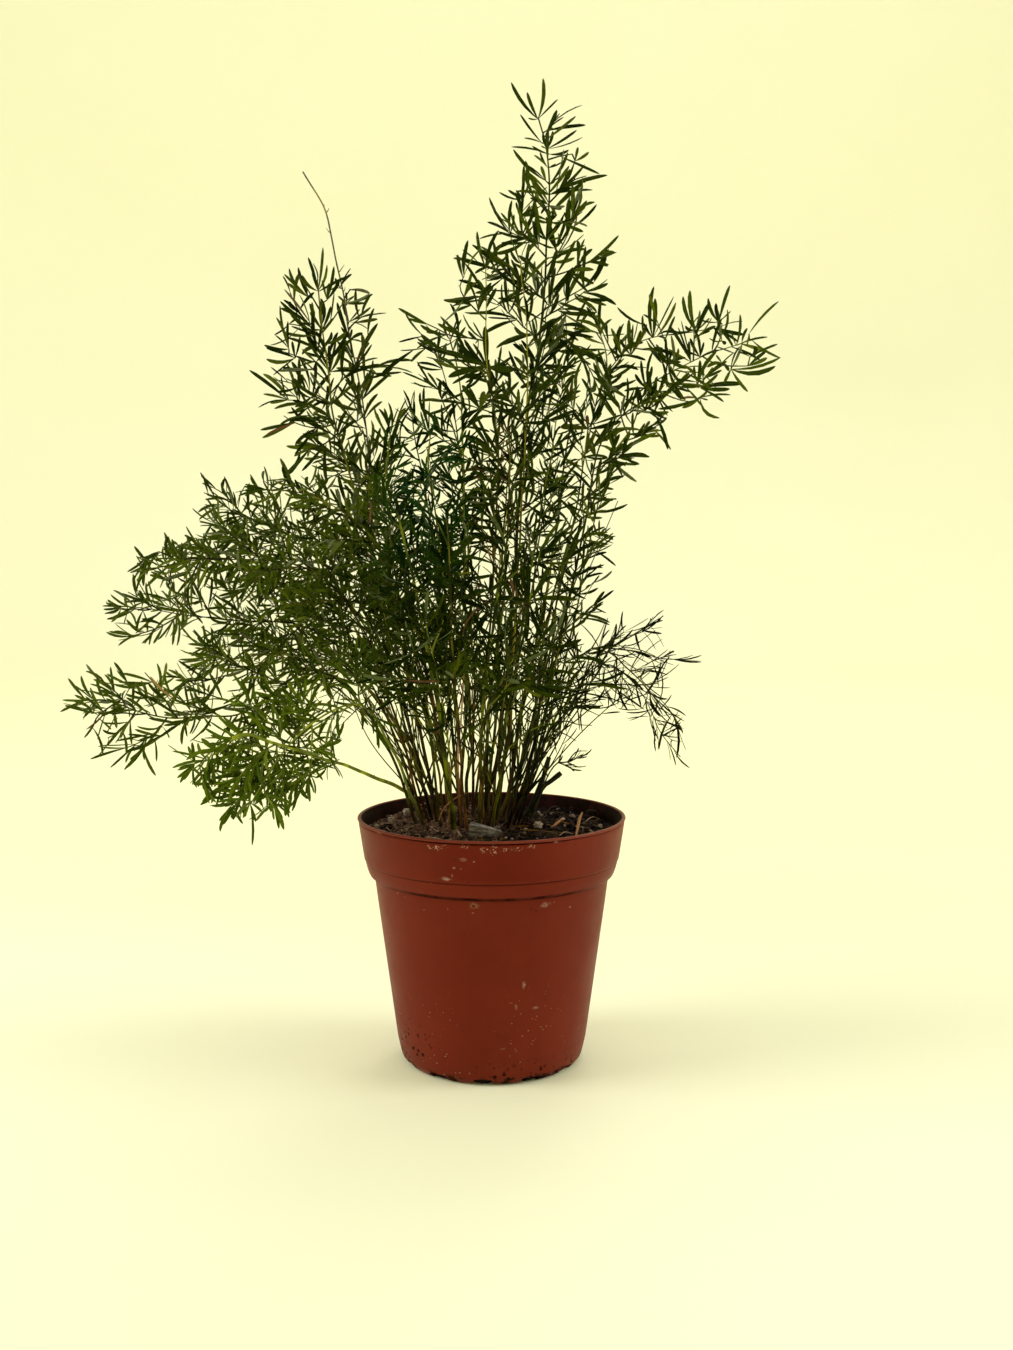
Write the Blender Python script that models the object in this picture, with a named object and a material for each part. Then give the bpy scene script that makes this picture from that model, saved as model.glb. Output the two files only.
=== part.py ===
"""Potted sprengeri asparagus fern: a clump of arching stems in a round plastic nursery pot.

Units are metres, +Z is up, the origin is the middle of the pot's underside, +X is to the right and +Y is away
from the viewer.  The stems were traced as sight lines from one eye point and then given a depth, so the crown
keeps its outline from the front and is filled out to all sides.
"""

import math
import random

import bmesh
import bpy
import numpy as np
from mathutils import Vector

for old in list(bpy.data.objects):
    bpy.data.objects.remove(old, do_unlink=True)

# ---------------------------------------------------------------- driving dimensions (metres)
RIM_RADIUS = 0.0540               # a 4-inch pot, measured over the lip
POT_HEIGHT = 0.0997
FLOOR = 0.0017                    # floor thickness
WALL = 0.0014                     # wall thickness
GAP = 0.00035                     # clearance between touching pieces
SLOT_WIDTH, SLOT_HEIGHT, SLOTS = 0.0076, 0.0027, 12
POT_SEGMENTS = 40
TWIGS_PER_STEM = 7                # side branches kept as solid, longest first
TWIG_RADIUS = 0.00050

# ---------------------------------------------------------------- how the crown is traced
EYE = (0.0060, -0.60, 0.2136)     # where the traced outlines are seen from
TILT, FOCAL = 0.0952, 1505.0
SOIL = 0.0945                     # height of the soil surface at its middle
UP = np.array([0.0, 0.0, 1.0])


def spot(u, v, d):
    a, b = (u - 506.5) / FOCAL, (675.0 - v) / FOCAL
    c, s = math.cos(TILT), math.sin(TILT)
    t = (d - EYE[1]) / (c + b * s)
    return np.array([EYE[0] + a * t, d, EYE[2] + (b * c - s) * t])


def seen(p):
    p = np.atleast_2d(p)
    c, s = math.cos(TILT), math.sin(TILT)
    x, y, z = p[:, 0] - EYE[0], p[:, 1] - EYE[1], p[:, 2] - EYE[2]
    deep = y * c - z * s
    return np.c_[506.5 + FOCAL * x / deep, 675.0 - FOCAL * (y * s + z * c) / deep]


def unit(v):
    return v / max(1e-12, math.sqrt(float(v @ v)))


def smooth_path(points, step):
    """Even points along a Catmull-Rom curve through the given ones."""
    p = [np.asarray(q, float) for q in points]
    p = [2 * p[0] - p[1]] + p + [2 * p[-1] - p[-2]]
    out = []
    for a, b, c, d in zip(p, p[1:], p[2:], p[3:]):
        for t in np.arange(0, 1, 0.05):
            out.append(0.5 * (2 * b + (c - a) * t + (2 * a - 5 * b + 4 * c - d) * t * t + (3 * b - a - 3 * c + d) * t ** 3))
    out.append(p[-2])
    out = np.array(out)
    arc = np.r_[0, np.cumsum(np.linalg.norm(np.diff(out, axis=0), axis=1))]
    n = max(2, int(round(arc[-1] / step)))
    s = np.linspace(0, arc[-1], n + 1)
    return np.c_[[np.interp(s, arc, out[:, k]) for k in range(3)]].T


def inside(p):
    """Whether a point, seen from the eye, falls inside the crown outline."""
    u, v = seen(p)[0]
    cross = ((EDGE[:, 1] > v) != (EDGE[:, 3] > v)) & (u < (EDGE[:, 2] - EDGE[:, 0]) * (v - EDGE[:, 1]) / EDGE[:, 4] + EDGE[:, 0])
    return bool(cross.sum() % 2)


# outline of the whole crown, walked clockwise from the tip
CROWN = [
    (511, 80), (522, 92), (531, 92), (545, 77), (551, 98), (562, 97), (586, 102), (588, 128), (570, 148), (591, 148),
    (594, 160), (611, 170), (610, 182), (594, 190), (596, 205), (592, 222), (584, 236), (596, 252), (619, 235), (617, 252),
    (607, 275), (614, 300), (603, 312), (604, 325), (615, 303), (640, 322), (651, 285), (659, 300), (679, 295), (678, 318),
    (684, 294), (693, 288), (702, 318), (707, 296), (731, 285), (736, 318), (743, 314), (748, 330), (779, 300), (770, 326),
    (780, 338), (780, 352), (783, 361), (762, 378), (740, 376), (751, 393), (736, 390), (708, 394), (721, 420), (700, 416),
    (688, 408), (664, 422), (671, 450), (658, 436), (634, 452), (650, 457), (640, 464), (628, 466), (637, 482), (622, 477),
    (612, 495), (628, 504), (610, 512), (610, 526), (616, 536), (612, 550), (616, 566), (614, 590), (604, 600), (606, 612),
    (618, 622), (623, 611), (628, 628), (664, 610), (664, 640), (674, 650), (702, 655), (702, 662), (668, 666), (677, 700),
    (686, 716), (684, 738), (690, 768), (676, 766), (656, 752), (654, 722), (640, 706), (632, 724), (612, 706), (594, 710),
    (572, 722), (594, 727), (570, 745), (592, 749), (592, 770), (562, 774), (552, 800), (545, 840), (405, 840), (404, 800),
    (388, 762), (362, 730), (356, 712), (346, 714), (342, 740), (336, 770), (318, 792), (310, 802), (300, 796), (284, 830),
    (274, 812), (262, 814), (255, 847), (247, 818), (220, 832), (228, 808), (200, 805), (212, 790), (192, 785), (177, 778),
    (182, 745), (186, 760), (172, 768), (166, 752), (156, 776), (146, 762), (124, 770), (110, 768), (128, 748), (78, 768),
    (96, 748), (84, 738), (82, 722), (60, 712), (62, 700), (76, 692), (68, 678), (86, 664), (100, 678), (114, 662),
    (130, 678), (150, 664), (154, 646), (118, 646), (106, 632), (102, 606), (113, 590), (130, 598), (138, 588), (127, 572),
    (137, 562), (134, 546), (152, 556), (162, 552), (164, 532), (180, 543), (186, 526), (203, 538), (192, 508), (204, 502),
    (200, 472), (216, 494), (224, 476), (236, 494), (250, 474), (262, 486), (264, 466), (278, 484), (280, 458), (290, 478),
    (302, 474), (286, 446), (302, 440), (300, 430), (262, 438), (260, 430), (286, 424), (256, 406), (266, 398), (284, 398),
    (247, 368), (272, 372), (264, 356), (264, 344), (282, 344), (272, 330), (280, 318), (278, 298), (290, 300), (280, 284),
    (286, 260), (300, 272), (308, 256), (314, 264), (322, 244), (330, 268), (342, 262), (350, 272), (374, 292), (364, 304),
    (387, 311), (374, 328), (378, 322), (368, 356), (393, 368), (374, 378), (386, 396), (396, 396), (404, 388), (402, 372),
    (411, 366), (392, 340), (410, 346), (420, 332), (398, 308), (432, 322), (440, 316), (462, 318), (443, 300), (476, 296),
    (458, 280), (478, 276), (453, 258), (468, 240), (480, 252), (477, 231), (494, 238), (488, 197), (504, 214), (498, 192),
    (514, 190), (524, 180), (520, 166), (510, 146), (528, 154), (534, 146), (519, 116),
]

EDGE = np.array([(a, b, c, d, (d - b) or 1e-9) for (a, b), (c, d) in zip(CROWN, CROWN[1:] + CROWN[:1])], float)

# name, base within the clump (x, y mm), traced points (u, v, depth mm), foot radius mm, share of the stem
# that is bare at the foot, side-branch length mm, side-branch spacing mm, cladode length mm and width mm,
# cladodes at a node, tone
FRONDS = [
    ("a1", (2, 6), [(500, 740, 6), (513, 600, 8), (519, 500, 10), (523, 447, 9), (530, 393, 8), (536, 367, 6), (539, 340, 4), (544, 300, 2), (546, 250, 0), (549, 200, -2), (547, 150, -4), (538, 118, -4)], 0.95, 0.42, 30, 9, 17, 1.85, 2.5, 0),
    ("a2", (-18, -4), [(420, 730, 2), (395, 620, 6), (366, 530, 10), (346, 460, 8), (334, 420, 6), (329, 380, 4), (324, 340, 2), (319, 300, 0), (317, 280, 0)], 0.85, 0.40, 30, 8, 15.5, 1.8, 2.4, 0),
    ("a3", (-22, 10), [(408, 720, 18), (388, 600, 24), (372, 490, 26), (364, 409, 24), (356, 369, 22), (348, 326, 20), (343, 293, 18), (336, 259, 16), (331, 236, 15), (323, 205, 14), (303, 172, 14)], 0.8, 0.38, 26, 8, 14, 1.7, 2.4, 1),
    ("a4", (-2, 0), [(482, 740, -4), (492, 600, -8), (498, 470, -12), (496, 424, -14), (492, 393, -14), (487, 367, -16), (486, 326, -16), (486, 301, -16), (486, 268, -14)], 0.9, 0.40, 26, 12, 15, 1.75, 2.6, 0),
    ("a5", (6, -8), [(508, 740, -10), (516, 600, -14), (522, 500, -16), (527, 400, -18), (527, 330, -16), (522, 280, -16), (521, 262, -15)], 0.85, 0.40, 24, 12, 14.5, 1.6, 2.4, 0),
    ("r1", (10, 2), [(528, 740, 4), (548, 620, 8), (572, 530, 10), (595, 480, 8), (614, 452, 6), (632, 426, 4), (646, 390, 2), (669, 373, 0), (689, 363, -2), (709, 354, -4), (730, 347, -4), (752, 339, -6)], 0.95, 0.50, 24, 8.5, 15.5, 1.75, 2, 2),
    ("r3", (14, 8), [(534, 740, 14), (554, 620, 20), (574, 520, 24), (588, 440, 22), (602, 385, 18), (624, 352, 14), (652, 338, 12), (690, 332, 10), (718, 328, 10)], 0.85, 0.56, 22, 9.5, 15, 1.7, 2, 2),
    ("r4", (16, 0), [(543, 720, 0), (564, 620, -4), (582, 540, -8), (592, 480, -10), (602, 440, -12), (622, 416, -12), (640, 404, -12)], 0.8, 0.40, 20, 10, 13, 1.4, 2, 0),
    ("r5", (18, -6), [(548, 720, -10), (570, 640, -16), (584, 570, -20), (592, 530, -22), (599, 500, -22)], 0.8, 0.34, 20, 9.5, 12, 1.3, 2.2, 0),
    ("r6", (14, 14), [(536, 720, 32), (558, 640, 54), (576, 580, 70), (590, 550, 82), (600, 538, 88)], 0.8, 0.34, 20, 10, 12, 1.3, 2.2, 0),
    ("r7", (15, -13), [(530, 730, -30), (545, 660, -50), (557, 600, -70), (568, 560, -84)], 0.85, 0.36, 24, 10, 14, 1.6, 1.8, 0),
    ("l1", (-20, 0), [(405, 720, 4), (378, 640, 8), (345, 580, 10), (305, 540, 10), (254, 520, 8), (228, 508, 6), (208, 494, 4)], 0.9, 0.40, 34, 6.0, 12.5, 1.32, 3.3, 0),
    ("l2", (-24, -6), [(396, 720, -10), (368, 640, -16), (336, 590, -20), (298, 565, -22), (250, 560, -22), (200, 560, -20), (165, 566, -18), (142, 570, -16)], 0.9, 0.40, 34, 5.5, 12, 1.32, 3.3, 1),
    ("l3", (-26, 4), [(390, 725, 2), (364, 672, 4), (330, 640, 4), (295, 624, 2), (244, 621, 0), (193, 616, -2), (157, 610, -4), (120, 606, -6)], 0.9, 0.40, 34, 5.5, 12, 1.32, 3.3, 1),
    ("l4", (-28, -6), [(385, 740, -12), (348, 690, -24), (318, 672, -30), (280, 690, -34), (239, 714, -38), (203, 716, -40), (172, 718, -40), (140, 712, -40), (104, 700, -40), (74, 706, -40)], 0.9, 0.42, 30, 5.5, 12.5, 1.35, 3.1, 0),
    ("l5", (-24, 1), [(410, 796, 6), (400, 789, 0), (380, 779, -12), (360, 771, -24), (345, 765, -33), (330, 761, -42), (312, 755, -51), (290, 748, -61), (268, 741, -70), (248, 734, -76), (232, 738, -80)], 1, 0.46, 20, 5, 12, 1.55, 4.2, 3),
    ("l6", (-24, -10), [(390, 745, -20), (370, 712, -34), (356, 704, -42), (336, 709, -50), (314, 722, -56), (296, 738, -62), (280, 756, -66), (266, 778, -70), (252, 802, -74)], 0.85, 0.52, 18, 5.5, 12, 1.55, 4.2, 3),
    ("l7", (-18, 12), [(410, 730, 30), (384, 660, 50), (346, 600, 64), (306, 565, 74), (262, 548, 80), (224, 540, 84)], 0.9, 0.40, 36, 6.5, 12, 1.3, 3.3, 0),
    ("l8", (-20, 16), [(402, 735, 32), (370, 690, 54), (334, 664, 70), (295, 655, 84), (250, 655, 94), (212, 668, 100)], 0.9, 0.38, 32, 6.0, 12, 1.3, 3.2, 0),
    ("l9", (-14, -8), [(425, 700, -16), (398, 600, -28), (366, 535, -36), (330, 504, -42), (296, 492, -46), (268, 490, -48)], 0.85, 0.40, 32, 7.0, 12, 1.3, 3.3, 0),
    ("l10", (-12, 8), [(432, 700, 14), (410, 600, 24), (385, 520, 32), (358, 475, 38), (334, 458, 42), (312, 448, 44)], 0.85, 0.46, 26, 10, 13, 1.35, 2.8, 0),
    ("l11", (-22, -2), [(398, 735, -4), (368, 690, -10), (335, 660, -14), (295, 650, -18), (250, 668, -20), (210, 680, -22), (175, 690, -22)], 0.85, 0.42, 26, 7.0, 12, 1.3, 2.9, 0),
    ("c1", (-10, -16), [(440, 720, -34), (425, 640, -60), (410, 565, -82), (396, 510, -96)], 0.9, 0.34, 30, 9.5, 14, 1.6, 2.4, 0),
    ("c2", (-4, -20), [(458, 720, -40), (452, 640, -70), (450, 570, -92), (446, 515, -104)], 0.9, 0.34, 30, 9.5, 15, 1.8, 2.4, 0),
    ("c3", (2, -19), [(482, 720, -42), (490, 650, -70), (500, 585, -94), (506, 545, -106)], 0.9, 0.34, 28, 9.5, 15, 1.8, 2.2, 0),
    ("c4", (8, -18), [(506, 720, -36), (521, 650, -62), (532, 590, -84), (540, 552, -96)], 0.85, 0.36, 26, 10, 15, 1.7, 1.6, 2),
    ("c5", (-16, -12), [(426, 720, -22), (405, 630, -36), (391, 545, -46), (386, 480, -52), (390, 435, -54)], 0.9, 0.38, 30, 9.5, 13, 1.4, 2.3, 0),
    ("c6", (-7, -6), [(455, 700, -10), (445, 600, -16), (436, 520, -20), (428, 465, -22), (430, 435, -22)], 0.9, 0.36, 30, 8.5, 13, 1.4, 2.3, 0),
    ("c7", (-8, 11), [(450, 700, 22), (440, 600, 36), (427, 500, 46), (417, 450, 52), (412, 415, 54)], 0.85, 0.38, 28, 9.5, 13, 1.4, 2.3, 0),
    ("c8", (-2, 13), [(474, 700, 26), (470, 600, 44), (465, 500, 56), (455, 420, 62), (440, 362, 64), (424, 336, 64)], 0.9, 0.44, 26, 13, 14, 1.35, 1.9, 0),
    ("c9", (-8, 2), [(466, 700, -2), (465, 600, -2), (464, 500, -2), (462, 420, -2), (458, 370, -2), (450, 340, -2)], 0.85, 0.42, 26, 12, 14, 1.35, 1.9, 0),
    ("c10", (5, 15), [(496, 700, 32), (500, 600, 54), (505, 510, 68), (510, 460, 78), (512, 420, 82)], 0.85, 0.40, 28, 11, 13, 1.3, 1.5, 0),
    ("c11", (10, 12), [(512, 700, 26), (530, 600, 46), (545, 500, 60), (555, 430, 68), (562, 390, 72), (568, 362, 74)], 0.85, 0.54, 24, 12, 14, 1.3, 1.3, 0),
    ("c12", (13, 4), [(524, 700, 8), (545, 600, 10), (559, 510, 10), (566, 450, 8), (574, 410, 6)], 0.85, 0.52, 24, 13, 14, 1.4, 1.4, 2),
    ("c13", (4, 1), [(490, 700, 0), (503, 600, -2), (508, 520, -4), (510, 465, -6), (508, 432, -6)], 0.85, 0.38, 28, 10, 13, 1.3, 1.9, 4),
    ("c14", (9, -6), [(512, 700, -12), (526, 600, -20), (538, 530, -26), (546, 480, -30), (554, 446, -32)], 0.85, 0.46, 26, 12, 13, 1.3, 1.4, 0),
    ("c15", (-5, 19), [(470, 720, 44), (465, 645, 70), (456, 580, 90), (448, 530, 104)], 0.85, 0.36, 30, 9.5, 13, 1.4, 2, 0),
    ("c16", (8, 19), [(500, 720, 42), (512, 645, 70), (520, 580, 92), (526, 530, 106)], 0.85, 0.36, 28, 10, 13, 1.3, 1.3, 0),
    ("c17", (-13, 17), [(436, 720, 36), (416, 655, 58), (394, 600, 78), (376, 560, 92)], 0.85, 0.36, 30, 8.5, 12.5, 1.35, 2.3, 0),
    ("c18", (14, 19), [(520, 720, 38), (538, 665, 60), (550, 615, 80), (560, 580, 94)], 0.8, 0.36, 24, 11, 12, 1.2, 1.3, 0),
    ("c19", (-9, -23), [(448, 738, -44), (440, 692, -64), (432, 652, -82), (426, 625, -94)], 0.8, 0.44, 24, 9.5, 17, 2, 2.8, 2),
    ("c20", (4, -25), [(480, 740, -46), (492, 702, -66), (506, 672, -84), (518, 652, -96)], 0.8, 0.44, 22, 9.5, 17, 2, 2.6, 2),
    ("d1", (20, -2), [(545, 740, -4), (568, 711, -6), (582, 684, -8), (594, 660, -8), (610, 652, -8), (623, 664, -8), (643, 684, -8), (654, 697, -8), (670, 711, -8), (677, 722, -8)], 0.7, 0.42, 14, 8.5, 10, 0.85, 2.6, 1),
    ("d2", (20, 7), [(548, 742, 12), (570, 705, 16), (586, 676, 18), (607, 664, 18), (627, 676, 18), (643, 696, 18), (654, 717, 18), (660, 731, 18), (670, 745, 18), (680, 757, 18)], 0.7, 0.42, 12, 9.5, 9, 0.8, 2.4, 1),
    ("d3", (18, 12), [(545, 740, 22), (563, 700, 30), (574, 665, 36), (592, 648, 38), (611, 648, 40), (631, 636, 42), (650, 624, 42)], 0.7, 0.38, 16, 8.5, 10, 0.85, 2.6, 1),
    ("d5", (23, 0), [(553, 768, 0), (566, 763, 0), (576, 758, 0)], 0.45, 0.45, 7, 7.0, 6, 0.7, 2.2, 1),
]
# fronds with short, close-set side branches
FINE = {"l1", "l2", "l3", "l4", "l5", "l6", "l7", "l8", "l11", "d1", "d2", "d3", "d5"}
CLUMP = (-6.4, 8.0, 0.87)         # middle of the clump on the soil, mm, and its spread

# side branches traced one by one: frond, then points from the stem outwards (u, v, depth mm relative to the stem)
TRACED = [
    ("a1", [(547, 244, 0), (532, 240, -3), (519, 236, -5), (510, 232, -6)]),
    ("a1", [(546, 272, 0), (556, 256, 3), (566, 238, 6), (571, 226, 8)]),
    ("a1", [(545, 283, 0), (566, 272, -4), (588, 262, -8), (600, 256, -9)]),
    ("a1", [(544, 300, 0), (522, 286, 6), (505, 276, 10), (492, 268, 12), (478, 262, 14)]),
    ("a1", [(549, 205, 0), (560, 192, 2), (574, 180, 4), (586, 176, 5)]),
    ("a1", [(549, 213, 0), (536, 200, -4), (526, 190, -6)]),
    ("a1", [(547, 232, 0), (560, 224, -4), (574, 218, -8), (582, 212, -10)]),
    ("a1", [(548, 160, 0), (560, 156, 2), (572, 154, 4)]),
    ("a1", [(541, 325, 0), (556, 330, -5), (573, 345, -9), (588, 366, -12), (598, 388, -14)]),
    ("a1", [(544, 305, 0), (562, 300, 6), (580, 290, 10), (594, 282, 12)]),
    ("a2", [(329, 385, 0), (316, 372, -4), (300, 358, -8), (284, 352, -10)]),
    ("a2", [(331, 400, 0), (314, 396, 4), (294, 384, 8), (276, 380, 10)]),
    ("a2", [(324, 345, 0), (310, 326, 3), (297, 308, 5), (290, 292, 6)]),
    ("a2", [(323, 335, 0), (334, 318, -4), (344, 302, -6), (354, 296, -7)]),
    ("a2", [(330, 392, 0), (346, 376, 4), (360, 366, 6), (374, 368, 7)]),
    ("a2", [(320, 308, 0), (308, 290, -3), (299, 276, -5)]),
    ("a2", [(334, 424, 0), (318, 428, -6), (298, 424, -10), (284, 416, -12)]),
    ("a2", [(338, 436, 0), (324, 444, 6), (308, 448, 10), (300, 448, 11)]),
    ("a3", [(356, 369, 0), (364, 352, 3), (368, 336, 5)]),
    ("a3", [(349, 330, 0), (360, 318, -3), (370, 314, -5)]),
    ("a3", [(344, 298, 0), (352, 288, 2), (360, 290, 3)]),
    ("a4", [(486, 300, 0), (474, 296, -5), (462, 300, -9)]),
    ("a4", [(487, 318, 0), (472, 306, 3), (460, 290, 6), (464, 276, 8)]),
    ("a4", [(487, 345, 0), (470, 338, 5), (452, 336, 8), (436, 328, 10), (418, 320, 12)]),
    ("a4", [(488, 372, 0), (468, 366, -6), (448, 352, -9), (430, 348, -11), (412, 350, -12)]),
    ("r1", [(669, 373, 0), (668, 352, 3), (662, 334, 5), (656, 318, 6)]),
    ("r1", [(689, 363, 0), (694, 346, -3), (694, 328, -5)]),
    ("r1", [(709, 354, 0), (720, 340, 3), (722, 324, 4)]),
    ("r1", [(660, 378, 0), (676, 386, -4), (694, 388, -6), (708, 384, -7), (722, 386, -8)]),
    ("r1", [(700, 358, 0), (716, 364, -4), (732, 366, -6), (748, 366, -7)]),
    ("r1", [(650, 385, 0), (664, 394, 4), (680, 400, 6), (692, 402, 7)]),
    ("r1", [(624, 438, 0), (640, 436, -4), (652, 428, -6)]),
    ("r1", [(610, 457, 0), (624, 458, 4), (634, 458, 5)]),
    ("r3", [(606, 380, 0), (616, 366, -4), (624, 352, -6), (626, 338, -7)]),
    ("r3", [(598, 396, 0), (606, 376, 4), (606, 352, 6), (600, 334, 8)]),
    ("l3", [(157, 610, 0), (142, 600, 3), (128, 592, 5)]),
    ("l3", [(176, 614, 0), (162, 626, -4), (146, 632, -7), (132, 636, -8)]),
    ("l2", [(176, 564, 0), (160, 552, -3), (148, 556, -5)]),
    ("l2", [(210, 560, 0), (196, 545, 3), (178, 545, 5)]),
    ("l1", [(240, 514, 0), (226, 496, -3), (214, 488, -5)]),
    ("l4", [(172, 718, 0), (156, 732, 3), (140, 742, 5), (126, 748, 6)]),
    ("l4", [(140, 712, 0), (124, 728, -3), (108, 738, -5)]),
    ("l4", [(130, 708, 0), (118, 694, 3), (104, 684, 4)]),
    ("l4", [(160, 716, 0), (150, 700, -3), (140, 688, -5), (128, 684, -6)]),
    ("l4", [(112, 702, 0), (98, 716, 3), (92, 728, 4)]),
    ("l5", [(258, 737, 0), (244, 748, 3), (226, 756, 6), (208, 760, 8), (195, 763, 9)]),
    ("l5", [(268, 741, 0), (262, 758, 4), (251, 776, 7), (242, 792, 9), (238, 803, 10)]),
    ("l5", [(280, 745, 0), (277, 764, 3), (273, 784, 5), (273, 801, 6)]),
    ("l5", [(294, 749, 0), (298, 764, 3), (297, 780, 5)]),
    ("l5", [(274, 743, 0), (262, 752, -5), (250, 764, -8), (240, 776, -9)]),
    ("l5", [(284, 747, 0), (285, 762, -5), (284, 778, -7), (286, 792, -7)]),
    ("l5", [(304, 752, 0), (310, 764, 4), (309, 775, 6)]),
    ("l5", [(248, 734, 0), (230, 741, 4), (213, 750, 7), (200, 764, 8), (203, 777, 8)]),
    ("l5", [(285, 747, 0), (276, 730, 4), (262, 716, 7), (250, 706, 8)]),
    ("l5", [(298, 750, 0), (298, 734, 5), (290, 718, 8), (280, 706, 9)]),
    ("l6", [(283, 752, 0), (264, 762, 4), (246, 771, 6), (230, 781, 6), (222, 786, 6)]),
    ("l6", [(272, 768, 0), (258, 785, 3), (246, 797, 4), (233, 804, 4)]),
    ("l6", [(262, 786, 0), (266, 797, -3), (272, 804, -4)]),
    ("l6", [(290, 744, 0), (304, 748, 4), (318, 748, 6)]),
    ("l6", [(300, 734, 0), (304, 720, 4), (302, 704, 6)]),
    ("a1", [(546, 252, 0), (534, 244, 2), (523, 234, 3), (522, 216, 3), (523, 200, 3)]),
    ("a2", [(323, 338, 0), (308, 328, -3), (289, 324, -5)]),
    ("a2", [(334, 420, 0), (322, 410, 3), (309, 405, 5), (297, 400, 6), (288, 400, 6)]),
    ("a3", [(358, 386, 0), (366, 378, 2), (373, 372, 3)]),
    ("r3", [(640, 343, 0), (644, 334, 2), (646, 325, 3)]),
    ("r3", [(648, 340, 0), (658, 352, -2), (668, 365, -3)]),
    ("d1", [(600, 655, 0), (614, 640, 4), (624, 632, 6)]),
    ("d3", [(611, 648, 0), (640, 652, 3), (658, 658, 5), (672, 659, 6)]),
]
SLEEVE = 0.0038                   # distance kept between the middles of two stems

# dead and cut sticks among the stems: foot on the soil (x, y m), points (u, v, depth mm)
DEAD = [
    ((-0.0125, -0.0040), [(458, 760, -17), (461, 720, -16), (464, 672, -15)]),
    ((-0.0178, -0.0030), [(451, 790, -5), (449, 762, -7)]),
    ((0.0130, 0.0180), [(536, 795, 18), (543, 778, 19), (549, 757, 20)]),
    ((0.0150, 0.0120), [(541, 790, 12), (551, 781, 13), (561, 773, 14)]),
]


def frames(path):
    """Tangent and two side directions at each point, carried along without twist."""
    t = np.gradient(path, axis=0)
    t /= np.linalg.norm(t, axis=1)[:, None]
    a = unit(np.cross(t[0], [0.31, 0.95, 0.02]))
    side = []
    for k in t:
        a = unit(a - k * (a @ k))
        side.append(a)
    side = np.array(side)
    return t, side, np.cross(t, side)


def bounds_ok(p):
    return p[2] > 0.004 and abs(p[0]) < 0.2 and abs(p[1]) < 0.125


def build_stems():
    """Main stems as traced, each moved in depth until it clears the ones before it."""
    done, out = [], []
    for name, (bx, by), pts, *_ in FRONDS:
        best = None
        for k in range(15):
            off = ((k + 1) // 2) * 0.0028 * (1 if k % 2 else -1)
            ctl = [np.array([(CLUMP[0] + bx * CLUMP[2]) / 1000, (CLUMP[1] + by * CLUMP[2]) / 1000, SOIL + 0.0004])]
            for u, v, d in pts:
                w = min(1.0, (790 - v) / 130) if v < 790 else 0.0
                ctl.append(spot(u, v, d / 1000 + off * max(0.35, w)))
            path = smooth_path(ctl, 0.004)
            room = 1.0
            for other in done:
                dd = np.linalg.norm(path[:, None] - other[None], axis=2)
                room = min(room, float(dd.min()))
            if best is None or room > best[0]:
                best = (room, path)
            if room > SLEEVE:
                break
        done.append(best[1])
        out.append(best[1])
    return out


def twig(start, heading, length, rnd, droop, lift):
    """A side branch that zigzags a little from node to node."""
    n = max(2, int(round(length / 0.0045)))
    p, d = [start], unit(heading)
    bend = unit(np.cross(d, [rnd.uniform(-1, 1), rnd.uniform(-1, 1), rnd.uniform(-1, 1)]))
    for k in range(n):
        zig = (1 if k % 2 else -1) * 0.10
        q = d + bend * zig + UP * (lift - droop * (k / n)) * 0.14
        d = unit(d + UP * (lift - droop * (k / n)) * 0.05)
        p.append(p[-1] + unit(q) * length / n)
    return np.array(p)


def grow():
    stems = build_stems()
    fronds = []
    for k, (row, path) in enumerate(zip(FRONDS, stems)):
        name, base, pts, r0, foot, blen, gap, clen, cwid, many, tone = row
        rnd = random.Random(100 + k * 7)
        t, s1, s2 = frames(path)
        arc = np.r_[0, np.cumsum(np.linalg.norm(np.diff(path, axis=0), axis=1))]
        total = arc[-1]
        bare_tip = 0.66 if name == "a3" else 1.0
        twigs, taken = [], []
        for who, tp in TRACED:
            if who != name:
                continue
            flat = seen(path)
            i = int(np.argmin(np.hypot(flat[:, 0] - tp[0][0], flat[:, 1] - tp[0][1])))
            base_d = path[i][1]
            ctl = [path[i]] + [spot(u, v, base_d + d / 1000) for u, v, d in tp[1:]]
            twigs.append(dict(at=i, path=smooth_path(ctl, 0.0045), traced=True))
            taken.append(arc[i])
        az = rnd.uniform(0, 6.28)
        s = foot * total
        while s < total * 0.95 * bare_tip:
            f = (s / total - foot) / (1 - foot)
            i = int(np.argmin(abs(arc - s)))
            near = min([abs(s - q) for q in taken] or [1])
            prof = min(1.0, 0.55 + f * 2.2) * (1 - f) ** (0.35 if name in FINE else 0.62) + 0.10
            length = blen / 1000 * prof * rnd.uniform(0.75, 1.12)
            ok = False
            lift = -0.7 if tone == 3 else 0.3 if name in FINE else 0.6
            for turn in range(9):
                ang = az + (turn + 1) // 2 * 0.7 * (1 if turn % 2 else -1)
                side = s1[i] * math.cos(ang) + s2[i] * math.sin(ang)
                open_ = math.radians(rnd.uniform(46, 68))
                head = t[i] * math.cos(open_) + side * math.sin(open_)
                tw = twig(path[i], head, length, rnd, 0.5, lift)
                if bounds_ok(tw[-1]) and inside(tw[-1]) and inside(tw[len(tw) // 2]):
                    ok = True
                    break
                if turn > 4:
                    length *= 0.75
            if ok and (near > 0.004 or length > 0.02):
                twigs.append(dict(at=i, path=tw, traced=False))
            az += 2.4 + rnd.uniform(-0.5, 0.5)
            s += gap / 1000 * rnd.uniform(0.75, 1.25)
        fronds.append(dict(name=name, row=row, path=path, arc=arc, t=t, s1=s1, s2=s2, twigs=twigs, tip=bare_tip))
    return fronds


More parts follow.
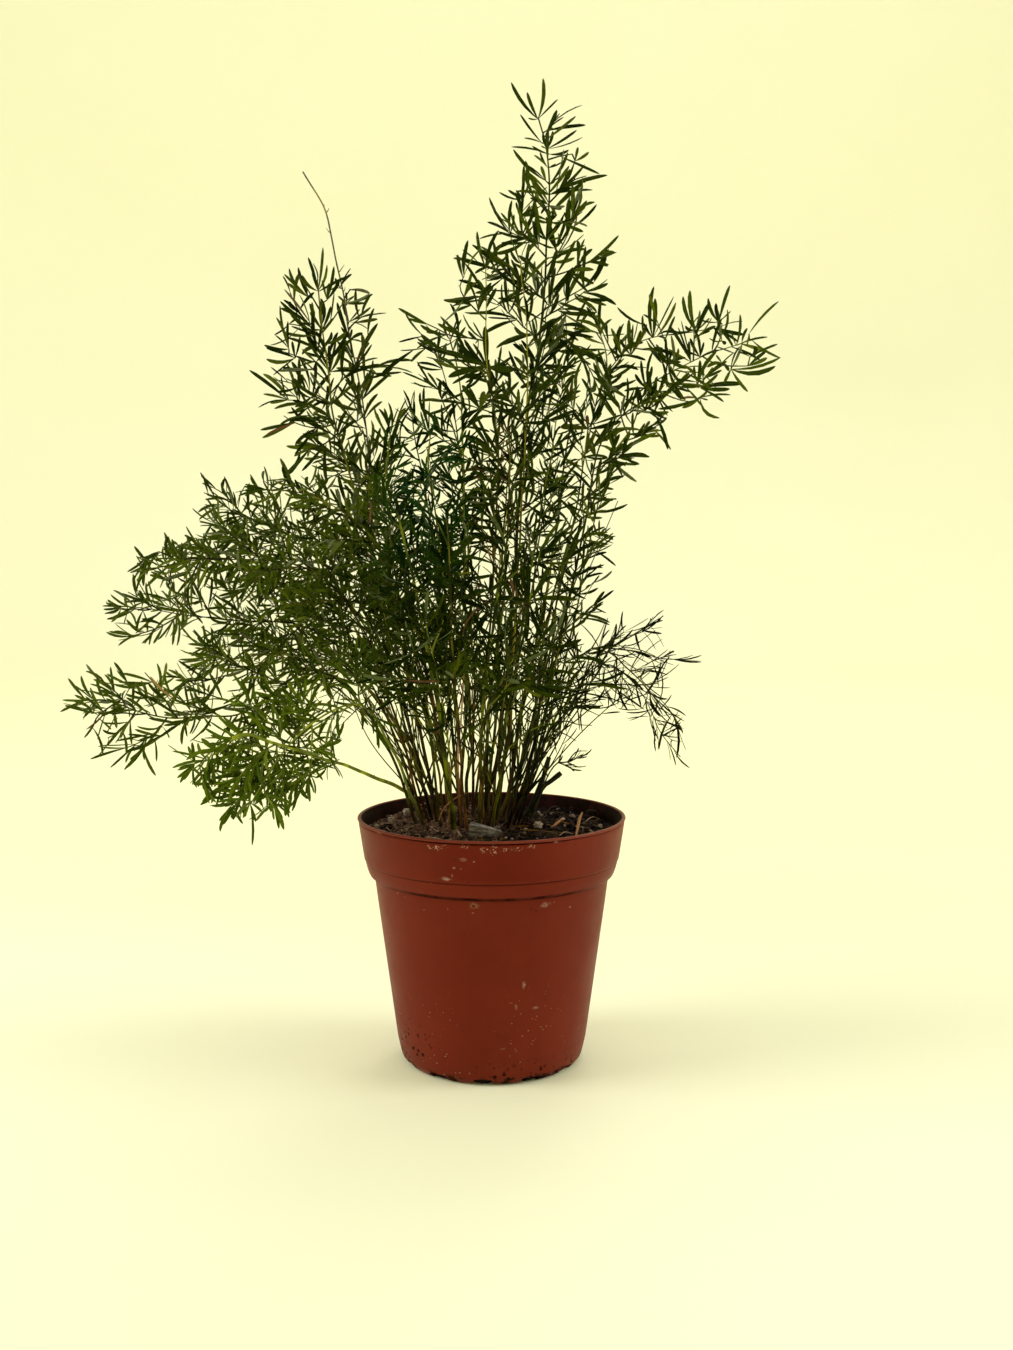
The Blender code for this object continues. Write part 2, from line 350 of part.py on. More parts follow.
# ---------------------------------------------------------------- materials
def material(name, colour, rough, metal=0.0):
    m = bpy.data.materials.new(name)
    m.use_nodes = True
    b = m.node_tree.nodes["Principled BSDF"]
    b.inputs["Base Color"].default_value = (*colour, 1.0)
    b.inputs["Roughness"].default_value = rough
    b.inputs["Metallic"].default_value = metal
    m.diffuse_color = (*colour, 1.0)
    return m


def solid(name, verts, faces, mat, smooth=True):
    """A closed mesh object with its faces turned outwards."""
    bm = bmesh.new()
    vs = [bm.verts.new(tuple(v)) for v in verts]
    for f in faces:
        bm.faces.new([vs[i] for i in f])
    bmesh.ops.recalc_face_normals(bm, faces=bm.faces)
    me = bpy.data.meshes.new(name)
    bm.to_mesh(me)
    bm.free()
    if smooth:
        me.shade_smooth()
        me.set_sharp_from_angle(angle=math.radians(38))
    ob = bpy.data.objects.new(name, me)
    me.materials.append(mat)
    bpy.context.scene.collection.objects.link(ob)
    return ob


def turned(profile, segments):
    """Vertices and faces of a profile that starts and ends on the Z axis, turned round it."""
    verts, faces, ring = [], [], []
    for r, z in profile:
        if r == 0:
            ring.append([len(verts)])
            verts.append((0, 0, z))
        else:
            ring.append(list(range(len(verts), len(verts) + segments)))
            verts += [(r * math.cos(2 * math.pi * k / segments), r * math.sin(2 * math.pi * k / segments), z)
                      for k in range(segments)]
    for a, b in zip(ring, ring[1:]):
        for k in range(segments):
            j = (k + 1) % segments
            if len(a) == 1:
                faces.append((a[0], b[k], b[j]))
            elif len(b) == 1:
                faces.append((a[k], b[0], a[j]))
            else:
                faces.append((a[k], b[k], b[j], a[j]))
    return verts, faces


# ---------------------------------------------------------------- pot
# outside of the wall from the foot to the lip, then back down the inside
OUTSIDE = [(0.0330, 0.0), (0.0352, 0.0007), (0.0367, 0.0027), (0.0375, 0.0058), (0.0384, 0.0100), (0.0460, 0.0660),
           (0.0472, 0.0759), (0.0478, 0.0765), (0.0489, 0.0768), (0.0496, 0.0775), (0.0502, 0.0792), (0.0510, 0.0824),
           (0.0514, 0.0831), (0.0535, 0.0966), (RIM_RADIUS, 0.0976), (RIM_RADIUS, 0.0990), (0.0534, POT_HEIGHT)]
INSIDE = [(0.0331, FLOOR), (0.0350, 0.0036), (0.0362, 0.0064), (0.0370, 0.0103), (0.0446, 0.0660), (0.0458, 0.0767),
          (0.0472, 0.0779), (0.0482, 0.0785), (0.0489, 0.0797), (0.0496, 0.0829), (0.0516, 0.0966), (0.0522, POT_HEIGHT)]

PLASTIC = material("terracotta_plastic", (0.30, 0.060, 0.035), 0.42)
verts, faces = turned([(0, 0)] + OUTSIDE + INSIDE[::-1] + [(0, FLOOR)], POT_SEGMENTS)
pot = solid("nursery_pot", verts, faces, PLASTIC)

# drainage slots through the corner between floor and wall
cv, cf = [], []
for k in range(SLOTS):
    ang = math.radians(-95 + 360 / SLOTS * k)
    out = Vector((math.cos(ang), math.sin(ang), 0))
    side = Vector((-out.y, out.x, 0))
    n = len(cv)
    for r in (0.0275, 0.0400):
        for s, z in ((-1, -0.001), (1, -0.001), (1, SLOT_HEIGHT - 0.0007), (0.72, SLOT_HEIGHT), (-0.72, SLOT_HEIGHT), (-1, SLOT_HEIGHT - 0.0007)):
            cv.append(out * r + side * (s * SLOT_WIDTH / 2) + Vector((0, 0, z)))
    cf += [tuple(n + i for i in range(6)), tuple(n + 6 + i for i in range(6))]
    cf += [(n + i, n + (i + 1) % 6, n + 6 + (i + 1) % 6, n + 6 + i) for i in range(6)]
cutter = solid("slot_cutter", cv, cf, PLASTIC, smooth=False)
cutter.hide_render = True
cutter.display_type = "WIRE"
cut = pot.modifiers.new("slots", "BOOLEAN")
cut.operation = "DIFFERENCE"
cut.solver = "EXACT"
cut.object = cutter

# ---------------------------------------------------------------- potting mix
def inner_radius(z):
    """Radius of the pot's inside at a height."""
    pts = [(b, a) for a, b in INSIDE]
    return float(np.interp(z, [p[0] for p in pts], [p[1] for p in pts]))


def ground(x, y):
    """Height of the soil: level in the clump, lightly heaped and dimpled round it."""
    d = math.hypot(x - CLUMP[0] / 1000, y - CLUMP[1] / 1000)
    away = min(1.0, max(0.0, (d - 0.029) / 0.010))
    wave = math.sin(x * 410 + 1.1) * math.cos(y * 370 + 0.4) + 0.6 * math.sin(x * 830 - y * 640)
    return SOIL + away * (0.00035 * wave - 0.0003)


SOIL_SEGMENTS = 36
top_rings = [0.012, 0.024, 0.034, 0.042, 0.0478]
verts, faces, ring = [], [], []
side = [(FLOOR + GAP, 0.0270)] + [(z, inner_radius(z) - GAP * 1.6) for z in (0.0036 + GAP, 0.0103, 0.0660, 0.0755)]
side += [(0.0770, 0.0448), (0.0783, 0.0466), (0.0787, 0.0476), (0.0829, inner_radius(0.0829) - GAP * 1.6)]
for z, r in side:
    ring.append(range(len(verts), len(verts) + SOIL_SEGMENTS))
    verts += [(r * math.cos(2 * math.pi * k / SOIL_SEGMENTS), r * math.sin(2 * math.pi * k / SOIL_SEGMENTS), z) for k in range(SOIL_SEGMENTS)]
for r in [inner_radius(SOIL - 0.001) - GAP * 1.6] + top_rings[::-1]:
    ring.append(range(len(verts), len(verts) + SOIL_SEGMENTS))
    for k in range(SOIL_SEGMENTS):
        a = 2 * math.pi * k / SOIL_SEGMENTS
        x, y = r * math.cos(a), r * math.sin(a)
        verts.append((x, y, ground(x, y) - (0.0006 if r > 0.049 else 0.0)))
low, high = len(verts), len(verts) + 1
verts += [(0, 0, FLOOR + GAP), (0, 0, ground(0, 0))]
for a, b in zip(ring, ring[1:]):
    faces += [(a[k], b[k], b[(k + 1) % SOIL_SEGMENTS], a[(k + 1) % SOIL_SEGMENTS]) for k in range(SOIL_SEGMENTS)]
faces += [(low, ring[0][k], ring[0][(k + 1) % SOIL_SEGMENTS]) for k in range(SOIL_SEGMENTS)]
faces += [(high, ring[-1][(k + 1) % SOIL_SEGMENTS], ring[-1][k]) for k in range(SOIL_SEGMENTS)]
solid("potting_mix", verts, faces, material("potting_mix", (0.018, 0.011, 0.007), 0.95))


# ---------------------------------------------------------------- loose pieces lying on the soil
def lump(name, place, size, turn, seed, mat, rough=0.16, squash=1.0):
    """An uneven stone or chip: a once-subdivided octahedron with its corners shifted."""
    rnd = random.Random(seed)
    bm = bmesh.new()
    bmesh.ops.create_icosphere(bm, subdivisions=1, radius=1.0)
    pts = []
    for v in bm.verts:
        v.co *= 1 + rnd.uniform(-rough, rough)
        c, s = math.cos(turn), math.sin(turn)
        x, y, z = v.co.x * size[0] / 2, v.co.y * size[1] / 2, v.co.z * size[2] / 2 * squash
        pts.append((x * c - y * s, x * s + y * c, z))
    tris = [tuple(v.index for v in f.verts) for f in bm.faces]
    bm.free()
    base = min(p[2] for p in pts)
    floor = max(ground(place[0] + p[0], place[1] + p[1]) for p in pts)
    pts = [(place[0] + x, place[1] + y, floor + GAP + z - base) for x, y, z in pts]
    return solid(name, pts, tris, mat, smooth=False)


def rod(name, points, radii, sides, mat, blunt=True):
    """A stick along points, with one radius a point and flat ends."""
    p = np.array(points, float)
    t, a, b = frames(p)
    verts, faces = [], []
    for i in range(len(p)):
        for k in range(sides):
            w = 2 * math.pi * k / sides
            verts.append(p[i] + (a[i] * math.cos(w) + b[i] * math.sin(w)) * radii[i])
    for i in range(len(p) - 1):
        for k in range(sides):
            j = (k + 1) % sides
            faces.append((i * sides + k, i * sides + j, (i + 1) * sides + j, (i + 1) * sides + k))
    faces += [tuple(range(sides)), tuple(range((len(p) - 1) * sides, len(p) * sides))]
    return solid(name, verts, faces, mat)


PUMICE = material("pumice", (0.36, 0.30, 0.25), 0.9)
WOOD = material("weathered_wood", (0.20, 0.18, 0.165), 0.85)
BARK = material("bark", (0.07, 0.035, 0.02), 0.9)
STRAW = material("dry_straw", (0.33, 0.15, 0.06), 0.8)
DRY = material("dead_stem", (0.30, 0.13, 0.055), 0.8)
STUB = material("cut_stub", (0.020, 0.017, 0.010), 0.8)

lump("wood_chip", (-0.0022, -0.0232), (0.0118, 0.0070, 0.0050), -0.25, 5, WOOD, rough=0.10)
lump("pumice_left", (-0.0356, 0.0235), (0.0046, 0.0042, 0.0036), 0.6, 11, PUMICE)
lump("pumice_front", (-0.0410, 0.0060), (0.0040, 0.0036, 0.0030), 1.9, 12, PUMICE)
lump("pumice_right", (0.0186, -0.0040), (0.0044, 0.0040, 0.0034), 2.6, 13, PUMICE)
lump("bark_left", (-0.0280, -0.0235), (0.0092, 0.0050, 0.0026), 0.5, 14, BARK, rough=0.12)
lump("bark_right", (0.0420, 0.0230), (0.0085, 0.0050, 0.0028), -0.7, 15, BARK, rough=0.12)

z = SOIL + 0.0015
rod("straw", [(0.0330, -0.0235, z - 0.0002), (0.0341, -0.0150, z + 0.0013), (0.0352, -0.0060, z + 0.0028), (0.0368, 0.0030, z + 0.0040)],
    [0.0004, 0.0006, 0.0006, 0.0004], 5, STRAW)


def leaning(name, base, seenat, r0, r1, mat):
    """A bare stick that stands on the soil and passes the given sight points."""
    ctl = [np.array([base[0], base[1], SOIL + 0.0004])] + [spot(u, v, d / 1000) for u, v, d in seenat]
    p = smooth_path(ctl, 0.018)
    return rod(name, p, [r0 + (r1 - r0) * i / (len(p) - 1) for i in range(len(p))], 5, mat)


leaning("dead_stem_1", DEAD[0][0], DEAD[0][1], 0.0007, 0.00045, DRY)
leaning("dead_stem_2", DEAD[1][0], DEAD[1][1], 0.0007, 0.0005, DRY)
leaning("cut_stub_1", DEAD[2][0], DEAD[2][1], 0.0010, 0.0009, STUB)
leaning("cut_stub_2", DEAD[3][0], DEAD[3][1], 0.0009, 0.0009, STUB)


# ---------------------------------------------------------------- fronds
def stem_radius(row, f):
    return max(0.00042, row[3] / 1000 * (1 - 0.62 * f))


class Crowd:
    """Remembers where stems already are, as spaced points with a radius."""

    def __init__(self):
        self.cells = {}

    def add(self, pts, radii, owner):
        for p, r in zip(pts, radii):
            self.cells.setdefault(tuple(int(math.floor(c / 0.003)) for c in p), []).append((p[0], p[1], p[2], r, owner))

    def clear(self, pts, r, skip):
        for p in pts:
            c = [int(math.floor(q / 0.003)) for q in p]
            for i in (-1, 0, 1):
                for j in (-1, 0, 1):
                    for k in (-1, 0, 1):
                        for x, y, z, rr, owner in self.cells.get((c[0] + i, c[1] + j, c[2] + k), ()):
                            if owner in skip:
                                continue
                            if (p[0] - x) ** 2 + (p[1] - y) ** 2 + (p[2] - z) ** 2 < (r + rr + 0.0006) ** 2:
                                return False
        return True


def spaced(pts, step=0.0008):
    """Points every step along a polyline."""
    pts = np.asarray(pts, float)
    arc = np.r_[0, np.cumsum(np.linalg.norm(np.diff(pts, axis=0), axis=1))]
    s = np.linspace(0, arc[-1], max(2, int(arc[-1] / step)))
    return np.c_[[np.interp(s, arc, pts[:, k]) for k in range(3)]].T


def solid_route(tw):
    """The few points a solid side branch runs through: foot, one or two knees, and the tip of its last cladode."""
    p = tw["path"]
    end = p[-1] + unit(p[-1] - p[-2]) * 0.006
    n = len(p) - 1
    knees = [p[n]] if n < 5 else [p[n // 2], p[n]]
    return [p[0]] + knees + [end]


fronds = grow()
crowd = Crowd()
for k, fr in enumerate(fronds):
    fine = spaced(fr["path"])
    crowd.add(fine, [stem_radius(fr["row"], i / len(fine)) for i in range(len(fine))], ("stem", k))
kept = [[] for _ in fronds]
order = sorted(((k, i) for k, fr in enumerate(fronds) for i in range(len(fr["twigs"]))),
               key=lambda q: (not fronds[q[0]]["twigs"][q[1]]["traced"], -len(fronds[q[0]]["twigs"][q[1]]["path"]), q))
for k, i in order:
    fr, tw = fronds[k], fronds[k]["twigs"][i]
    if len(kept[k]) >= TWIGS_PER_STEM + (3 if fr["name"] in ("a1", "a2", "r1") else 0):
        continue
    s = fr["arc"][tw["at"]]
    if s < 0.012 or s > fr["arc"][-1] - 0.006 or any(abs(s - q[0]) < 0.0042 for q in kept[k]):
        continue
    route = solid_route(tw)
    fine = spaced(route)
    own = [j for j, p in enumerate(fine) if np.linalg.norm(p - route[0]) > 0.0032]
    if crowd.clear(fine[own], TWIG_RADIUS, ()) and crowd.clear(fine, TWIG_RADIUS, (("stem", k),)):
        kept[k].append((s, route))
        crowd.add(fine, [TWIG_RADIUS] * len(fine), ("twig", k, i))


def frond_mesh(fr, branches):
    """One stem as a four-sided tapering tube; each side branch grows out of one of its faces."""
    path, arc, row = fr["path"], fr["arc"], fr["row"]
    t, a, b = frames(path)
    branches = sorted(branches, key=lambda q: q[0])
    stations = [(0.0, None)]
    for s, route in branches:
        stations += [(s - 0.0009, route), (s + 0.0009, None)]
    marks = [q[0] for q in stations] + [arc[-1] - 0.002]
    for s in np.arange(0.018, arc[-1] - 0.014, 0.018):
        if min(abs(s - m) for m in marks) > 0.006:
            stations.append((float(s), None))
    stations = sorted(stations, key=lambda q: q[0]) + [(arc[-1] - 0.0015, None)]
    at = lambda s, m: np.array([np.interp(s, arc, m[:, c]) for c in range(3)])
    verts, faces, rings = [], [], []
    for s, _ in stations:
        c, ta = at(s, path), unit(at(s, t)) if s > 0 else UP
        u = unit(at(s, a) - ta * (at(s, a) @ ta))
        v = np.cross(ta, u)
        r = stem_radius(row, s / arc[-1])
        rings.append((len(verts), c, ta, u, v))
        verts += [c + (u * math.cos(w) + v * math.sin(w)) * r for w in (math.pi / 4, 3 * math.pi / 4, 5 * math.pi / 4, 7 * math.pi / 4)]
    faces.append((0, 1, 2, 3))
    for (i0, c, ta, u, v), (j0, *_), (s, route) in zip(rings, rings[1:], stations):
        hole = None
        if route is not None:
            head = unit(route[1] - route[0])
            normals = [v, -u, -v, u]
            hole = max(range(4), key=lambda q: float(normals[q] @ head))
        for q in range(4):
            w = (q + 1) % 4
            quad = [i0 + q, i0 + w, j0 + w, j0 + q]
            if q != hole:
                faces.append(tuple(quad))
                continue
            last = quad
            for n in range(1, len(route) - 1):
                d = unit(unit(route[n] - route[n - 1]) + unit(route[n + 1] - route[n]))
                across = verts[quad[1]] - verts[quad[0]]
                e = unit(across - d * (across @ d))
                g = np.cross(d, e)
                if g @ ta < 0:
                    g = -g
                r = TWIG_RADIUS * (1.0 if n == 1 else 0.85)
                ring = list(range(len(verts), len(verts) + 4))
                verts += [route[n] - e * r - g * r, route[n] + e * r - g * r, route[n] + e * r + g * r, route[n] - e * r + g * r]
                faces += [(last[m], last[(m + 1) % 4], ring[(m + 1) % 4], ring[m]) for m in range(4)]
                last = ring
            tip = len(verts)
            verts.append(route[-1])
            faces += [(last[m], last[(m + 1) % 4], tip) for m in range(4)]
    tip = len(verts)
    end = path[-1] + unit(path[-1] - path[-2]) * (0.011 if fr["tip"] == 1.0 else 0.001)
    verts.append(end)
    i0 = rings[-1][0]
    faces += [(i0 + q, i0 + (q + 1) % 4, tip) for q in range(4)]
    tris = []
    for f in faces:
        tris += [f] if len(f) == 3 else [(f[0], f[1], f[2]), (f[0], f[2], f[3])]
    return verts, tris


TONES = [(0.045, 0.075, 0.016), (0.060, 0.080, 0.025), (0.065, 0.090, 0.018), (0.095, 0.140, 0.025), (0.080, 0.065, 0.022)]
greens = [material("foliage_%d" % i, c, 0.5) for i, c in enumerate(TONES)]
for k, fr in enumerate(fronds):
    verts, faces = frond_mesh(fr, kept[k])
    solid("frond_%02d" % (k + 1), verts, faces, greens[fr["row"][-1]])
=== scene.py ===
"""Finish of the potted sprengeri asparagus fern: every stem, side branch and cladode, the moulded pot, the
soil with its grit and fibres, the studio and the camera.

Units are metres, +Z is up, +X is to the right and +Y is away from the viewer, in the frame of the solids.
"""

import math
import random

import bmesh
import bpy
import numpy as np
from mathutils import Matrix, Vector, noise


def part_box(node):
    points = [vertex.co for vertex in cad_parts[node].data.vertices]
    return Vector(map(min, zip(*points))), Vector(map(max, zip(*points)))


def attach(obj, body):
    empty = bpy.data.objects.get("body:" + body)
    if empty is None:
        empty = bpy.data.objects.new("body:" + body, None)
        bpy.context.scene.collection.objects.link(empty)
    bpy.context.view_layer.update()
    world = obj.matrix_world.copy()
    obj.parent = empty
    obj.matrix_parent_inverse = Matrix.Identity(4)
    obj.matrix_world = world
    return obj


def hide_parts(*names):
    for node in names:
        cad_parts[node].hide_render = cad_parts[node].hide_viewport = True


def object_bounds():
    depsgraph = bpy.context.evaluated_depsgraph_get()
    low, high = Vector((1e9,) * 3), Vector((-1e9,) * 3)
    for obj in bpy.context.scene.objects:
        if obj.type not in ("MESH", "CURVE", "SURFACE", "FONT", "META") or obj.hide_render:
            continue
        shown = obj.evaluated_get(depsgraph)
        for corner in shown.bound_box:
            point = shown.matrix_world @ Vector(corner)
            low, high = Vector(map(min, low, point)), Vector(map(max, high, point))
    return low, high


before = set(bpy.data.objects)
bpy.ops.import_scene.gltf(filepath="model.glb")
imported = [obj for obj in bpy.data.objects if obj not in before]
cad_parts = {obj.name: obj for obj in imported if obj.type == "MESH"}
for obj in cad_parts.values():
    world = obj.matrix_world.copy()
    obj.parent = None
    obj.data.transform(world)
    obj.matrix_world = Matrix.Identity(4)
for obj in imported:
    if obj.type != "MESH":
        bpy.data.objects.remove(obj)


def plain(box):
    return [[float(c) for c in corner] for corner in box]


CAD_BOX = plain(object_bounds())

# ---------------------------------------------------------------- the plant's own growth, as in the solids
EYE = (0.0060, -0.60, 0.2136)     # where the traced outlines are seen from
TILT, FOCAL = 0.0952, 1505.0
SOIL = 0.0945                     # height of the soil surface at its middle
UP = np.array([0.0, 0.0, 1.0])


def spot(u, v, d):
    a, b = (u - 506.5) / FOCAL, (675.0 - v) / FOCAL
    c, s = math.cos(TILT), math.sin(TILT)
    t = (d - EYE[1]) / (c + b * s)
    return np.array([EYE[0] + a * t, d, EYE[2] + (b * c - s) * t])


def seen(p):
    p = np.atleast_2d(p)
    c, s = math.cos(TILT), math.sin(TILT)
    x, y, z = p[:, 0] - EYE[0], p[:, 1] - EYE[1], p[:, 2] - EYE[2]
    deep = y * c - z * s
    return np.c_[506.5 + FOCAL * x / deep, 675.0 - FOCAL * (y * s + z * c) / deep]


def unit(v):
    return v / max(1e-12, math.sqrt(float(v @ v)))


def smooth_path(points, step):
    """Even points along a Catmull-Rom curve through the given ones."""
    p = [np.asarray(q, float) for q in points]
    p = [2 * p[0] - p[1]] + p + [2 * p[-1] - p[-2]]
    out = []
    for a, b, c, d in zip(p, p[1:], p[2:], p[3:]):
        for t in np.arange(0, 1, 0.05):
            out.append(0.5 * (2 * b + (c - a) * t + (2 * a - 5 * b + 4 * c - d) * t * t + (3 * b - a - 3 * c + d) * t ** 3))
    out.append(p[-2])
    out = np.array(out)
    arc = np.r_[0, np.cumsum(np.linalg.norm(np.diff(out, axis=0), axis=1))]
    n = max(2, int(round(arc[-1] / step)))
    s = np.linspace(0, arc[-1], n + 1)
    return np.c_[[np.interp(s, arc, out[:, k]) for k in range(3)]].T


def inside(p):
    """Whether a point, seen from the eye, falls inside the crown outline."""
    u, v = seen(p)[0]
    cross = ((EDGE[:, 1] > v) != (EDGE[:, 3] > v)) & (u < (EDGE[:, 2] - EDGE[:, 0]) * (v - EDGE[:, 1]) / EDGE[:, 4] + EDGE[:, 0])
    return bool(cross.sum() % 2)


# outline of the whole crown, walked clockwise from the tip
CROWN = [
    (511, 80), (522, 92), (531, 92), (545, 77), (551, 98), (562, 97), (586, 102), (588, 128), (570, 148), (591, 148),
    (594, 160), (611, 170), (610, 182), (594, 190), (596, 205), (592, 222), (584, 236), (596, 252), (619, 235), (617, 252),
    (607, 275), (614, 300), (603, 312), (604, 325), (615, 303), (640, 322), (651, 285), (659, 300), (679, 295), (678, 318),
    (684, 294), (693, 288), (702, 318), (707, 296), (731, 285), (736, 318), (743, 314), (748, 330), (779, 300), (770, 326),
    (780, 338), (780, 352), (783, 361), (762, 378), (740, 376), (751, 393), (736, 390), (708, 394), (721, 420), (700, 416),
    (688, 408), (664, 422), (671, 450), (658, 436), (634, 452), (650, 457), (640, 464), (628, 466), (637, 482), (622, 477),
    (612, 495), (628, 504), (610, 512), (610, 526), (616, 536), (612, 550), (616, 566), (614, 590), (604, 600), (606, 612),
    (618, 622), (623, 611), (628, 628), (664, 610), (664, 640), (674, 650), (702, 655), (702, 662), (668, 666), (677, 700),
    (686, 716), (684, 738), (690, 768), (676, 766), (656, 752), (654, 722), (640, 706), (632, 724), (612, 706), (594, 710),
    (572, 722), (594, 727), (570, 745), (592, 749), (592, 770), (562, 774), (552, 800), (545, 840), (405, 840), (404, 800),
    (388, 762), (362, 730), (356, 712), (346, 714), (342, 740), (336, 770), (318, 792), (310, 802), (300, 796), (284, 830),
    (274, 812), (262, 814), (255, 847), (247, 818), (220, 832), (228, 808), (200, 805), (212, 790), (192, 785), (177, 778),
    (182, 745), (186, 760), (172, 768), (166, 752), (156, 776), (146, 762), (124, 770), (110, 768), (128, 748), (78, 768),
    (96, 748), (84, 738), (82, 722), (60, 712), (62, 700), (76, 692), (68, 678), (86, 664), (100, 678), (114, 662),
    (130, 678), (150, 664), (154, 646), (118, 646), (106, 632), (102, 606), (113, 590), (130, 598), (138, 588), (127, 572),
    (137, 562), (134, 546), (152, 556), (162, 552), (164, 532), (180, 543), (186, 526), (203, 538), (192, 508), (204, 502),
    (200, 472), (216, 494), (224, 476), (236, 494), (250, 474), (262, 486), (264, 466), (278, 484), (280, 458), (290, 478),
    (302, 474), (286, 446), (302, 440), (300, 430), (262, 438), (260, 430), (286, 424), (256, 406), (266, 398), (284, 398),
    (247, 368), (272, 372), (264, 356), (264, 344), (282, 344), (272, 330), (280, 318), (278, 298), (290, 300), (280, 284),
    (286, 260), (300, 272), (308, 256), (314, 264), (322, 244), (330, 268), (342, 262), (350, 272), (374, 292), (364, 304),
    (387, 311), (374, 328), (378, 322), (368, 356), (393, 368), (374, 378), (386, 396), (396, 396), (404, 388), (402, 372),
    (411, 366), (392, 340), (410, 346), (420, 332), (398, 308), (432, 322), (440, 316), (462, 318), (443, 300), (476, 296),
    (458, 280), (478, 276), (453, 258), (468, 240), (480, 252), (477, 231), (494, 238), (488, 197), (504, 214), (498, 192),
    (514, 190), (524, 180), (520, 166), (510, 146), (528, 154), (534, 146), (519, 116),
]

EDGE = np.array([(a, b, c, d, (d - b) or 1e-9) for (a, b), (c, d) in zip(CROWN, CROWN[1:] + CROWN[:1])], float)

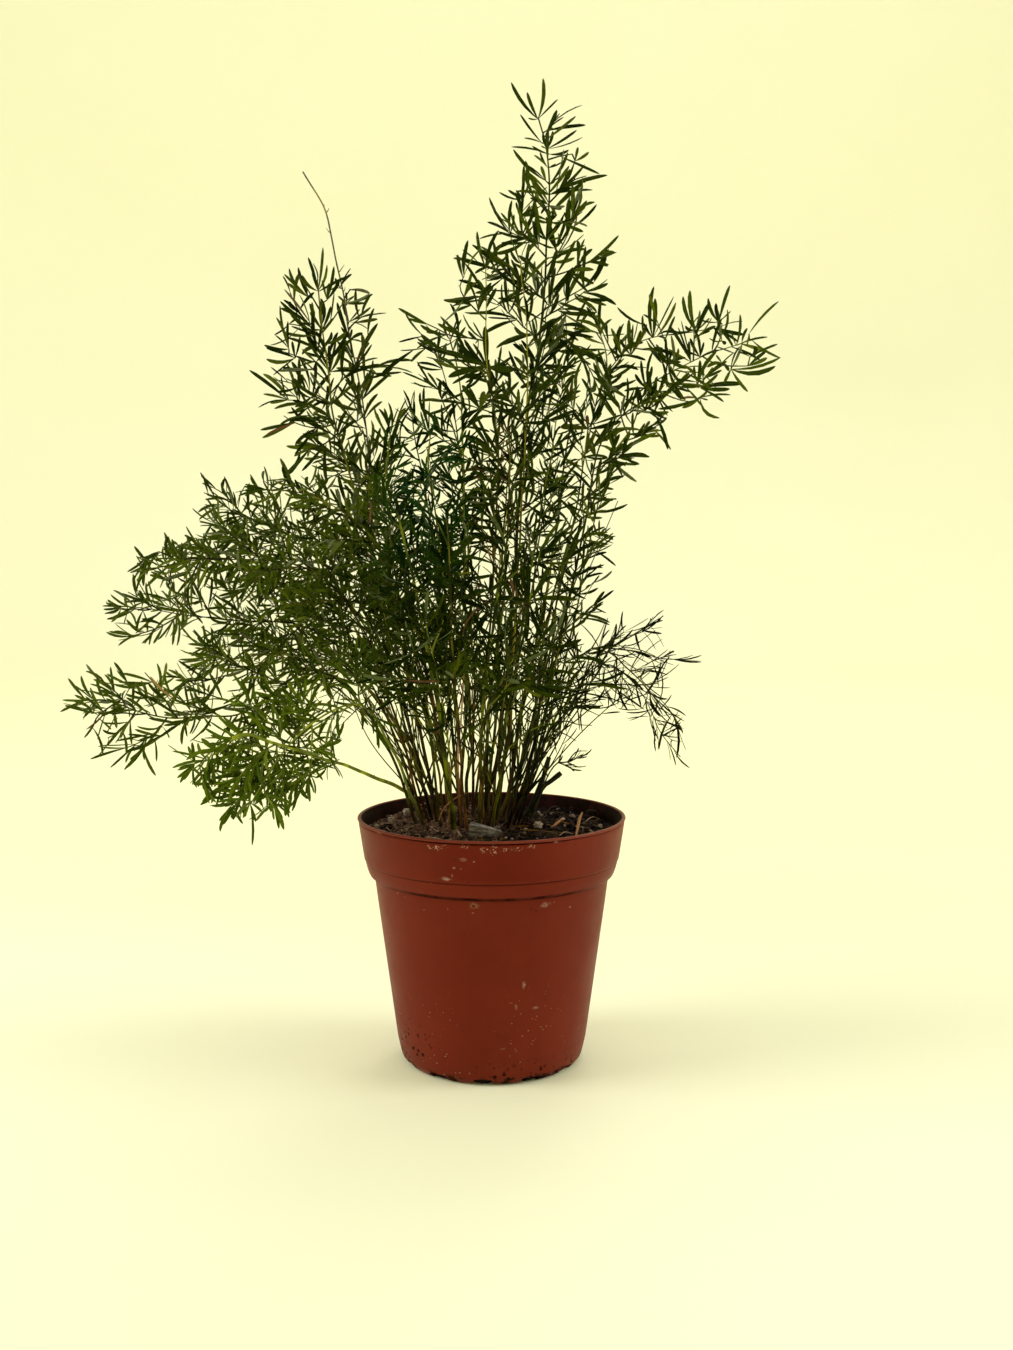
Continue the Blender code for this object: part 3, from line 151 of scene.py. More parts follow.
# name, base within the clump (x, y mm), traced points (u, v, depth mm), foot radius mm, share of the stem
# that is bare at the foot, side-branch length mm, side-branch spacing mm, cladode length mm and width mm,
# cladodes at a node, tone
FRONDS = [
    ("a1", (2, 6), [(500, 740, 6), (513, 600, 8), (519, 500, 10), (523, 447, 9), (530, 393, 8), (536, 367, 6), (539, 340, 4), (544, 300, 2), (546, 250, 0), (549, 200, -2), (547, 150, -4), (538, 118, -4)], 0.95, 0.42, 30, 9, 17, 1.85, 2.5, 0),
    ("a2", (-18, -4), [(420, 730, 2), (395, 620, 6), (366, 530, 10), (346, 460, 8), (334, 420, 6), (329, 380, 4), (324, 340, 2), (319, 300, 0), (317, 280, 0)], 0.85, 0.40, 30, 8, 15.5, 1.8, 2.4, 0),
    ("a3", (-22, 10), [(408, 720, 18), (388, 600, 24), (372, 490, 26), (364, 409, 24), (356, 369, 22), (348, 326, 20), (343, 293, 18), (336, 259, 16), (331, 236, 15), (323, 205, 14), (303, 172, 14)], 0.8, 0.38, 26, 8, 14, 1.7, 2.4, 1),
    ("a4", (-2, 0), [(482, 740, -4), (492, 600, -8), (498, 470, -12), (496, 424, -14), (492, 393, -14), (487, 367, -16), (486, 326, -16), (486, 301, -16), (486, 268, -14)], 0.9, 0.40, 26, 12, 15, 1.75, 2.6, 0),
    ("a5", (6, -8), [(508, 740, -10), (516, 600, -14), (522, 500, -16), (527, 400, -18), (527, 330, -16), (522, 280, -16), (521, 262, -15)], 0.85, 0.40, 24, 12, 14.5, 1.6, 2.4, 0),
    ("r1", (10, 2), [(528, 740, 4), (548, 620, 8), (572, 530, 10), (595, 480, 8), (614, 452, 6), (632, 426, 4), (646, 390, 2), (669, 373, 0), (689, 363, -2), (709, 354, -4), (730, 347, -4), (752, 339, -6)], 0.95, 0.50, 24, 8.5, 15.5, 1.75, 2, 2),
    ("r3", (14, 8), [(534, 740, 14), (554, 620, 20), (574, 520, 24), (588, 440, 22), (602, 385, 18), (624, 352, 14), (652, 338, 12), (690, 332, 10), (718, 328, 10)], 0.85, 0.56, 22, 9.5, 15, 1.7, 2, 2),
    ("r4", (16, 0), [(543, 720, 0), (564, 620, -4), (582, 540, -8), (592, 480, -10), (602, 440, -12), (622, 416, -12), (640, 404, -12)], 0.8, 0.40, 20, 10, 13, 1.4, 2, 0),
    ("r5", (18, -6), [(548, 720, -10), (570, 640, -16), (584, 570, -20), (592, 530, -22), (599, 500, -22)], 0.8, 0.34, 20, 9.5, 12, 1.3, 2.2, 0),
    ("r6", (14, 14), [(536, 720, 32), (558, 640, 54), (576, 580, 70), (590, 550, 82), (600, 538, 88)], 0.8, 0.34, 20, 10, 12, 1.3, 2.2, 0),
    ("r7", (15, -13), [(530, 730, -30), (545, 660, -50), (557, 600, -70), (568, 560, -84)], 0.85, 0.36, 24, 10, 14, 1.6, 1.8, 0),
    ("l1", (-20, 0), [(405, 720, 4), (378, 640, 8), (345, 580, 10), (305, 540, 10), (254, 520, 8), (228, 508, 6), (208, 494, 4)], 0.9, 0.40, 34, 6.0, 12.5, 1.32, 3.3, 0),
    ("l2", (-24, -6), [(396, 720, -10), (368, 640, -16), (336, 590, -20), (298, 565, -22), (250, 560, -22), (200, 560, -20), (165, 566, -18), (142, 570, -16)], 0.9, 0.40, 34, 5.5, 12, 1.32, 3.3, 1),
    ("l3", (-26, 4), [(390, 725, 2), (364, 672, 4), (330, 640, 4), (295, 624, 2), (244, 621, 0), (193, 616, -2), (157, 610, -4), (120, 606, -6)], 0.9, 0.40, 34, 5.5, 12, 1.32, 3.3, 1),
    ("l4", (-28, -6), [(385, 740, -12), (348, 690, -24), (318, 672, -30), (280, 690, -34), (239, 714, -38), (203, 716, -40), (172, 718, -40), (140, 712, -40), (104, 700, -40), (74, 706, -40)], 0.9, 0.42, 30, 5.5, 12.5, 1.35, 3.1, 0),
    ("l5", (-24, 1), [(410, 796, 6), (400, 789, 0), (380, 779, -12), (360, 771, -24), (345, 765, -33), (330, 761, -42), (312, 755, -51), (290, 748, -61), (268, 741, -70), (248, 734, -76), (232, 738, -80)], 1, 0.46, 20, 5, 12, 1.55, 4.2, 3),
    ("l6", (-24, -10), [(390, 745, -20), (370, 712, -34), (356, 704, -42), (336, 709, -50), (314, 722, -56), (296, 738, -62), (280, 756, -66), (266, 778, -70), (252, 802, -74)], 0.85, 0.52, 18, 5.5, 12, 1.55, 4.2, 3),
    ("l7", (-18, 12), [(410, 730, 30), (384, 660, 50), (346, 600, 64), (306, 565, 74), (262, 548, 80), (224, 540, 84)], 0.9, 0.40, 36, 6.5, 12, 1.3, 3.3, 0),
    ("l8", (-20, 16), [(402, 735, 32), (370, 690, 54), (334, 664, 70), (295, 655, 84), (250, 655, 94), (212, 668, 100)], 0.9, 0.38, 32, 6.0, 12, 1.3, 3.2, 0),
    ("l9", (-14, -8), [(425, 700, -16), (398, 600, -28), (366, 535, -36), (330, 504, -42), (296, 492, -46), (268, 490, -48)], 0.85, 0.40, 32, 7.0, 12, 1.3, 3.3, 0),
    ("l10", (-12, 8), [(432, 700, 14), (410, 600, 24), (385, 520, 32), (358, 475, 38), (334, 458, 42), (312, 448, 44)], 0.85, 0.46, 26, 10, 13, 1.35, 2.8, 0),
    ("l11", (-22, -2), [(398, 735, -4), (368, 690, -10), (335, 660, -14), (295, 650, -18), (250, 668, -20), (210, 680, -22), (175, 690, -22)], 0.85, 0.42, 26, 7.0, 12, 1.3, 2.9, 0),
    ("c1", (-10, -16), [(440, 720, -34), (425, 640, -60), (410, 565, -82), (396, 510, -96)], 0.9, 0.34, 30, 9.5, 14, 1.6, 2.4, 0),
    ("c2", (-4, -20), [(458, 720, -40), (452, 640, -70), (450, 570, -92), (446, 515, -104)], 0.9, 0.34, 30, 9.5, 15, 1.8, 2.4, 0),
    ("c3", (2, -19), [(482, 720, -42), (490, 650, -70), (500, 585, -94), (506, 545, -106)], 0.9, 0.34, 28, 9.5, 15, 1.8, 2.2, 0),
    ("c4", (8, -18), [(506, 720, -36), (521, 650, -62), (532, 590, -84), (540, 552, -96)], 0.85, 0.36, 26, 10, 15, 1.7, 1.6, 2),
    ("c5", (-16, -12), [(426, 720, -22), (405, 630, -36), (391, 545, -46), (386, 480, -52), (390, 435, -54)], 0.9, 0.38, 30, 9.5, 13, 1.4, 2.3, 0),
    ("c6", (-7, -6), [(455, 700, -10), (445, 600, -16), (436, 520, -20), (428, 465, -22), (430, 435, -22)], 0.9, 0.36, 30, 8.5, 13, 1.4, 2.3, 0),
    ("c7", (-8, 11), [(450, 700, 22), (440, 600, 36), (427, 500, 46), (417, 450, 52), (412, 415, 54)], 0.85, 0.38, 28, 9.5, 13, 1.4, 2.3, 0),
    ("c8", (-2, 13), [(474, 700, 26), (470, 600, 44), (465, 500, 56), (455, 420, 62), (440, 362, 64), (424, 336, 64)], 0.9, 0.44, 26, 13, 14, 1.35, 1.9, 0),
    ("c9", (-8, 2), [(466, 700, -2), (465, 600, -2), (464, 500, -2), (462, 420, -2), (458, 370, -2), (450, 340, -2)], 0.85, 0.42, 26, 12, 14, 1.35, 1.9, 0),
    ("c10", (5, 15), [(496, 700, 32), (500, 600, 54), (505, 510, 68), (510, 460, 78), (512, 420, 82)], 0.85, 0.40, 28, 11, 13, 1.3, 1.5, 0),
    ("c11", (10, 12), [(512, 700, 26), (530, 600, 46), (545, 500, 60), (555, 430, 68), (562, 390, 72), (568, 362, 74)], 0.85, 0.54, 24, 12, 14, 1.3, 1.3, 0),
    ("c12", (13, 4), [(524, 700, 8), (545, 600, 10), (559, 510, 10), (566, 450, 8), (574, 410, 6)], 0.85, 0.52, 24, 13, 14, 1.4, 1.4, 2),
    ("c13", (4, 1), [(490, 700, 0), (503, 600, -2), (508, 520, -4), (510, 465, -6), (508, 432, -6)], 0.85, 0.38, 28, 10, 13, 1.3, 1.9, 4),
    ("c14", (9, -6), [(512, 700, -12), (526, 600, -20), (538, 530, -26), (546, 480, -30), (554, 446, -32)], 0.85, 0.46, 26, 12, 13, 1.3, 1.4, 0),
    ("c15", (-5, 19), [(470, 720, 44), (465, 645, 70), (456, 580, 90), (448, 530, 104)], 0.85, 0.36, 30, 9.5, 13, 1.4, 2, 0),
    ("c16", (8, 19), [(500, 720, 42), (512, 645, 70), (520, 580, 92), (526, 530, 106)], 0.85, 0.36, 28, 10, 13, 1.3, 1.3, 0),
    ("c17", (-13, 17), [(436, 720, 36), (416, 655, 58), (394, 600, 78), (376, 560, 92)], 0.85, 0.36, 30, 8.5, 12.5, 1.35, 2.3, 0),
    ("c18", (14, 19), [(520, 720, 38), (538, 665, 60), (550, 615, 80), (560, 580, 94)], 0.8, 0.36, 24, 11, 12, 1.2, 1.3, 0),
    ("c19", (-9, -23), [(448, 738, -44), (440, 692, -64), (432, 652, -82), (426, 625, -94)], 0.8, 0.44, 24, 9.5, 17, 2, 2.8, 2),
    ("c20", (4, -25), [(480, 740, -46), (492, 702, -66), (506, 672, -84), (518, 652, -96)], 0.8, 0.44, 22, 9.5, 17, 2, 2.6, 2),
    ("d1", (20, -2), [(545, 740, -4), (568, 711, -6), (582, 684, -8), (594, 660, -8), (610, 652, -8), (623, 664, -8), (643, 684, -8), (654, 697, -8), (670, 711, -8), (677, 722, -8)], 0.7, 0.42, 14, 8.5, 10, 0.85, 2.6, 1),
    ("d2", (20, 7), [(548, 742, 12), (570, 705, 16), (586, 676, 18), (607, 664, 18), (627, 676, 18), (643, 696, 18), (654, 717, 18), (660, 731, 18), (670, 745, 18), (680, 757, 18)], 0.7, 0.42, 12, 9.5, 9, 0.8, 2.4, 1),
    ("d3", (18, 12), [(545, 740, 22), (563, 700, 30), (574, 665, 36), (592, 648, 38), (611, 648, 40), (631, 636, 42), (650, 624, 42)], 0.7, 0.38, 16, 8.5, 10, 0.85, 2.6, 1),
    ("d5", (23, 0), [(553, 768, 0), (566, 763, 0), (576, 758, 0)], 0.45, 0.45, 7, 7.0, 6, 0.7, 2.2, 1),
]
# fronds with short, close-set side branches
FINE = {"l1", "l2", "l3", "l4", "l5", "l6", "l7", "l8", "l11", "d1", "d2", "d3", "d5"}
CLUMP = (-6.4, 8.0, 0.87)         # middle of the clump on the soil, mm, and its spread

# side branches traced one by one: frond, then points from the stem outwards (u, v, depth mm relative to the stem)
TRACED = [
    ("a1", [(547, 244, 0), (532, 240, -3), (519, 236, -5), (510, 232, -6)]),
    ("a1", [(546, 272, 0), (556, 256, 3), (566, 238, 6), (571, 226, 8)]),
    ("a1", [(545, 283, 0), (566, 272, -4), (588, 262, -8), (600, 256, -9)]),
    ("a1", [(544, 300, 0), (522, 286, 6), (505, 276, 10), (492, 268, 12), (478, 262, 14)]),
    ("a1", [(549, 205, 0), (560, 192, 2), (574, 180, 4), (586, 176, 5)]),
    ("a1", [(549, 213, 0), (536, 200, -4), (526, 190, -6)]),
    ("a1", [(547, 232, 0), (560, 224, -4), (574, 218, -8), (582, 212, -10)]),
    ("a1", [(548, 160, 0), (560, 156, 2), (572, 154, 4)]),
    ("a1", [(541, 325, 0), (556, 330, -5), (573, 345, -9), (588, 366, -12), (598, 388, -14)]),
    ("a1", [(544, 305, 0), (562, 300, 6), (580, 290, 10), (594, 282, 12)]),
    ("a2", [(329, 385, 0), (316, 372, -4), (300, 358, -8), (284, 352, -10)]),
    ("a2", [(331, 400, 0), (314, 396, 4), (294, 384, 8), (276, 380, 10)]),
    ("a2", [(324, 345, 0), (310, 326, 3), (297, 308, 5), (290, 292, 6)]),
    ("a2", [(323, 335, 0), (334, 318, -4), (344, 302, -6), (354, 296, -7)]),
    ("a2", [(330, 392, 0), (346, 376, 4), (360, 366, 6), (374, 368, 7)]),
    ("a2", [(320, 308, 0), (308, 290, -3), (299, 276, -5)]),
    ("a2", [(334, 424, 0), (318, 428, -6), (298, 424, -10), (284, 416, -12)]),
    ("a2", [(338, 436, 0), (324, 444, 6), (308, 448, 10), (300, 448, 11)]),
    ("a3", [(356, 369, 0), (364, 352, 3), (368, 336, 5)]),
    ("a3", [(349, 330, 0), (360, 318, -3), (370, 314, -5)]),
    ("a3", [(344, 298, 0), (352, 288, 2), (360, 290, 3)]),
    ("a4", [(486, 300, 0), (474, 296, -5), (462, 300, -9)]),
    ("a4", [(487, 318, 0), (472, 306, 3), (460, 290, 6), (464, 276, 8)]),
    ("a4", [(487, 345, 0), (470, 338, 5), (452, 336, 8), (436, 328, 10), (418, 320, 12)]),
    ("a4", [(488, 372, 0), (468, 366, -6), (448, 352, -9), (430, 348, -11), (412, 350, -12)]),
    ("r1", [(669, 373, 0), (668, 352, 3), (662, 334, 5), (656, 318, 6)]),
    ("r1", [(689, 363, 0), (694, 346, -3), (694, 328, -5)]),
    ("r1", [(709, 354, 0), (720, 340, 3), (722, 324, 4)]),
    ("r1", [(660, 378, 0), (676, 386, -4), (694, 388, -6), (708, 384, -7), (722, 386, -8)]),
    ("r1", [(700, 358, 0), (716, 364, -4), (732, 366, -6), (748, 366, -7)]),
    ("r1", [(650, 385, 0), (664, 394, 4), (680, 400, 6), (692, 402, 7)]),
    ("r1", [(624, 438, 0), (640, 436, -4), (652, 428, -6)]),
    ("r1", [(610, 457, 0), (624, 458, 4), (634, 458, 5)]),
    ("r3", [(606, 380, 0), (616, 366, -4), (624, 352, -6), (626, 338, -7)]),
    ("r3", [(598, 396, 0), (606, 376, 4), (606, 352, 6), (600, 334, 8)]),
    ("l3", [(157, 610, 0), (142, 600, 3), (128, 592, 5)]),
    ("l3", [(176, 614, 0), (162, 626, -4), (146, 632, -7), (132, 636, -8)]),
    ("l2", [(176, 564, 0), (160, 552, -3), (148, 556, -5)]),
    ("l2", [(210, 560, 0), (196, 545, 3), (178, 545, 5)]),
    ("l1", [(240, 514, 0), (226, 496, -3), (214, 488, -5)]),
    ("l4", [(172, 718, 0), (156, 732, 3), (140, 742, 5), (126, 748, 6)]),
    ("l4", [(140, 712, 0), (124, 728, -3), (108, 738, -5)]),
    ("l4", [(130, 708, 0), (118, 694, 3), (104, 684, 4)]),
    ("l4", [(160, 716, 0), (150, 700, -3), (140, 688, -5), (128, 684, -6)]),
    ("l4", [(112, 702, 0), (98, 716, 3), (92, 728, 4)]),
    ("l5", [(258, 737, 0), (244, 748, 3), (226, 756, 6), (208, 760, 8), (195, 763, 9)]),
    ("l5", [(268, 741, 0), (262, 758, 4), (251, 776, 7), (242, 792, 9), (238, 803, 10)]),
    ("l5", [(280, 745, 0), (277, 764, 3), (273, 784, 5), (273, 801, 6)]),
    ("l5", [(294, 749, 0), (298, 764, 3), (297, 780, 5)]),
    ("l5", [(274, 743, 0), (262, 752, -5), (250, 764, -8), (240, 776, -9)]),
    ("l5", [(284, 747, 0), (285, 762, -5), (284, 778, -7), (286, 792, -7)]),
    ("l5", [(304, 752, 0), (310, 764, 4), (309, 775, 6)]),
    ("l5", [(248, 734, 0), (230, 741, 4), (213, 750, 7), (200, 764, 8), (203, 777, 8)]),
    ("l5", [(285, 747, 0), (276, 730, 4), (262, 716, 7), (250, 706, 8)]),
    ("l5", [(298, 750, 0), (298, 734, 5), (290, 718, 8), (280, 706, 9)]),
    ("l6", [(283, 752, 0), (264, 762, 4), (246, 771, 6), (230, 781, 6), (222, 786, 6)]),
    ("l6", [(272, 768, 0), (258, 785, 3), (246, 797, 4), (233, 804, 4)]),
    ("l6", [(262, 786, 0), (266, 797, -3), (272, 804, -4)]),
    ("l6", [(290, 744, 0), (304, 748, 4), (318, 748, 6)]),
    ("l6", [(300, 734, 0), (304, 720, 4), (302, 704, 6)]),
    ("a1", [(546, 252, 0), (534, 244, 2), (523, 234, 3), (522, 216, 3), (523, 200, 3)]),
    ("a2", [(323, 338, 0), (308, 328, -3), (289, 324, -5)]),
    ("a2", [(334, 420, 0), (322, 410, 3), (309, 405, 5), (297, 400, 6), (288, 400, 6)]),
    ("a3", [(358, 386, 0), (366, 378, 2), (373, 372, 3)]),
    ("r3", [(640, 343, 0), (644, 334, 2), (646, 325, 3)]),
    ("r3", [(648, 340, 0), (658, 352, -2), (668, 365, -3)]),
    ("d1", [(600, 655, 0), (614, 640, 4), (624, 632, 6)]),
    ("d3", [(611, 648, 0), (640, 652, 3), (658, 658, 5), (672, 659, 6)]),
]
SLEEVE = 0.0038                   # distance kept between the middles of two stems

# dead and cut sticks among the stems: foot on the soil (x, y m), points (u, v, depth mm)
DEAD = [
    ((-0.0125, -0.0040), [(458, 760, -17), (461, 720, -16), (464, 672, -15)]),
    ((-0.0178, -0.0030), [(451, 790, -5), (449, 762, -7)]),
    ((0.0130, 0.0180), [(536, 795, 18), (543, 778, 19), (549, 757, 20)]),
    ((0.0150, 0.0120), [(541, 790, 12), (551, 781, 13), (561, 773, 14)]),
]


def frames(path):
    """Tangent and two side directions at each point, carried along without twist."""
    t = np.gradient(path, axis=0)
    t /= np.linalg.norm(t, axis=1)[:, None]
    a = unit(np.cross(t[0], [0.31, 0.95, 0.02]))
    side = []
    for k in t:
        a = unit(a - k * (a @ k))
        side.append(a)
    side = np.array(side)
    return t, side, np.cross(t, side)


def bounds_ok(p):
    return p[2] > 0.004 and abs(p[0]) < 0.2 and abs(p[1]) < 0.125


def build_stems():
    """Main stems as traced, each moved in depth until it clears the ones before it."""
    done, out = [], []
    for name, (bx, by), pts, *_ in FRONDS:
        best = None
        for k in range(15):
            off = ((k + 1) // 2) * 0.0028 * (1 if k % 2 else -1)
            ctl = [np.array([(CLUMP[0] + bx * CLUMP[2]) / 1000, (CLUMP[1] + by * CLUMP[2]) / 1000, SOIL + 0.0004])]
            for u, v, d in pts:
                w = min(1.0, (790 - v) / 130) if v < 790 else 0.0
                ctl.append(spot(u, v, d / 1000 + off * max(0.35, w)))
            path = smooth_path(ctl, 0.004)
            room = 1.0
            for other in done:
                dd = np.linalg.norm(path[:, None] - other[None], axis=2)
                room = min(room, float(dd.min()))
            if best is None or room > best[0]:
                best = (room, path)
            if room > SLEEVE:
                break
        done.append(best[1])
        out.append(best[1])
    return out


def twig(start, heading, length, rnd, droop, lift):
    """A side branch that zigzags a little from node to node."""
    n = max(2, int(round(length / 0.0045)))
    p, d = [start], unit(heading)
    bend = unit(np.cross(d, [rnd.uniform(-1, 1), rnd.uniform(-1, 1), rnd.uniform(-1, 1)]))
    for k in range(n):
        zig = (1 if k % 2 else -1) * 0.10
        q = d + bend * zig + UP * (lift - droop * (k / n)) * 0.14
        d = unit(d + UP * (lift - droop * (k / n)) * 0.05)
        p.append(p[-1] + unit(q) * length / n)
    return np.array(p)


def grow():
    stems = build_stems()
    fronds = []
    for k, (row, path) in enumerate(zip(FRONDS, stems)):
        name, base, pts, r0, foot, blen, gap, clen, cwid, many, tone = row
        rnd = random.Random(100 + k * 7)
        t, s1, s2 = frames(path)
        arc = np.r_[0, np.cumsum(np.linalg.norm(np.diff(path, axis=0), axis=1))]
        total = arc[-1]
        bare_tip = 0.66 if name == "a3" else 1.0
        twigs, taken = [], []
        for who, tp in TRACED:
            if who != name:
                continue
            flat = seen(path)
            i = int(np.argmin(np.hypot(flat[:, 0] - tp[0][0], flat[:, 1] - tp[0][1])))
            base_d = path[i][1]
            ctl = [path[i]] + [spot(u, v, base_d + d / 1000) for u, v, d in tp[1:]]
            twigs.append(dict(at=i, path=smooth_path(ctl, 0.0045), traced=True))
            taken.append(arc[i])
        az = rnd.uniform(0, 6.28)
        s = foot * total
        while s < total * 0.95 * bare_tip:
            f = (s / total - foot) / (1 - foot)
            i = int(np.argmin(abs(arc - s)))
            near = min([abs(s - q) for q in taken] or [1])
            prof = min(1.0, 0.55 + f * 2.2) * (1 - f) ** (0.35 if name in FINE else 0.62) + 0.10
            length = blen / 1000 * prof * rnd.uniform(0.75, 1.12)
            ok = False
            lift = -0.7 if tone == 3 else 0.3 if name in FINE else 0.6
            for turn in range(9):
                ang = az + (turn + 1) // 2 * 0.7 * (1 if turn % 2 else -1)
                side = s1[i] * math.cos(ang) + s2[i] * math.sin(ang)
                open_ = math.radians(rnd.uniform(46, 68))
                head = t[i] * math.cos(open_) + side * math.sin(open_)
                tw = twig(path[i], head, length, rnd, 0.5, lift)
                if bounds_ok(tw[-1]) and inside(tw[-1]) and inside(tw[len(tw) // 2]):
                    ok = True
                    break
                if turn > 4:
                    length *= 0.75
            if ok and (near > 0.004 or length > 0.02):
                twigs.append(dict(at=i, path=tw, traced=False))
            az += 2.4 + rnd.uniform(-0.5, 0.5)
            s += gap / 1000 * rnd.uniform(0.75, 1.25)
        fronds.append(dict(name=name, row=row, path=path, arc=arc, t=t, s1=s1, s2=s2, twigs=twigs, tip=bare_tip))
    return fronds


# ---------------------------------------------------------------- needles
# how much denser, longer and wider some fronds' needles are
MORE = {"a1": 1.3, "a4": 1.05, "a5": 1.05, "c8": 1.2, "c9": 1.2, "c3": 0.8, "c4": 0.7, "c13": 0.85, "c14": 0.8, "r7": 0.8, "c16": 0.8,
        "c18": 0.8, "l4": 0.9, "l11": 0.85, "l1": 1.20, "l2": 1.20, "l3": 1.20, "l7": 1.20, "l8": 1.20, "d1": 1.15,
        "d2": 1.15, "d3": 1.15, "l5": 1.70, "l6": 1.6, "l10": 1.15, "a2": 1.1, "a3": 1.1}
LONGER = {"d1": 1.9, "d2": 1.9, "d3": 1.9, "l1": 1.08, "l2": 1.08, "l3": 1.08, "l4": 1.08, "l7": 1.08, "l8": 1.08, "l5": 1.12, "l6": 1.12}
# fronds whose needles are partly threads and partly broad
UNEVEN = {"d1", "d2", "d3"}
WIDER = {"d1": 0.95, "d2": 0.95, "d3": 0.95, "l5": 0.90, "l6": 0.90, "a5": 0.9, "c5": 0.92, "c6": 0.92, "c7": 0.92, "r1": 0.94, "r4": 0.92, "a1": 1.02, "c1": 0.82, "c2": 0.82, "c3": 0.80, "c4": 0.85, "c19": 0.78, "c20": 0.78, "c8": 1.1, "c9": 1.1}
# sight boxes in which fewer of the drawn-at-random needles are kept: u, v, u, v, share kept
THIN = [(480, 70, 640, 200, 0.50), (480, 200, 640, 250, 0.65), (245, 240, 345, 370, 0.30), (345, 240, 385, 345, 0.35),
        (245, 370, 300, 412, 0.35), (600, 280, 790, 350, 0.35), (690, 350, 790, 425, 0.35), (395, 715, 560, 800, 0.12),
        (395, 695, 560, 715, 0.45), (480, 430, 610, 540, 0.74), (480, 540, 610, 660, 0.50), (170, 660, 240, 740, 0.78), (240, 660, 300, 700, 0.80), (300, 660, 345, 800, 0.66), (160, 740, 204, 810, 0.50), (190, 803, 330, 860, 0.45), (204, 778, 235, 803, 0.62), (285, 765, 330, 803, 0.60),
        (190, 740, 330, 830, 0.95), (400, 250, 480, 430, 0.88)]
# sight boxes whose tips are all among the needles traced below
PLACED = [(480, 70, 640, 232), (245, 240, 392, 380), (245, 365, 290, 415), (602, 282, 790, 425)]
# the crown may stand this little beyond the solids
LOW = np.array(CAD_BOX[0]) - 0.020 * (np.array(CAD_BOX[1]) - np.array(CAD_BOX[0]))
HIGH = np.array(CAD_BOX[1]) + 0.020 * (np.array(CAD_BOX[1]) - np.array(CAD_BOX[0]))


def within(p):
    return bool(np.all(p > LOW) and np.all(p < HIGH))


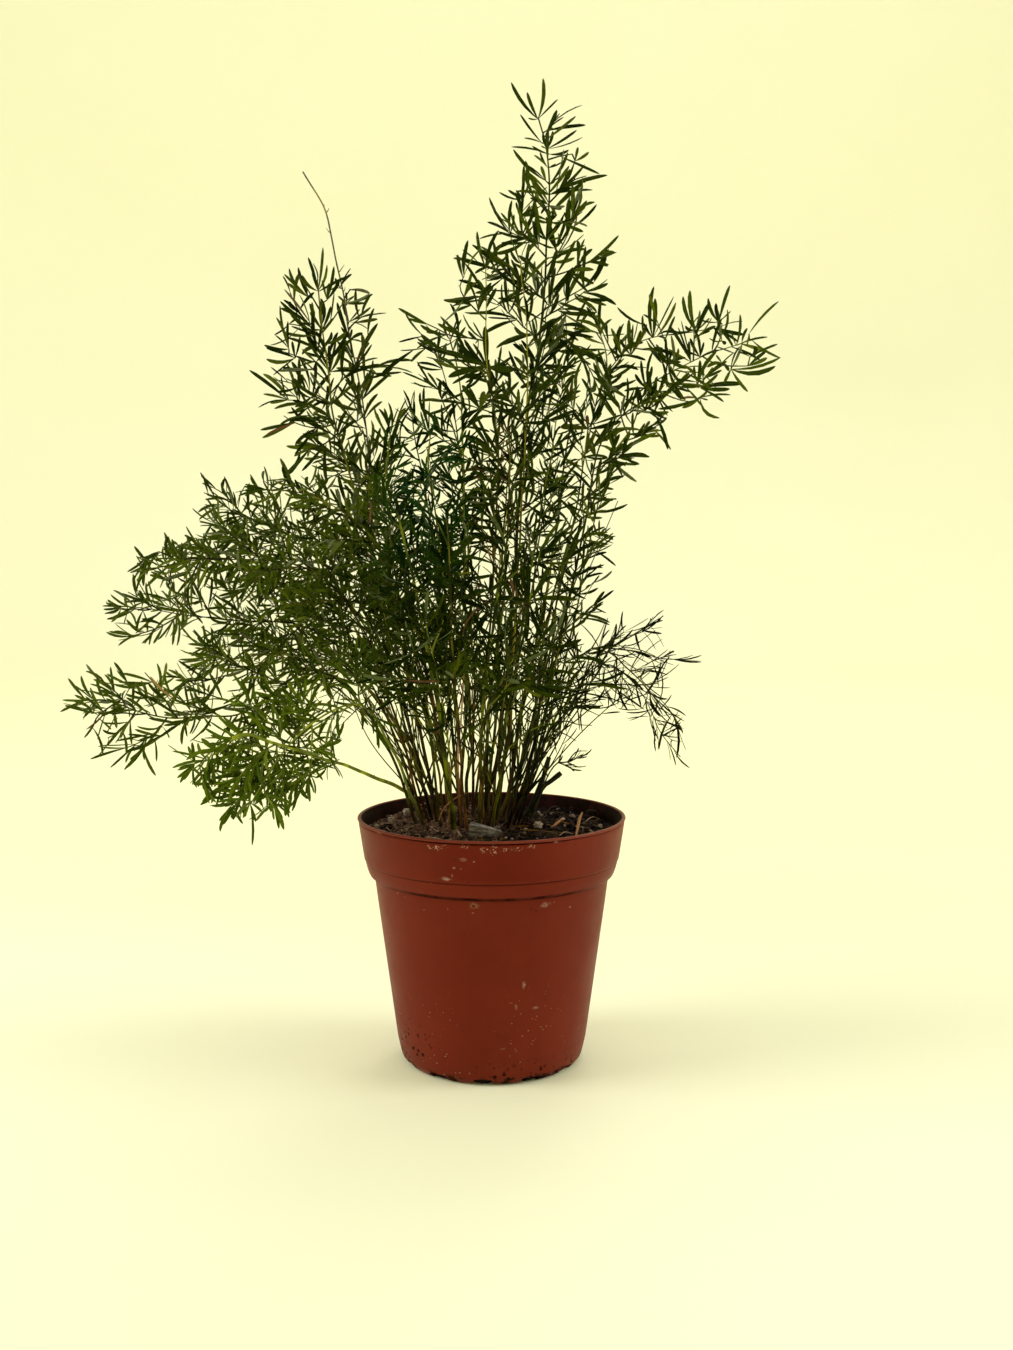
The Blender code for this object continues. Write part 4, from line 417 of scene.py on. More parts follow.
# needles traced one by one: frond, node (u, v), then tip (u, v), bow to the right-hand side, width, and kind
NEEDLES = {
    "a1": [
        ((538, 119), [(511, 82, -3, 3.6), (527, 92, -1, 3.3), (543, 78, 3, 3.9), (558, 99, 0, 1.9), (528, 118, -1, 1.8)]),
        ((546, 131), [(586, 125, -1, 3.5), (583, 105, -4, 1.3), (560, 113, 0, 1.4), (564, 117, -1, 1.6), (553, 128, 0, 2.4)]),
        ((542, 143), [(520, 114, -1, 2.6), (524, 138, 1, 1.7)]),
        ((547, 149), [(553, 131, 1, 3.2), (543, 133, -1, 3.2), (577, 130, 1, 2.8), (583, 137, 2, 1.4), (541, 146, 0, 1.5)]),
        ((549, 154), [(511, 147, 2, 2.0), (532, 146, -1, 2.2), (569, 150, 2, 2.8)]),
        ((548, 168), [(540, 152, -1, 2.2), (534, 155, 1, 2.2), (562, 162, 1, 1.8), (556, 164, 0, 1.6)]),
        ((575, 161), [(578, 147, 0, 2.8), (589, 152, 1, 3.2), (568, 180, 0, 2.4)]),
        ((546, 181), [(513, 149, -3, 3.6), (522, 163, 2, 2.0), (541, 166, 0, 3.4)]),
        ((549, 185), [(568, 152, 2, 3.2), (555, 181, 0, 2.0), (563, 176, -1, 1.6)]),
        ((523, 200), [(524, 165, 0, 3.4), (508, 190, 0, 2.8), (499, 192, -2, 2.2), (516, 190, 0, 2.8), (529, 176, 1, 1.6)]),
        ((549, 195), [(608, 175, -3, 4.0), (593, 190, -2, 2.8), (585, 164, 3, 2.8), (530, 186, 1, 3.0), (524, 170, 2, 2.6), (536, 184, -1, 2.4), (517, 191, 1, 3.0), (572, 188, -1, 3.4), (575, 176, 2, 2.0)]),
        ((573, 215), [(572, 184, 1, 3.4), (586, 205, 1, 3.2), (595, 202, -3, 3.4), (570, 200, 0, 2.6), (578, 200, 0, 2.0), (582, 193, 2, 2.4)]),
        ((571, 228), [(568, 200, -1, 3.0), (564, 212, 0, 2.8), (560, 220, 0, 2.4), (597, 204, 2, 3.0)]),
        ((522, 216), [(523, 182, 0, 3.2), (519, 196, -1, 2.6), (530, 205, 1, 2.4), (516, 202, -1, 2.6), (544, 219, -2, 3.2), (536, 212, 1, 3.0)]),
        ((510, 234), [(489, 197, -2, 2.8), (487, 222, 2, 3.0), (512, 200, -2, 3.2), (479, 239, 2, 2.0), (514, 214, 1, 2.4)]),
        ((522, 236), [(510, 208, -2, 2.4), (520, 208, 0, 3.2), (536, 212, -1, 3.0), (515, 231, 0, 2.6), (533, 226, 1, 2.0)]),
        ((549, 205), [(530, 198, 1, 3.2), (565, 206, 2, 3.2), (541, 214, 1, 2.6), (556, 216, -1, 2.6), (562, 209, 1, 2.6)]),
        ((550, 222), [(537, 219, -2, 3.2), (566, 221, 2, 3.4), (554, 206, 1, 3.0), (523, 214, 2, 3.0), (557, 214, 0, 2.6), (546, 208, 0, 2.6)]),
        ((547, 240), [(538, 220, -2, 3.6), (552, 218, 0, 3.2), (564, 214, 2, 2.8), (558, 222, 1, 3.0), (536, 232, -1, 2.6), (562, 236, 1, 2.0)]),
        ((555, 248), [(566, 218, 1, 3.4), (548, 230, -1, 3.0), (571, 222, 2, 3.0), (542, 244, -1, 2.4), (561, 239, 1, 2.6)]),
    ],
    "a2": [
        ((318, 291), [(308, 257, 1, 3.4), (323, 247, 1, 3.0), (302, 275, -3, 3.6), (312, 272, 0, 2.4)]),
        ((308, 297), [(298, 267, -1, 3.2), (289, 268, -4, 3.4), (284, 274, 0, 2.8), (287, 283, 0, 3.4), (304, 281, 0, 3.0)]),
        ((311, 324), [(284, 289, 1, 3.4), (280, 301, -2, 3.6), (312, 302, 1, 3.0), (300, 322, -1, 2.2)]),
        ((289, 349), [(280, 305, -2, 2.4), (276, 317, 2, 2.8), (264, 345, -2, 3.4), (288, 321, -1, 3.0), (275, 335, 1, 1.8)]),
        ((295, 358), [(266, 348, 1, 3.6), (266, 359, -4, 4.0), (300, 336, 1, 2.6), (292, 341, 0, 2.8)]),
        ((289, 324), [(274, 335, -1, 1.8), (297, 318, 0, 2.2)]),
        ((327, 300), [(334, 266, 1, 3.2), (329, 283, 0, 3.2), (340, 279, 1, 3.4), (322, 280, 0, 2.6)]),
        ((322, 330), [(321, 300, -1, 3.6), (331, 306, 1, 3.4), (310, 312, 0, 3.4), (308, 330, 0, 2.6), (333, 318, 1, 2.8)]),
        ((318, 352), [(313, 314, -2, 4.0), (306, 330, -2, 3.6), (299, 322, 1, 3.2), (322, 322, 0, 3.0), (331, 335, 2, 3.0)]),
        ((330, 372), [(316, 346, 1, 3.4), (308, 340, -1, 3.2), (329, 345, 0, 3.6), (341, 348, 2, 3.6), (336, 340, 0, 2.6), (353, 371, -1, 3.0)]),
        ((328, 358), [(304, 352, -1, 3.0), (316, 331, 1, 3.4), (338, 332, -1, 3.6), (345, 341, 1, 3.0)]),
        ((288, 400), [(249, 370, 1, 3.8), (263, 394, 1, 2.6), (270, 403, 0, 3.4), (258, 408, 3, 1.6), (281, 376, -1, 2.0)]),
        ((297, 397), [(286, 362, 2, 3.2), (299, 358, 1, 3.6), (303, 374, 0, 2.6), (279, 395, 1, 2.4), (292, 379, 0, 3.2)]),
        ((312, 398), [(331, 373, -1, 4.0), (316, 362, 1, 3.4), (333, 403, 2, 3.8), (319, 390, 0, 2.8), (297, 388, -2, 2.8)]),
        ((309, 408), [(292, 400, 1, 3.0), (287, 413, -1, 2.6), (322, 401, 0, 3.0), (300, 391, 0, 2.6)]),
        ((316, 362), [(296, 356, -1, 2.8), (300, 366, 1, 2.2), (302, 349, 0, 2.6), (324, 349, 1, 2.8)]),
    ],
    "a3": [
        ((340, 288), [(352, 274, -2, 3.2), (351, 268, -1, 1.4), (335, 278, 0, 2.8), (331, 290, 1, 2.4)]),
        ((347, 304), [(373, 294, 1, 3.8), (365, 303, 0, 2.8), (346, 292, 0, 2.4), (354, 297, -1, 1.6), (338, 296, 0, 2.4)]),
        ((349, 322), [(371, 307, 1, 3.0), (387, 313, -2, 1.5), (369, 330, -2, 1.6), (343, 299, -1, 4.2), (360, 309, 0, 1.8)]),
        ((350, 340), [(363, 333, -1, 3.6), (352, 329, 0, 2.8), (337, 302, -1, 4.2), (362, 342, -1, 1.8), (341, 327, 0, 2.6)]),
        ((355, 367), [(378, 323, -2, 4.4), (372, 344, 1, 2.6), (390, 365, 1, 3.0), (378, 358, -2, 2.0), (340, 357, 1, 3.0), (336, 368, -1, 3.0), (345, 345, 0, 2.8)]),
        ((353, 358), [(337, 341, 0, 3.2), (341, 334, 1, 2.8), (362, 358, 0, 2.6), (350, 338, 0, 2.4)]),
        ((372, 373), [(402, 372, 1, 2.6), (392, 376, 1, 2.6), (373, 360, 0, 2.2)]),
        ((362, 400), [(391, 373, -1, 3.6), (374, 371, 1, 3.2), (368, 372, -1, 3.0), (344, 390, -1, 2.6), (352, 378, 0, 2.4), (341, 371, 1, 2.4)]),
    ],
    "r3": [
        ((601, 336), [(612, 319, -3, 2.8), (601, 299, -2, 3.6), (594, 312, -1, 3.0), (625, 334, 0, 1.6)]),
        ((622, 357), [(611, 328, 1, 3.6), (624, 323, -5, 3.0), (609, 347, -1, 3.0), (613, 338, 0, 2.6), (602, 382, -1, 3.2)]),
        ((631, 355), [(629, 319, -1, 4.2), (641, 330, 1, 4.0), (647, 324, 1, 3.6), (633, 324, 0, 2.2), (620, 339, -1, 3.0), (614, 358, 1, 3.0)]),
        ((646, 325), [(617, 307, -3, 2.8), (645, 334, 0, 2.0)]),
        ((653, 338), [(654, 286, -4, 4.2), (655, 298, 1, 4.6), (674, 296, 0, 1.7), (644, 323, -1, 3.0)]),
        ((657, 336), [(676, 302, 2, 3.2), (678, 332, -3, 2.2), (666, 338, 0, 2.0)]),
        ((668, 365), [(656, 344, 0, 3.6), (648, 344, -1, 3.4), (666, 338, -1, 3.2), (681, 362, -1, 2.6), (672, 350, 0, 2.6)]),
    ],
    "r1": [
        ((691, 362), [(669, 325, 1, 3.6), (678, 327, 0, 2.0), (681, 320, 0, 1.6), (668, 349, 0, 2.2), (689, 341, -1, 3.4)]),
        ((695, 330), [(683, 296, -3, 3.8), (690, 290, -2, 4.4), (700, 310, 1, 2.4), (685, 326, -2, 3.2), (662, 331, -2, 2.2)]),
        ((697, 337), [(716, 326, -1, 3.6), (691, 318, 0, 3.2), (710, 331, -1, 2.6)]),
        ((700, 357), [(704, 342, 0, 2.6), (690, 338, -1, 3.2), (720, 350, -1, 2.4), (684, 352, 1, 2.6), (697, 333, 1, 3.0)]),
        ((719, 322), [(708, 298, -3, 4.0), (716, 303, -1, 3.6), (730, 285, -1, 3.6), (731, 311, 0, 1.4), (697, 318, -2, 1.8)]),
        ((722, 341), [(718, 310, -1, 3.8), (726, 344, 0, 3.6), (709, 338, -2, 1.8), (713, 327, 1, 2.0)]),
        ((736, 346), [(740, 314, 2, 3.0), (768, 337, -2, 2.2), (731, 331, 0, 1.6)]),
        ((749, 334), [(779, 301, -2, 2.6), (747, 346, 0, 1.6)]),
        ((750, 357), [(778, 344, -1, 2.6), (755, 346, 3, 4.6), (738, 352, 1, 1.8)]),
        ((731, 369), [(776, 366, 6, 5.0), (781, 357, 4, 3.2), (748, 392, 1, 3.2), (742, 344, 1, 2.8), (724, 383, 0, 3.4), (740, 346, -2, 1.8)]),
        ((722, 363), [(707, 367, 2, 4.0), (729, 371, -1, 3.4), (716, 355, 0, 2.4)]),
        ((703, 379), [(727, 361, -1, 4.0), (722, 370, 0, 2.8), (703, 368, 0, 2.4), (693, 377, 0, 2.4)]),
        ((700, 388), [(742, 384, -2, 5.0), (730, 389, 1, 4.2), (724, 402, -1, 2.8), (718, 374, 1, 3.2), (679, 388, 2, 3.2)]),
        ((700, 398), [(720, 418, 6, 3.6), (708, 400, 0, 1.8), (682, 408, -1, 3.6), (658, 409, -2, 3.8), (731, 395, -2, 2.2)]),
        ((697, 382), [(683, 365, 3, 3.0), (700, 360, 1, 3.6), (694, 366, -1, 3.0), (676, 379, 0, 2.4)]),
        ((672, 388), [(679, 381, 0, 3.6), (681, 399, 0, 3.6), (661, 378, 1, 3.2), (690, 392, -1, 2.4)]),
        ((655, 398), [(649, 371, -2, 4.2), (664, 374, 2, 3.6), (672, 391, -1, 3.4), (643, 383, 1, 3.4), (656, 377, 0, 3.2)]),
        ((646, 388), [(624, 391, 1, 3.0), (635, 374, -1, 3.4), (652, 366, 1, 3.2), (641, 360, -1, 3.0)]),
        ((645, 411), [(669, 412, 2, 4.2), (625, 399, 0, 3.0), (650, 384, 1, 4.0), (639, 389, -1, 3.6), (658, 392, 1, 3.2)]),
        ((654, 413), [(668, 450, -2, 3.6), (666, 418, 1, 2.0), (661, 395, 0, 3.0)]),
        ((634, 437), [(657, 428, -3, 3.0), (645, 423, 1, 2.8), (664, 421, -2, 2.0), (633, 412, -1, 2.8)]),
        ((618, 457), [(647, 455, -2, 3.4), (632, 459, 1, 3.0), (636, 440, 1, 3.0), (612, 432, -1, 3.0)]),
    ],
    "l5": [
        ((195, 763), [(180, 783, 1, 3.2), (177, 770, -1, 2.2), (184, 780, 0, 2.6), (197, 788, 3, 2.4), (188, 746, 0, 3.4), (192, 742, 0, 3.0)]),
        ((203, 777), [(213, 794, 0, 3.0), (204, 790, 0, 2.6), (198, 787, 1, 2.2), (193, 768, 0, 2.8)]),
        ((238, 803), [(219, 821, 1, 2.8), (219, 829, 1, 2.6), (233, 820, 0, 3.0), (229, 800, 0, 2.6), (246, 816, 0, 2.6)]),
        ((251, 777), [(213, 778, 2, 3.6), (217, 787, 1, 3.4), (236, 797, 0, 3.2), (228, 772, 1, 3.4), (262, 798, -1, 3.0)]),
        ((273, 801), [(279, 829, -1, 3.4), (288, 813, 0, 2.2), (283, 818, 0, 1.4), (265, 812, 0, 2.4)]),
        ((297, 780), [(304, 797, 0, 2.8), (306, 795, 1, 2.8), (295, 804, 1, 1.8), (288, 800, 0, 3.0)]),
        ((309, 775), [(312, 788, 0, 2.4), (318, 778, 0, 1.4), (306, 794, 0, 2.8), (327, 764, -1, 2.8)]),
        ((330, 761), [(340, 777, -1, 1.8), (343, 779, -2, 1.2), (328, 781, 2, 1.0), (340, 759, 1, 1.1)]),
    ],
    "l6": [
        ((222, 786), [(209, 797, 1, 3.2), (202, 802, 1, 2.8), (216, 807, 0, 2.2), (207, 780, 0, 3.0)]),
        ((233, 804), [(243, 824, 1, 2.6), (224, 806, 0, 2.6), (232, 819, 0, 2.4)]),
        ((250, 803), [(252, 846, -2, 2.4), (256, 822, 0, 2.8), (262, 812, -1, 2.4), (243, 818, 0, 2.8)]),
        ((272, 804), [(256, 821, 1, 2.6), (285, 806, 0, 2.6), (274, 820, 0, 2.2)]),
        ((318, 748), [(332, 739, 1, 2.2), (331, 751, -1, 2.2), (328, 758, 0, 2.4), (336, 744, 0, 1.6)]),
    ],
    "a4": [
        ((487, 367), [(485, 326, 0, 6.0), (464, 339, -2, 4.0), (432, 350, 3, 5.6), (447, 360, 2, 2.6), (448, 377, 2, 6.2), (452, 384, 1, 3.4),
                      (465, 383, -1, 2.6), (514, 370, 0, 7.0), (511, 377, -1, 4.6), (508, 364, 1, 2.6), (512, 356, 3, 3.0)]),
        ((480, 409), [(462, 385, 0, 5.6), (469, 387, 0, 3.2), (484, 391, 0, 5.6, "yellow"), (490, 393, -1, 4.0, "yellow"), (430, 401, 3, 2.8),
                      (460, 420, 1, 4.6), (468, 426, 0, 3.4)]),
        ((442, 400), [(441, 380, -2, 3.8), (449, 391, -2, 3.4), (420, 401, 1, 3.0), (463, 393, 1, 2.6)]),
        ((493, 397), [(511, 380, -2, 1.8), (509, 397, -2, 3.0), (488, 386, 1, 3.2), (512, 402, -1, 3.2)]),
    ],
    "c13": [
        ((505, 431), [(500, 424, 0, 1.8, "dead"), (509, 425, 0, 1.6, "dead"), (513, 432, 1, 1.6, "dead"), (498, 434, 0, 1.8, "dead")]),
        ((505, 441), [(499, 437, 0, 1.6, "dead"), (512, 438, 0, 1.9, "dead"), (499, 446, 0, 1.6, "dead"), (514, 446, 1, 1.5, "dead")]),
        ((506, 451), [(500, 446, 0, 1.8, "dead"), (512, 447, 0, 1.6, "dead"), (501, 457, 0, 1.6, "dead"), (513, 455, 0, 1.8, "dead")]),
        ((507, 461), [(501, 457, 0, 1.6, "dead"), (513, 458, 0, 1.8, "dead"), (503, 468, 0, 1.6, "dead"), (512, 467, 0, 1.5, "dead")]),
        ((508, 471), [(503, 466, 0, 1.6, "dead"), (514, 468, 0, 1.6, "dead"), (506, 479, 0, 1.5, "dead")]),
    ],
    "c12": [
        ((588, 429), [(621, 421, 1, 5.0), (608, 441, 1, 3.0), (596, 456, 3, 4.2, "yellow"), (560, 427, 1, 6.0, "yellow"), (587, 415, 0, 3.6, "dead"),
                      (572, 410, -1, 4.0), (600, 404, 1, 3.6)]),
        ((577, 441), [(543, 462, -1, 3.0), (560, 468, 1, 3.6), (585, 436, 0, 3.4), (572, 430, -1, 2.6)]),
    ],
    "c4": [
        ((529, 601), [(513, 559, -4, 4.0, "deep"), (522, 560, -2, 4.4), (528, 562, 0, 4.6, "deep"), (549, 566, 2, 5.2), (494, 599, 2, 4.6, "deep"),
                      (577, 600, -3, 4.6), (526, 642, 0, 4.2), (511, 604, 1, 3.4), (543, 640, 1, 4.0, "deep")]),
        ((557, 618), [(551, 637, 1, 4.0, "pale"), (540, 640, 0, 3.2)]),
    ],
    "c3": [
        ((513, 597), [(510, 577, 1, 2.8, "dead"), (497, 574, 0, 2.8, "yellow")]),
        ((527, 541), [(536, 562, 1, 2.8, "pale"), (517, 552, 0, 3.0, "yellow")]),
    ],
    "c2": [
        ((445, 567), [(439, 518, 2, 5.2, "deep"), (470, 540, -1, 4.4), (430, 545, 1, 3.6), (463, 560, 1, 3.4), (452, 530, 1, 3.8), (428, 572, 0, 3.2)]),
        ((462, 637), [(489, 600, -6, 3.0, "pale"), (472, 602, 1, 2.4), (505, 635, 1, 3.0), (480, 668, -1, 2.8), (473, 646, 0, 1.8), (440, 622, 1, 3.0)]),
    ],
    "c19": [
        ((414, 652), [(391, 640, 1, 3.2), (383, 664, -1, 1.6, "pale"), (385, 673, -1, 3.0), (447, 662, 1, 3.4), (437, 668, 0, 2.8), (413, 630, 0, 3.4),
                      (442, 629, 1, 3.4, "pale"), (405, 620, 0, 2.0, "pale"), (391, 638, 1, 2.6)]),
        ((404, 680), [(441, 681, 1, 2.6, "dead"), (385, 684, 0, 2.6), (392, 668, 0, 2.8)]),
    ],
    "c1": [
        ((397, 698), [(375, 711, 0, 3.2), (376, 697, 0, 2.4), (377, 690, 1, 3.0), (376, 681, 0, 2.4), (420, 670, 2, 3.4), (410, 712, 0, 2.6)]),
        ((400, 618), [(402, 598, 0, 2.2, "pale"), (380, 610, 0, 3.0), (416, 606, 0, 3.0)]),
    ],
    "c5": [
        ((371, 500), [(370, 524, 0, 2.4, "dead"), (356, 488, 1, 3.0), (384, 486, 0, 3.0)]),
    ],
}


def leaf_out(fronds):
    """Cladodes: foot point, heading, length, width, bow in and out of plane, roll, draw, tone, frond."""
    out = []
    for k, fr in enumerate(fronds):
        name, base, pts, r0, foot, blen, gap, clen, cwid, many, tone = fr["row"]
        rnd = random.Random(900 + k * 13)
        many, clen, cwid = many * MORE.get(name, 1.0), clen * LONGER.get(name, 1.0), cwid * 0.87 * WIDER.get(name, 1.0)

        def fan(p, ax, az, count, lo, hi, scale):
            a = unit(np.cross(ax, [0.2, 0.9, 0.3]))
            b = np.cross(ax, a)
            for j in range(count):
                w = az + (j - (count - 1) / 2) * rnd.uniform(0.55, 0.95) + rnd.uniform(-0.25, 0.25)
                open_ = math.radians(rnd.uniform(lo - 14, hi + 34) if name in UNEVEN else rnd.uniform(lo, hi))
                d = unit(ax * math.cos(open_) + (a * math.cos(w) + b * math.sin(w)) * math.sin(open_))
                foot_at = p + ax * rnd.uniform(-0.0011, 0.0003)
                ln = clen / 1000 * scale * rnd.uniform(0.72, 1.18)
                for shrink in (1.0, 0.85, 0.72, 0.6):
                    tipp = foot_at + d * ln * shrink
                    if inside(tipp) and within(tipp):
                        break
                else:
                    continue
                ln *= shrink
                u, v = seen(tipp)[0]
                if any(q[0] < u < q[2] and q[1] < v < q[3] and rnd.random() > q[4] for q in THIN):
                    continue
                x = rnd.uniform(-1, 1)
                out.append((foot_at, d, ln, cwid / 1000 * (rnd.choice((0.80, 0.86, 1.50)) if name in UNEVEN else rnd.uniform(0.78, 1.18)) * (0.75 + 0.25 * scale * shrink),
                            rnd.uniform(-1, 1), rnd.uniform(-1, 1), math.pi / 2 * math.copysign(abs(x) ** 1.6, x), rnd.random(), tone, k))

        for tw in fr["twigs"]:
            p = tw["path"]
            tt, _, _ = frames(p)
            az = rnd.uniform(0, 6.28)
            n = len(p) - 1
            for i in range(1, n):
                az += math.pi + rnd.uniform(-0.5, 0.5)
                fan(p[i], tt[i], az, int(many + rnd.uniform(0.0, 1.0)), 30, 66, 1.0 - 0.16 * i / n)
            fan(p[n], tt[n], az, int(many * 0.8 + rnd.uniform(1.0, 2.0)), 8, 58, 0.92)
        # straight on the stem towards its tip
        path, arc, t = fr["path"], fr["arc"], fr["t"]
        s = arc[-1] * (foot + (1 - foot) * 0.30)
        az = 0.0
        while s < arc[-1] * fr["tip"]:
            i = int(np.argmin(abs(arc - s)))
            az += 2.4
            fan(path[i], t[i], az, rnd.choice([1, 2, 3]), 34, 70, 0.95)
            s += 0.0055
        if fr["tip"] == 1.0 and name != "a1":
            fan(path[-1], t[-1], az, 5, 6, 56, 0.95)
    return out




# ---------------------------------------------------------------- meshes made from arrays
class Build:
    """Collects vertices and faces with a map coordinate at each corner and a material number on each face."""

    def __init__(self):
        self.v, self.n = [], 0
        self.parts = {3: [], 4: []}

    def verts(self, a):
        a = np.asarray(a, float).reshape(-1, 3)
        first = self.n
        self.v.append(a)
        self.n += len(a)
        return first

    def faces(self, idx, uv, mat):
        idx = np.asarray(idx, np.int64)
        uv = np.asarray(uv, float)
        self.parts[idx.shape[1]].append((idx, uv, np.full(len(idx), mat, np.int32)))

    def piece(self, name, mats, angle=None):
        v = np.concatenate(self.v)
        loops, uvs, start, total, slot = [], [], [], [], []
        at = 0
        for k in (3, 4):
            for idx, uv, m in self.parts[k]:
                loops.append(idx.ravel())
                uvs.append(uv.reshape(-1, 2))
                start.append(at + np.arange(len(idx)) * k)
                total.append(np.full(len(idx), k))
                slot.append(m)
                at += idx.size
        loops, uvs = np.concatenate(loops), np.concatenate(uvs)
        start, total, slot = (np.concatenate(x).astype(np.int32) for x in (start, total, slot))
        me = bpy.data.meshes.new(name)
        me.vertices.add(len(v))
        me.vertices.foreach_set("co", v.astype(np.float32).ravel())
        me.loops.add(len(loops))
        me.loops.foreach_set("vertex_index", loops.astype(np.int32))
        me.polygons.add(len(start))
        me.polygons.foreach_set("loop_start", start)
        me.polygons.foreach_set("material_index", slot)
        layer = me.uv_layers.new(name="OFBake")
        me.update(calc_edges=True)
        me.validate()
        layer = me.uv_layers["OFBake"]
        if len(layer.uv) == len(uvs):
            layer.uv.foreach_set("vector", uvs.astype(np.float32).ravel())
        for m in mats:
            me.materials.append(m)
        me.shade_smooth()
        if angle is not None:
            me.set_sharp_from_angle(angle=math.radians(angle))
        ob = bpy.data.objects.new(name, me)
        bpy.context.scene.collection.objects.link(ob)
        return ob


def hand_over(ob, slot, *nodes):
    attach(ob, "root")
    if nodes:
        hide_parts(*nodes)
    return ob


def resample(path, step):
    return smooth_path(list(path), step)


def tube(B, path, radii, sides, mat, v0, v1, ridge=0.0, turn=0.0, ends=True, u0=0.0, u1=1.0, point=1.2):
    """A closed tapering tube with an optional ridged section."""
    path = np.asarray(path, float)
    n = len(path)
    t, a, b = frames(path)
    w = 2 * np.pi * np.arange(sides) / sides + turn
    rad = np.asarray(radii)[:, None] * (1 + ridge * np.where(np.arange(sides) % 2, -1.0, 1.0))[None]
    p = path[:, None] + (a[:, None] * np.cos(w)[None, :, None] + b[:, None] * np.sin(w)[None, :, None]) * rad[..., None]
    f = B.verts(p)
    i, k = np.meshgrid(np.arange(n - 1), np.arange(sides), indexing="ij")
    j = (k + 1) % sides
    quad = np.stack([f + i * sides + k, f + i * sides + j, f + (i + 1) * sides + j, f + (i + 1) * sides + k], -1).reshape(-1, 4)
    us = u0 + (u1 - u0) * np.arange(sides + 1) / sides
    vs = v0 + (v1 - v0) * np.arange(n) / (n - 1)
    uv = np.stack([
        np.stack([us[k], vs[i]], -1), np.stack([us[k + 1], vs[i]], -1),
        np.stack([us[k + 1], vs[i + 1]], -1), np.stack([us[k], vs[i + 1]], -1)], -2).reshape(-1, 4, 2)
    B.faces(quad, uv, mat)
    if ends:
        tips = B.verts([path[0] - t[0] * radii[0] * 0.3, path[-1] + t[-1] * radii[-1] * point])
        k = np.arange(sides)
        j = (k + 1) % sides
        mid = (us[k] + us[k + 1]) / 2
        low = np.stack([f + j, f + k, np.full(sides, tips)], -1)
        B.faces(low, np.stack([np.stack([us[k + 1], np.full(sides, v0)], -1), np.stack([us[k], np.full(sides, v0)], -1), np.stack([mid, np.full(sides, v0)], -1)], -2), mat)
        last = f + (n - 1) * sides
        top = np.stack([last + k, last + j, np.full(sides, tips + 1)], -1)
        B.faces(top, np.stack([np.stack([us[k], np.full(sides, v1)], -1), np.stack([us[k + 1], np.full(sides, v1)], -1), np.stack([mid, np.full(sides, v1)], -1)], -2), mat)


LEAF_T = np.array([0.04, 0.16, 0.38, 0.62, 0.84, 0.95])
LEAF_W = np.array([0.24, 0.48, 0.82, 1.00, 0.88, 0.50])
COLUMNS = 16


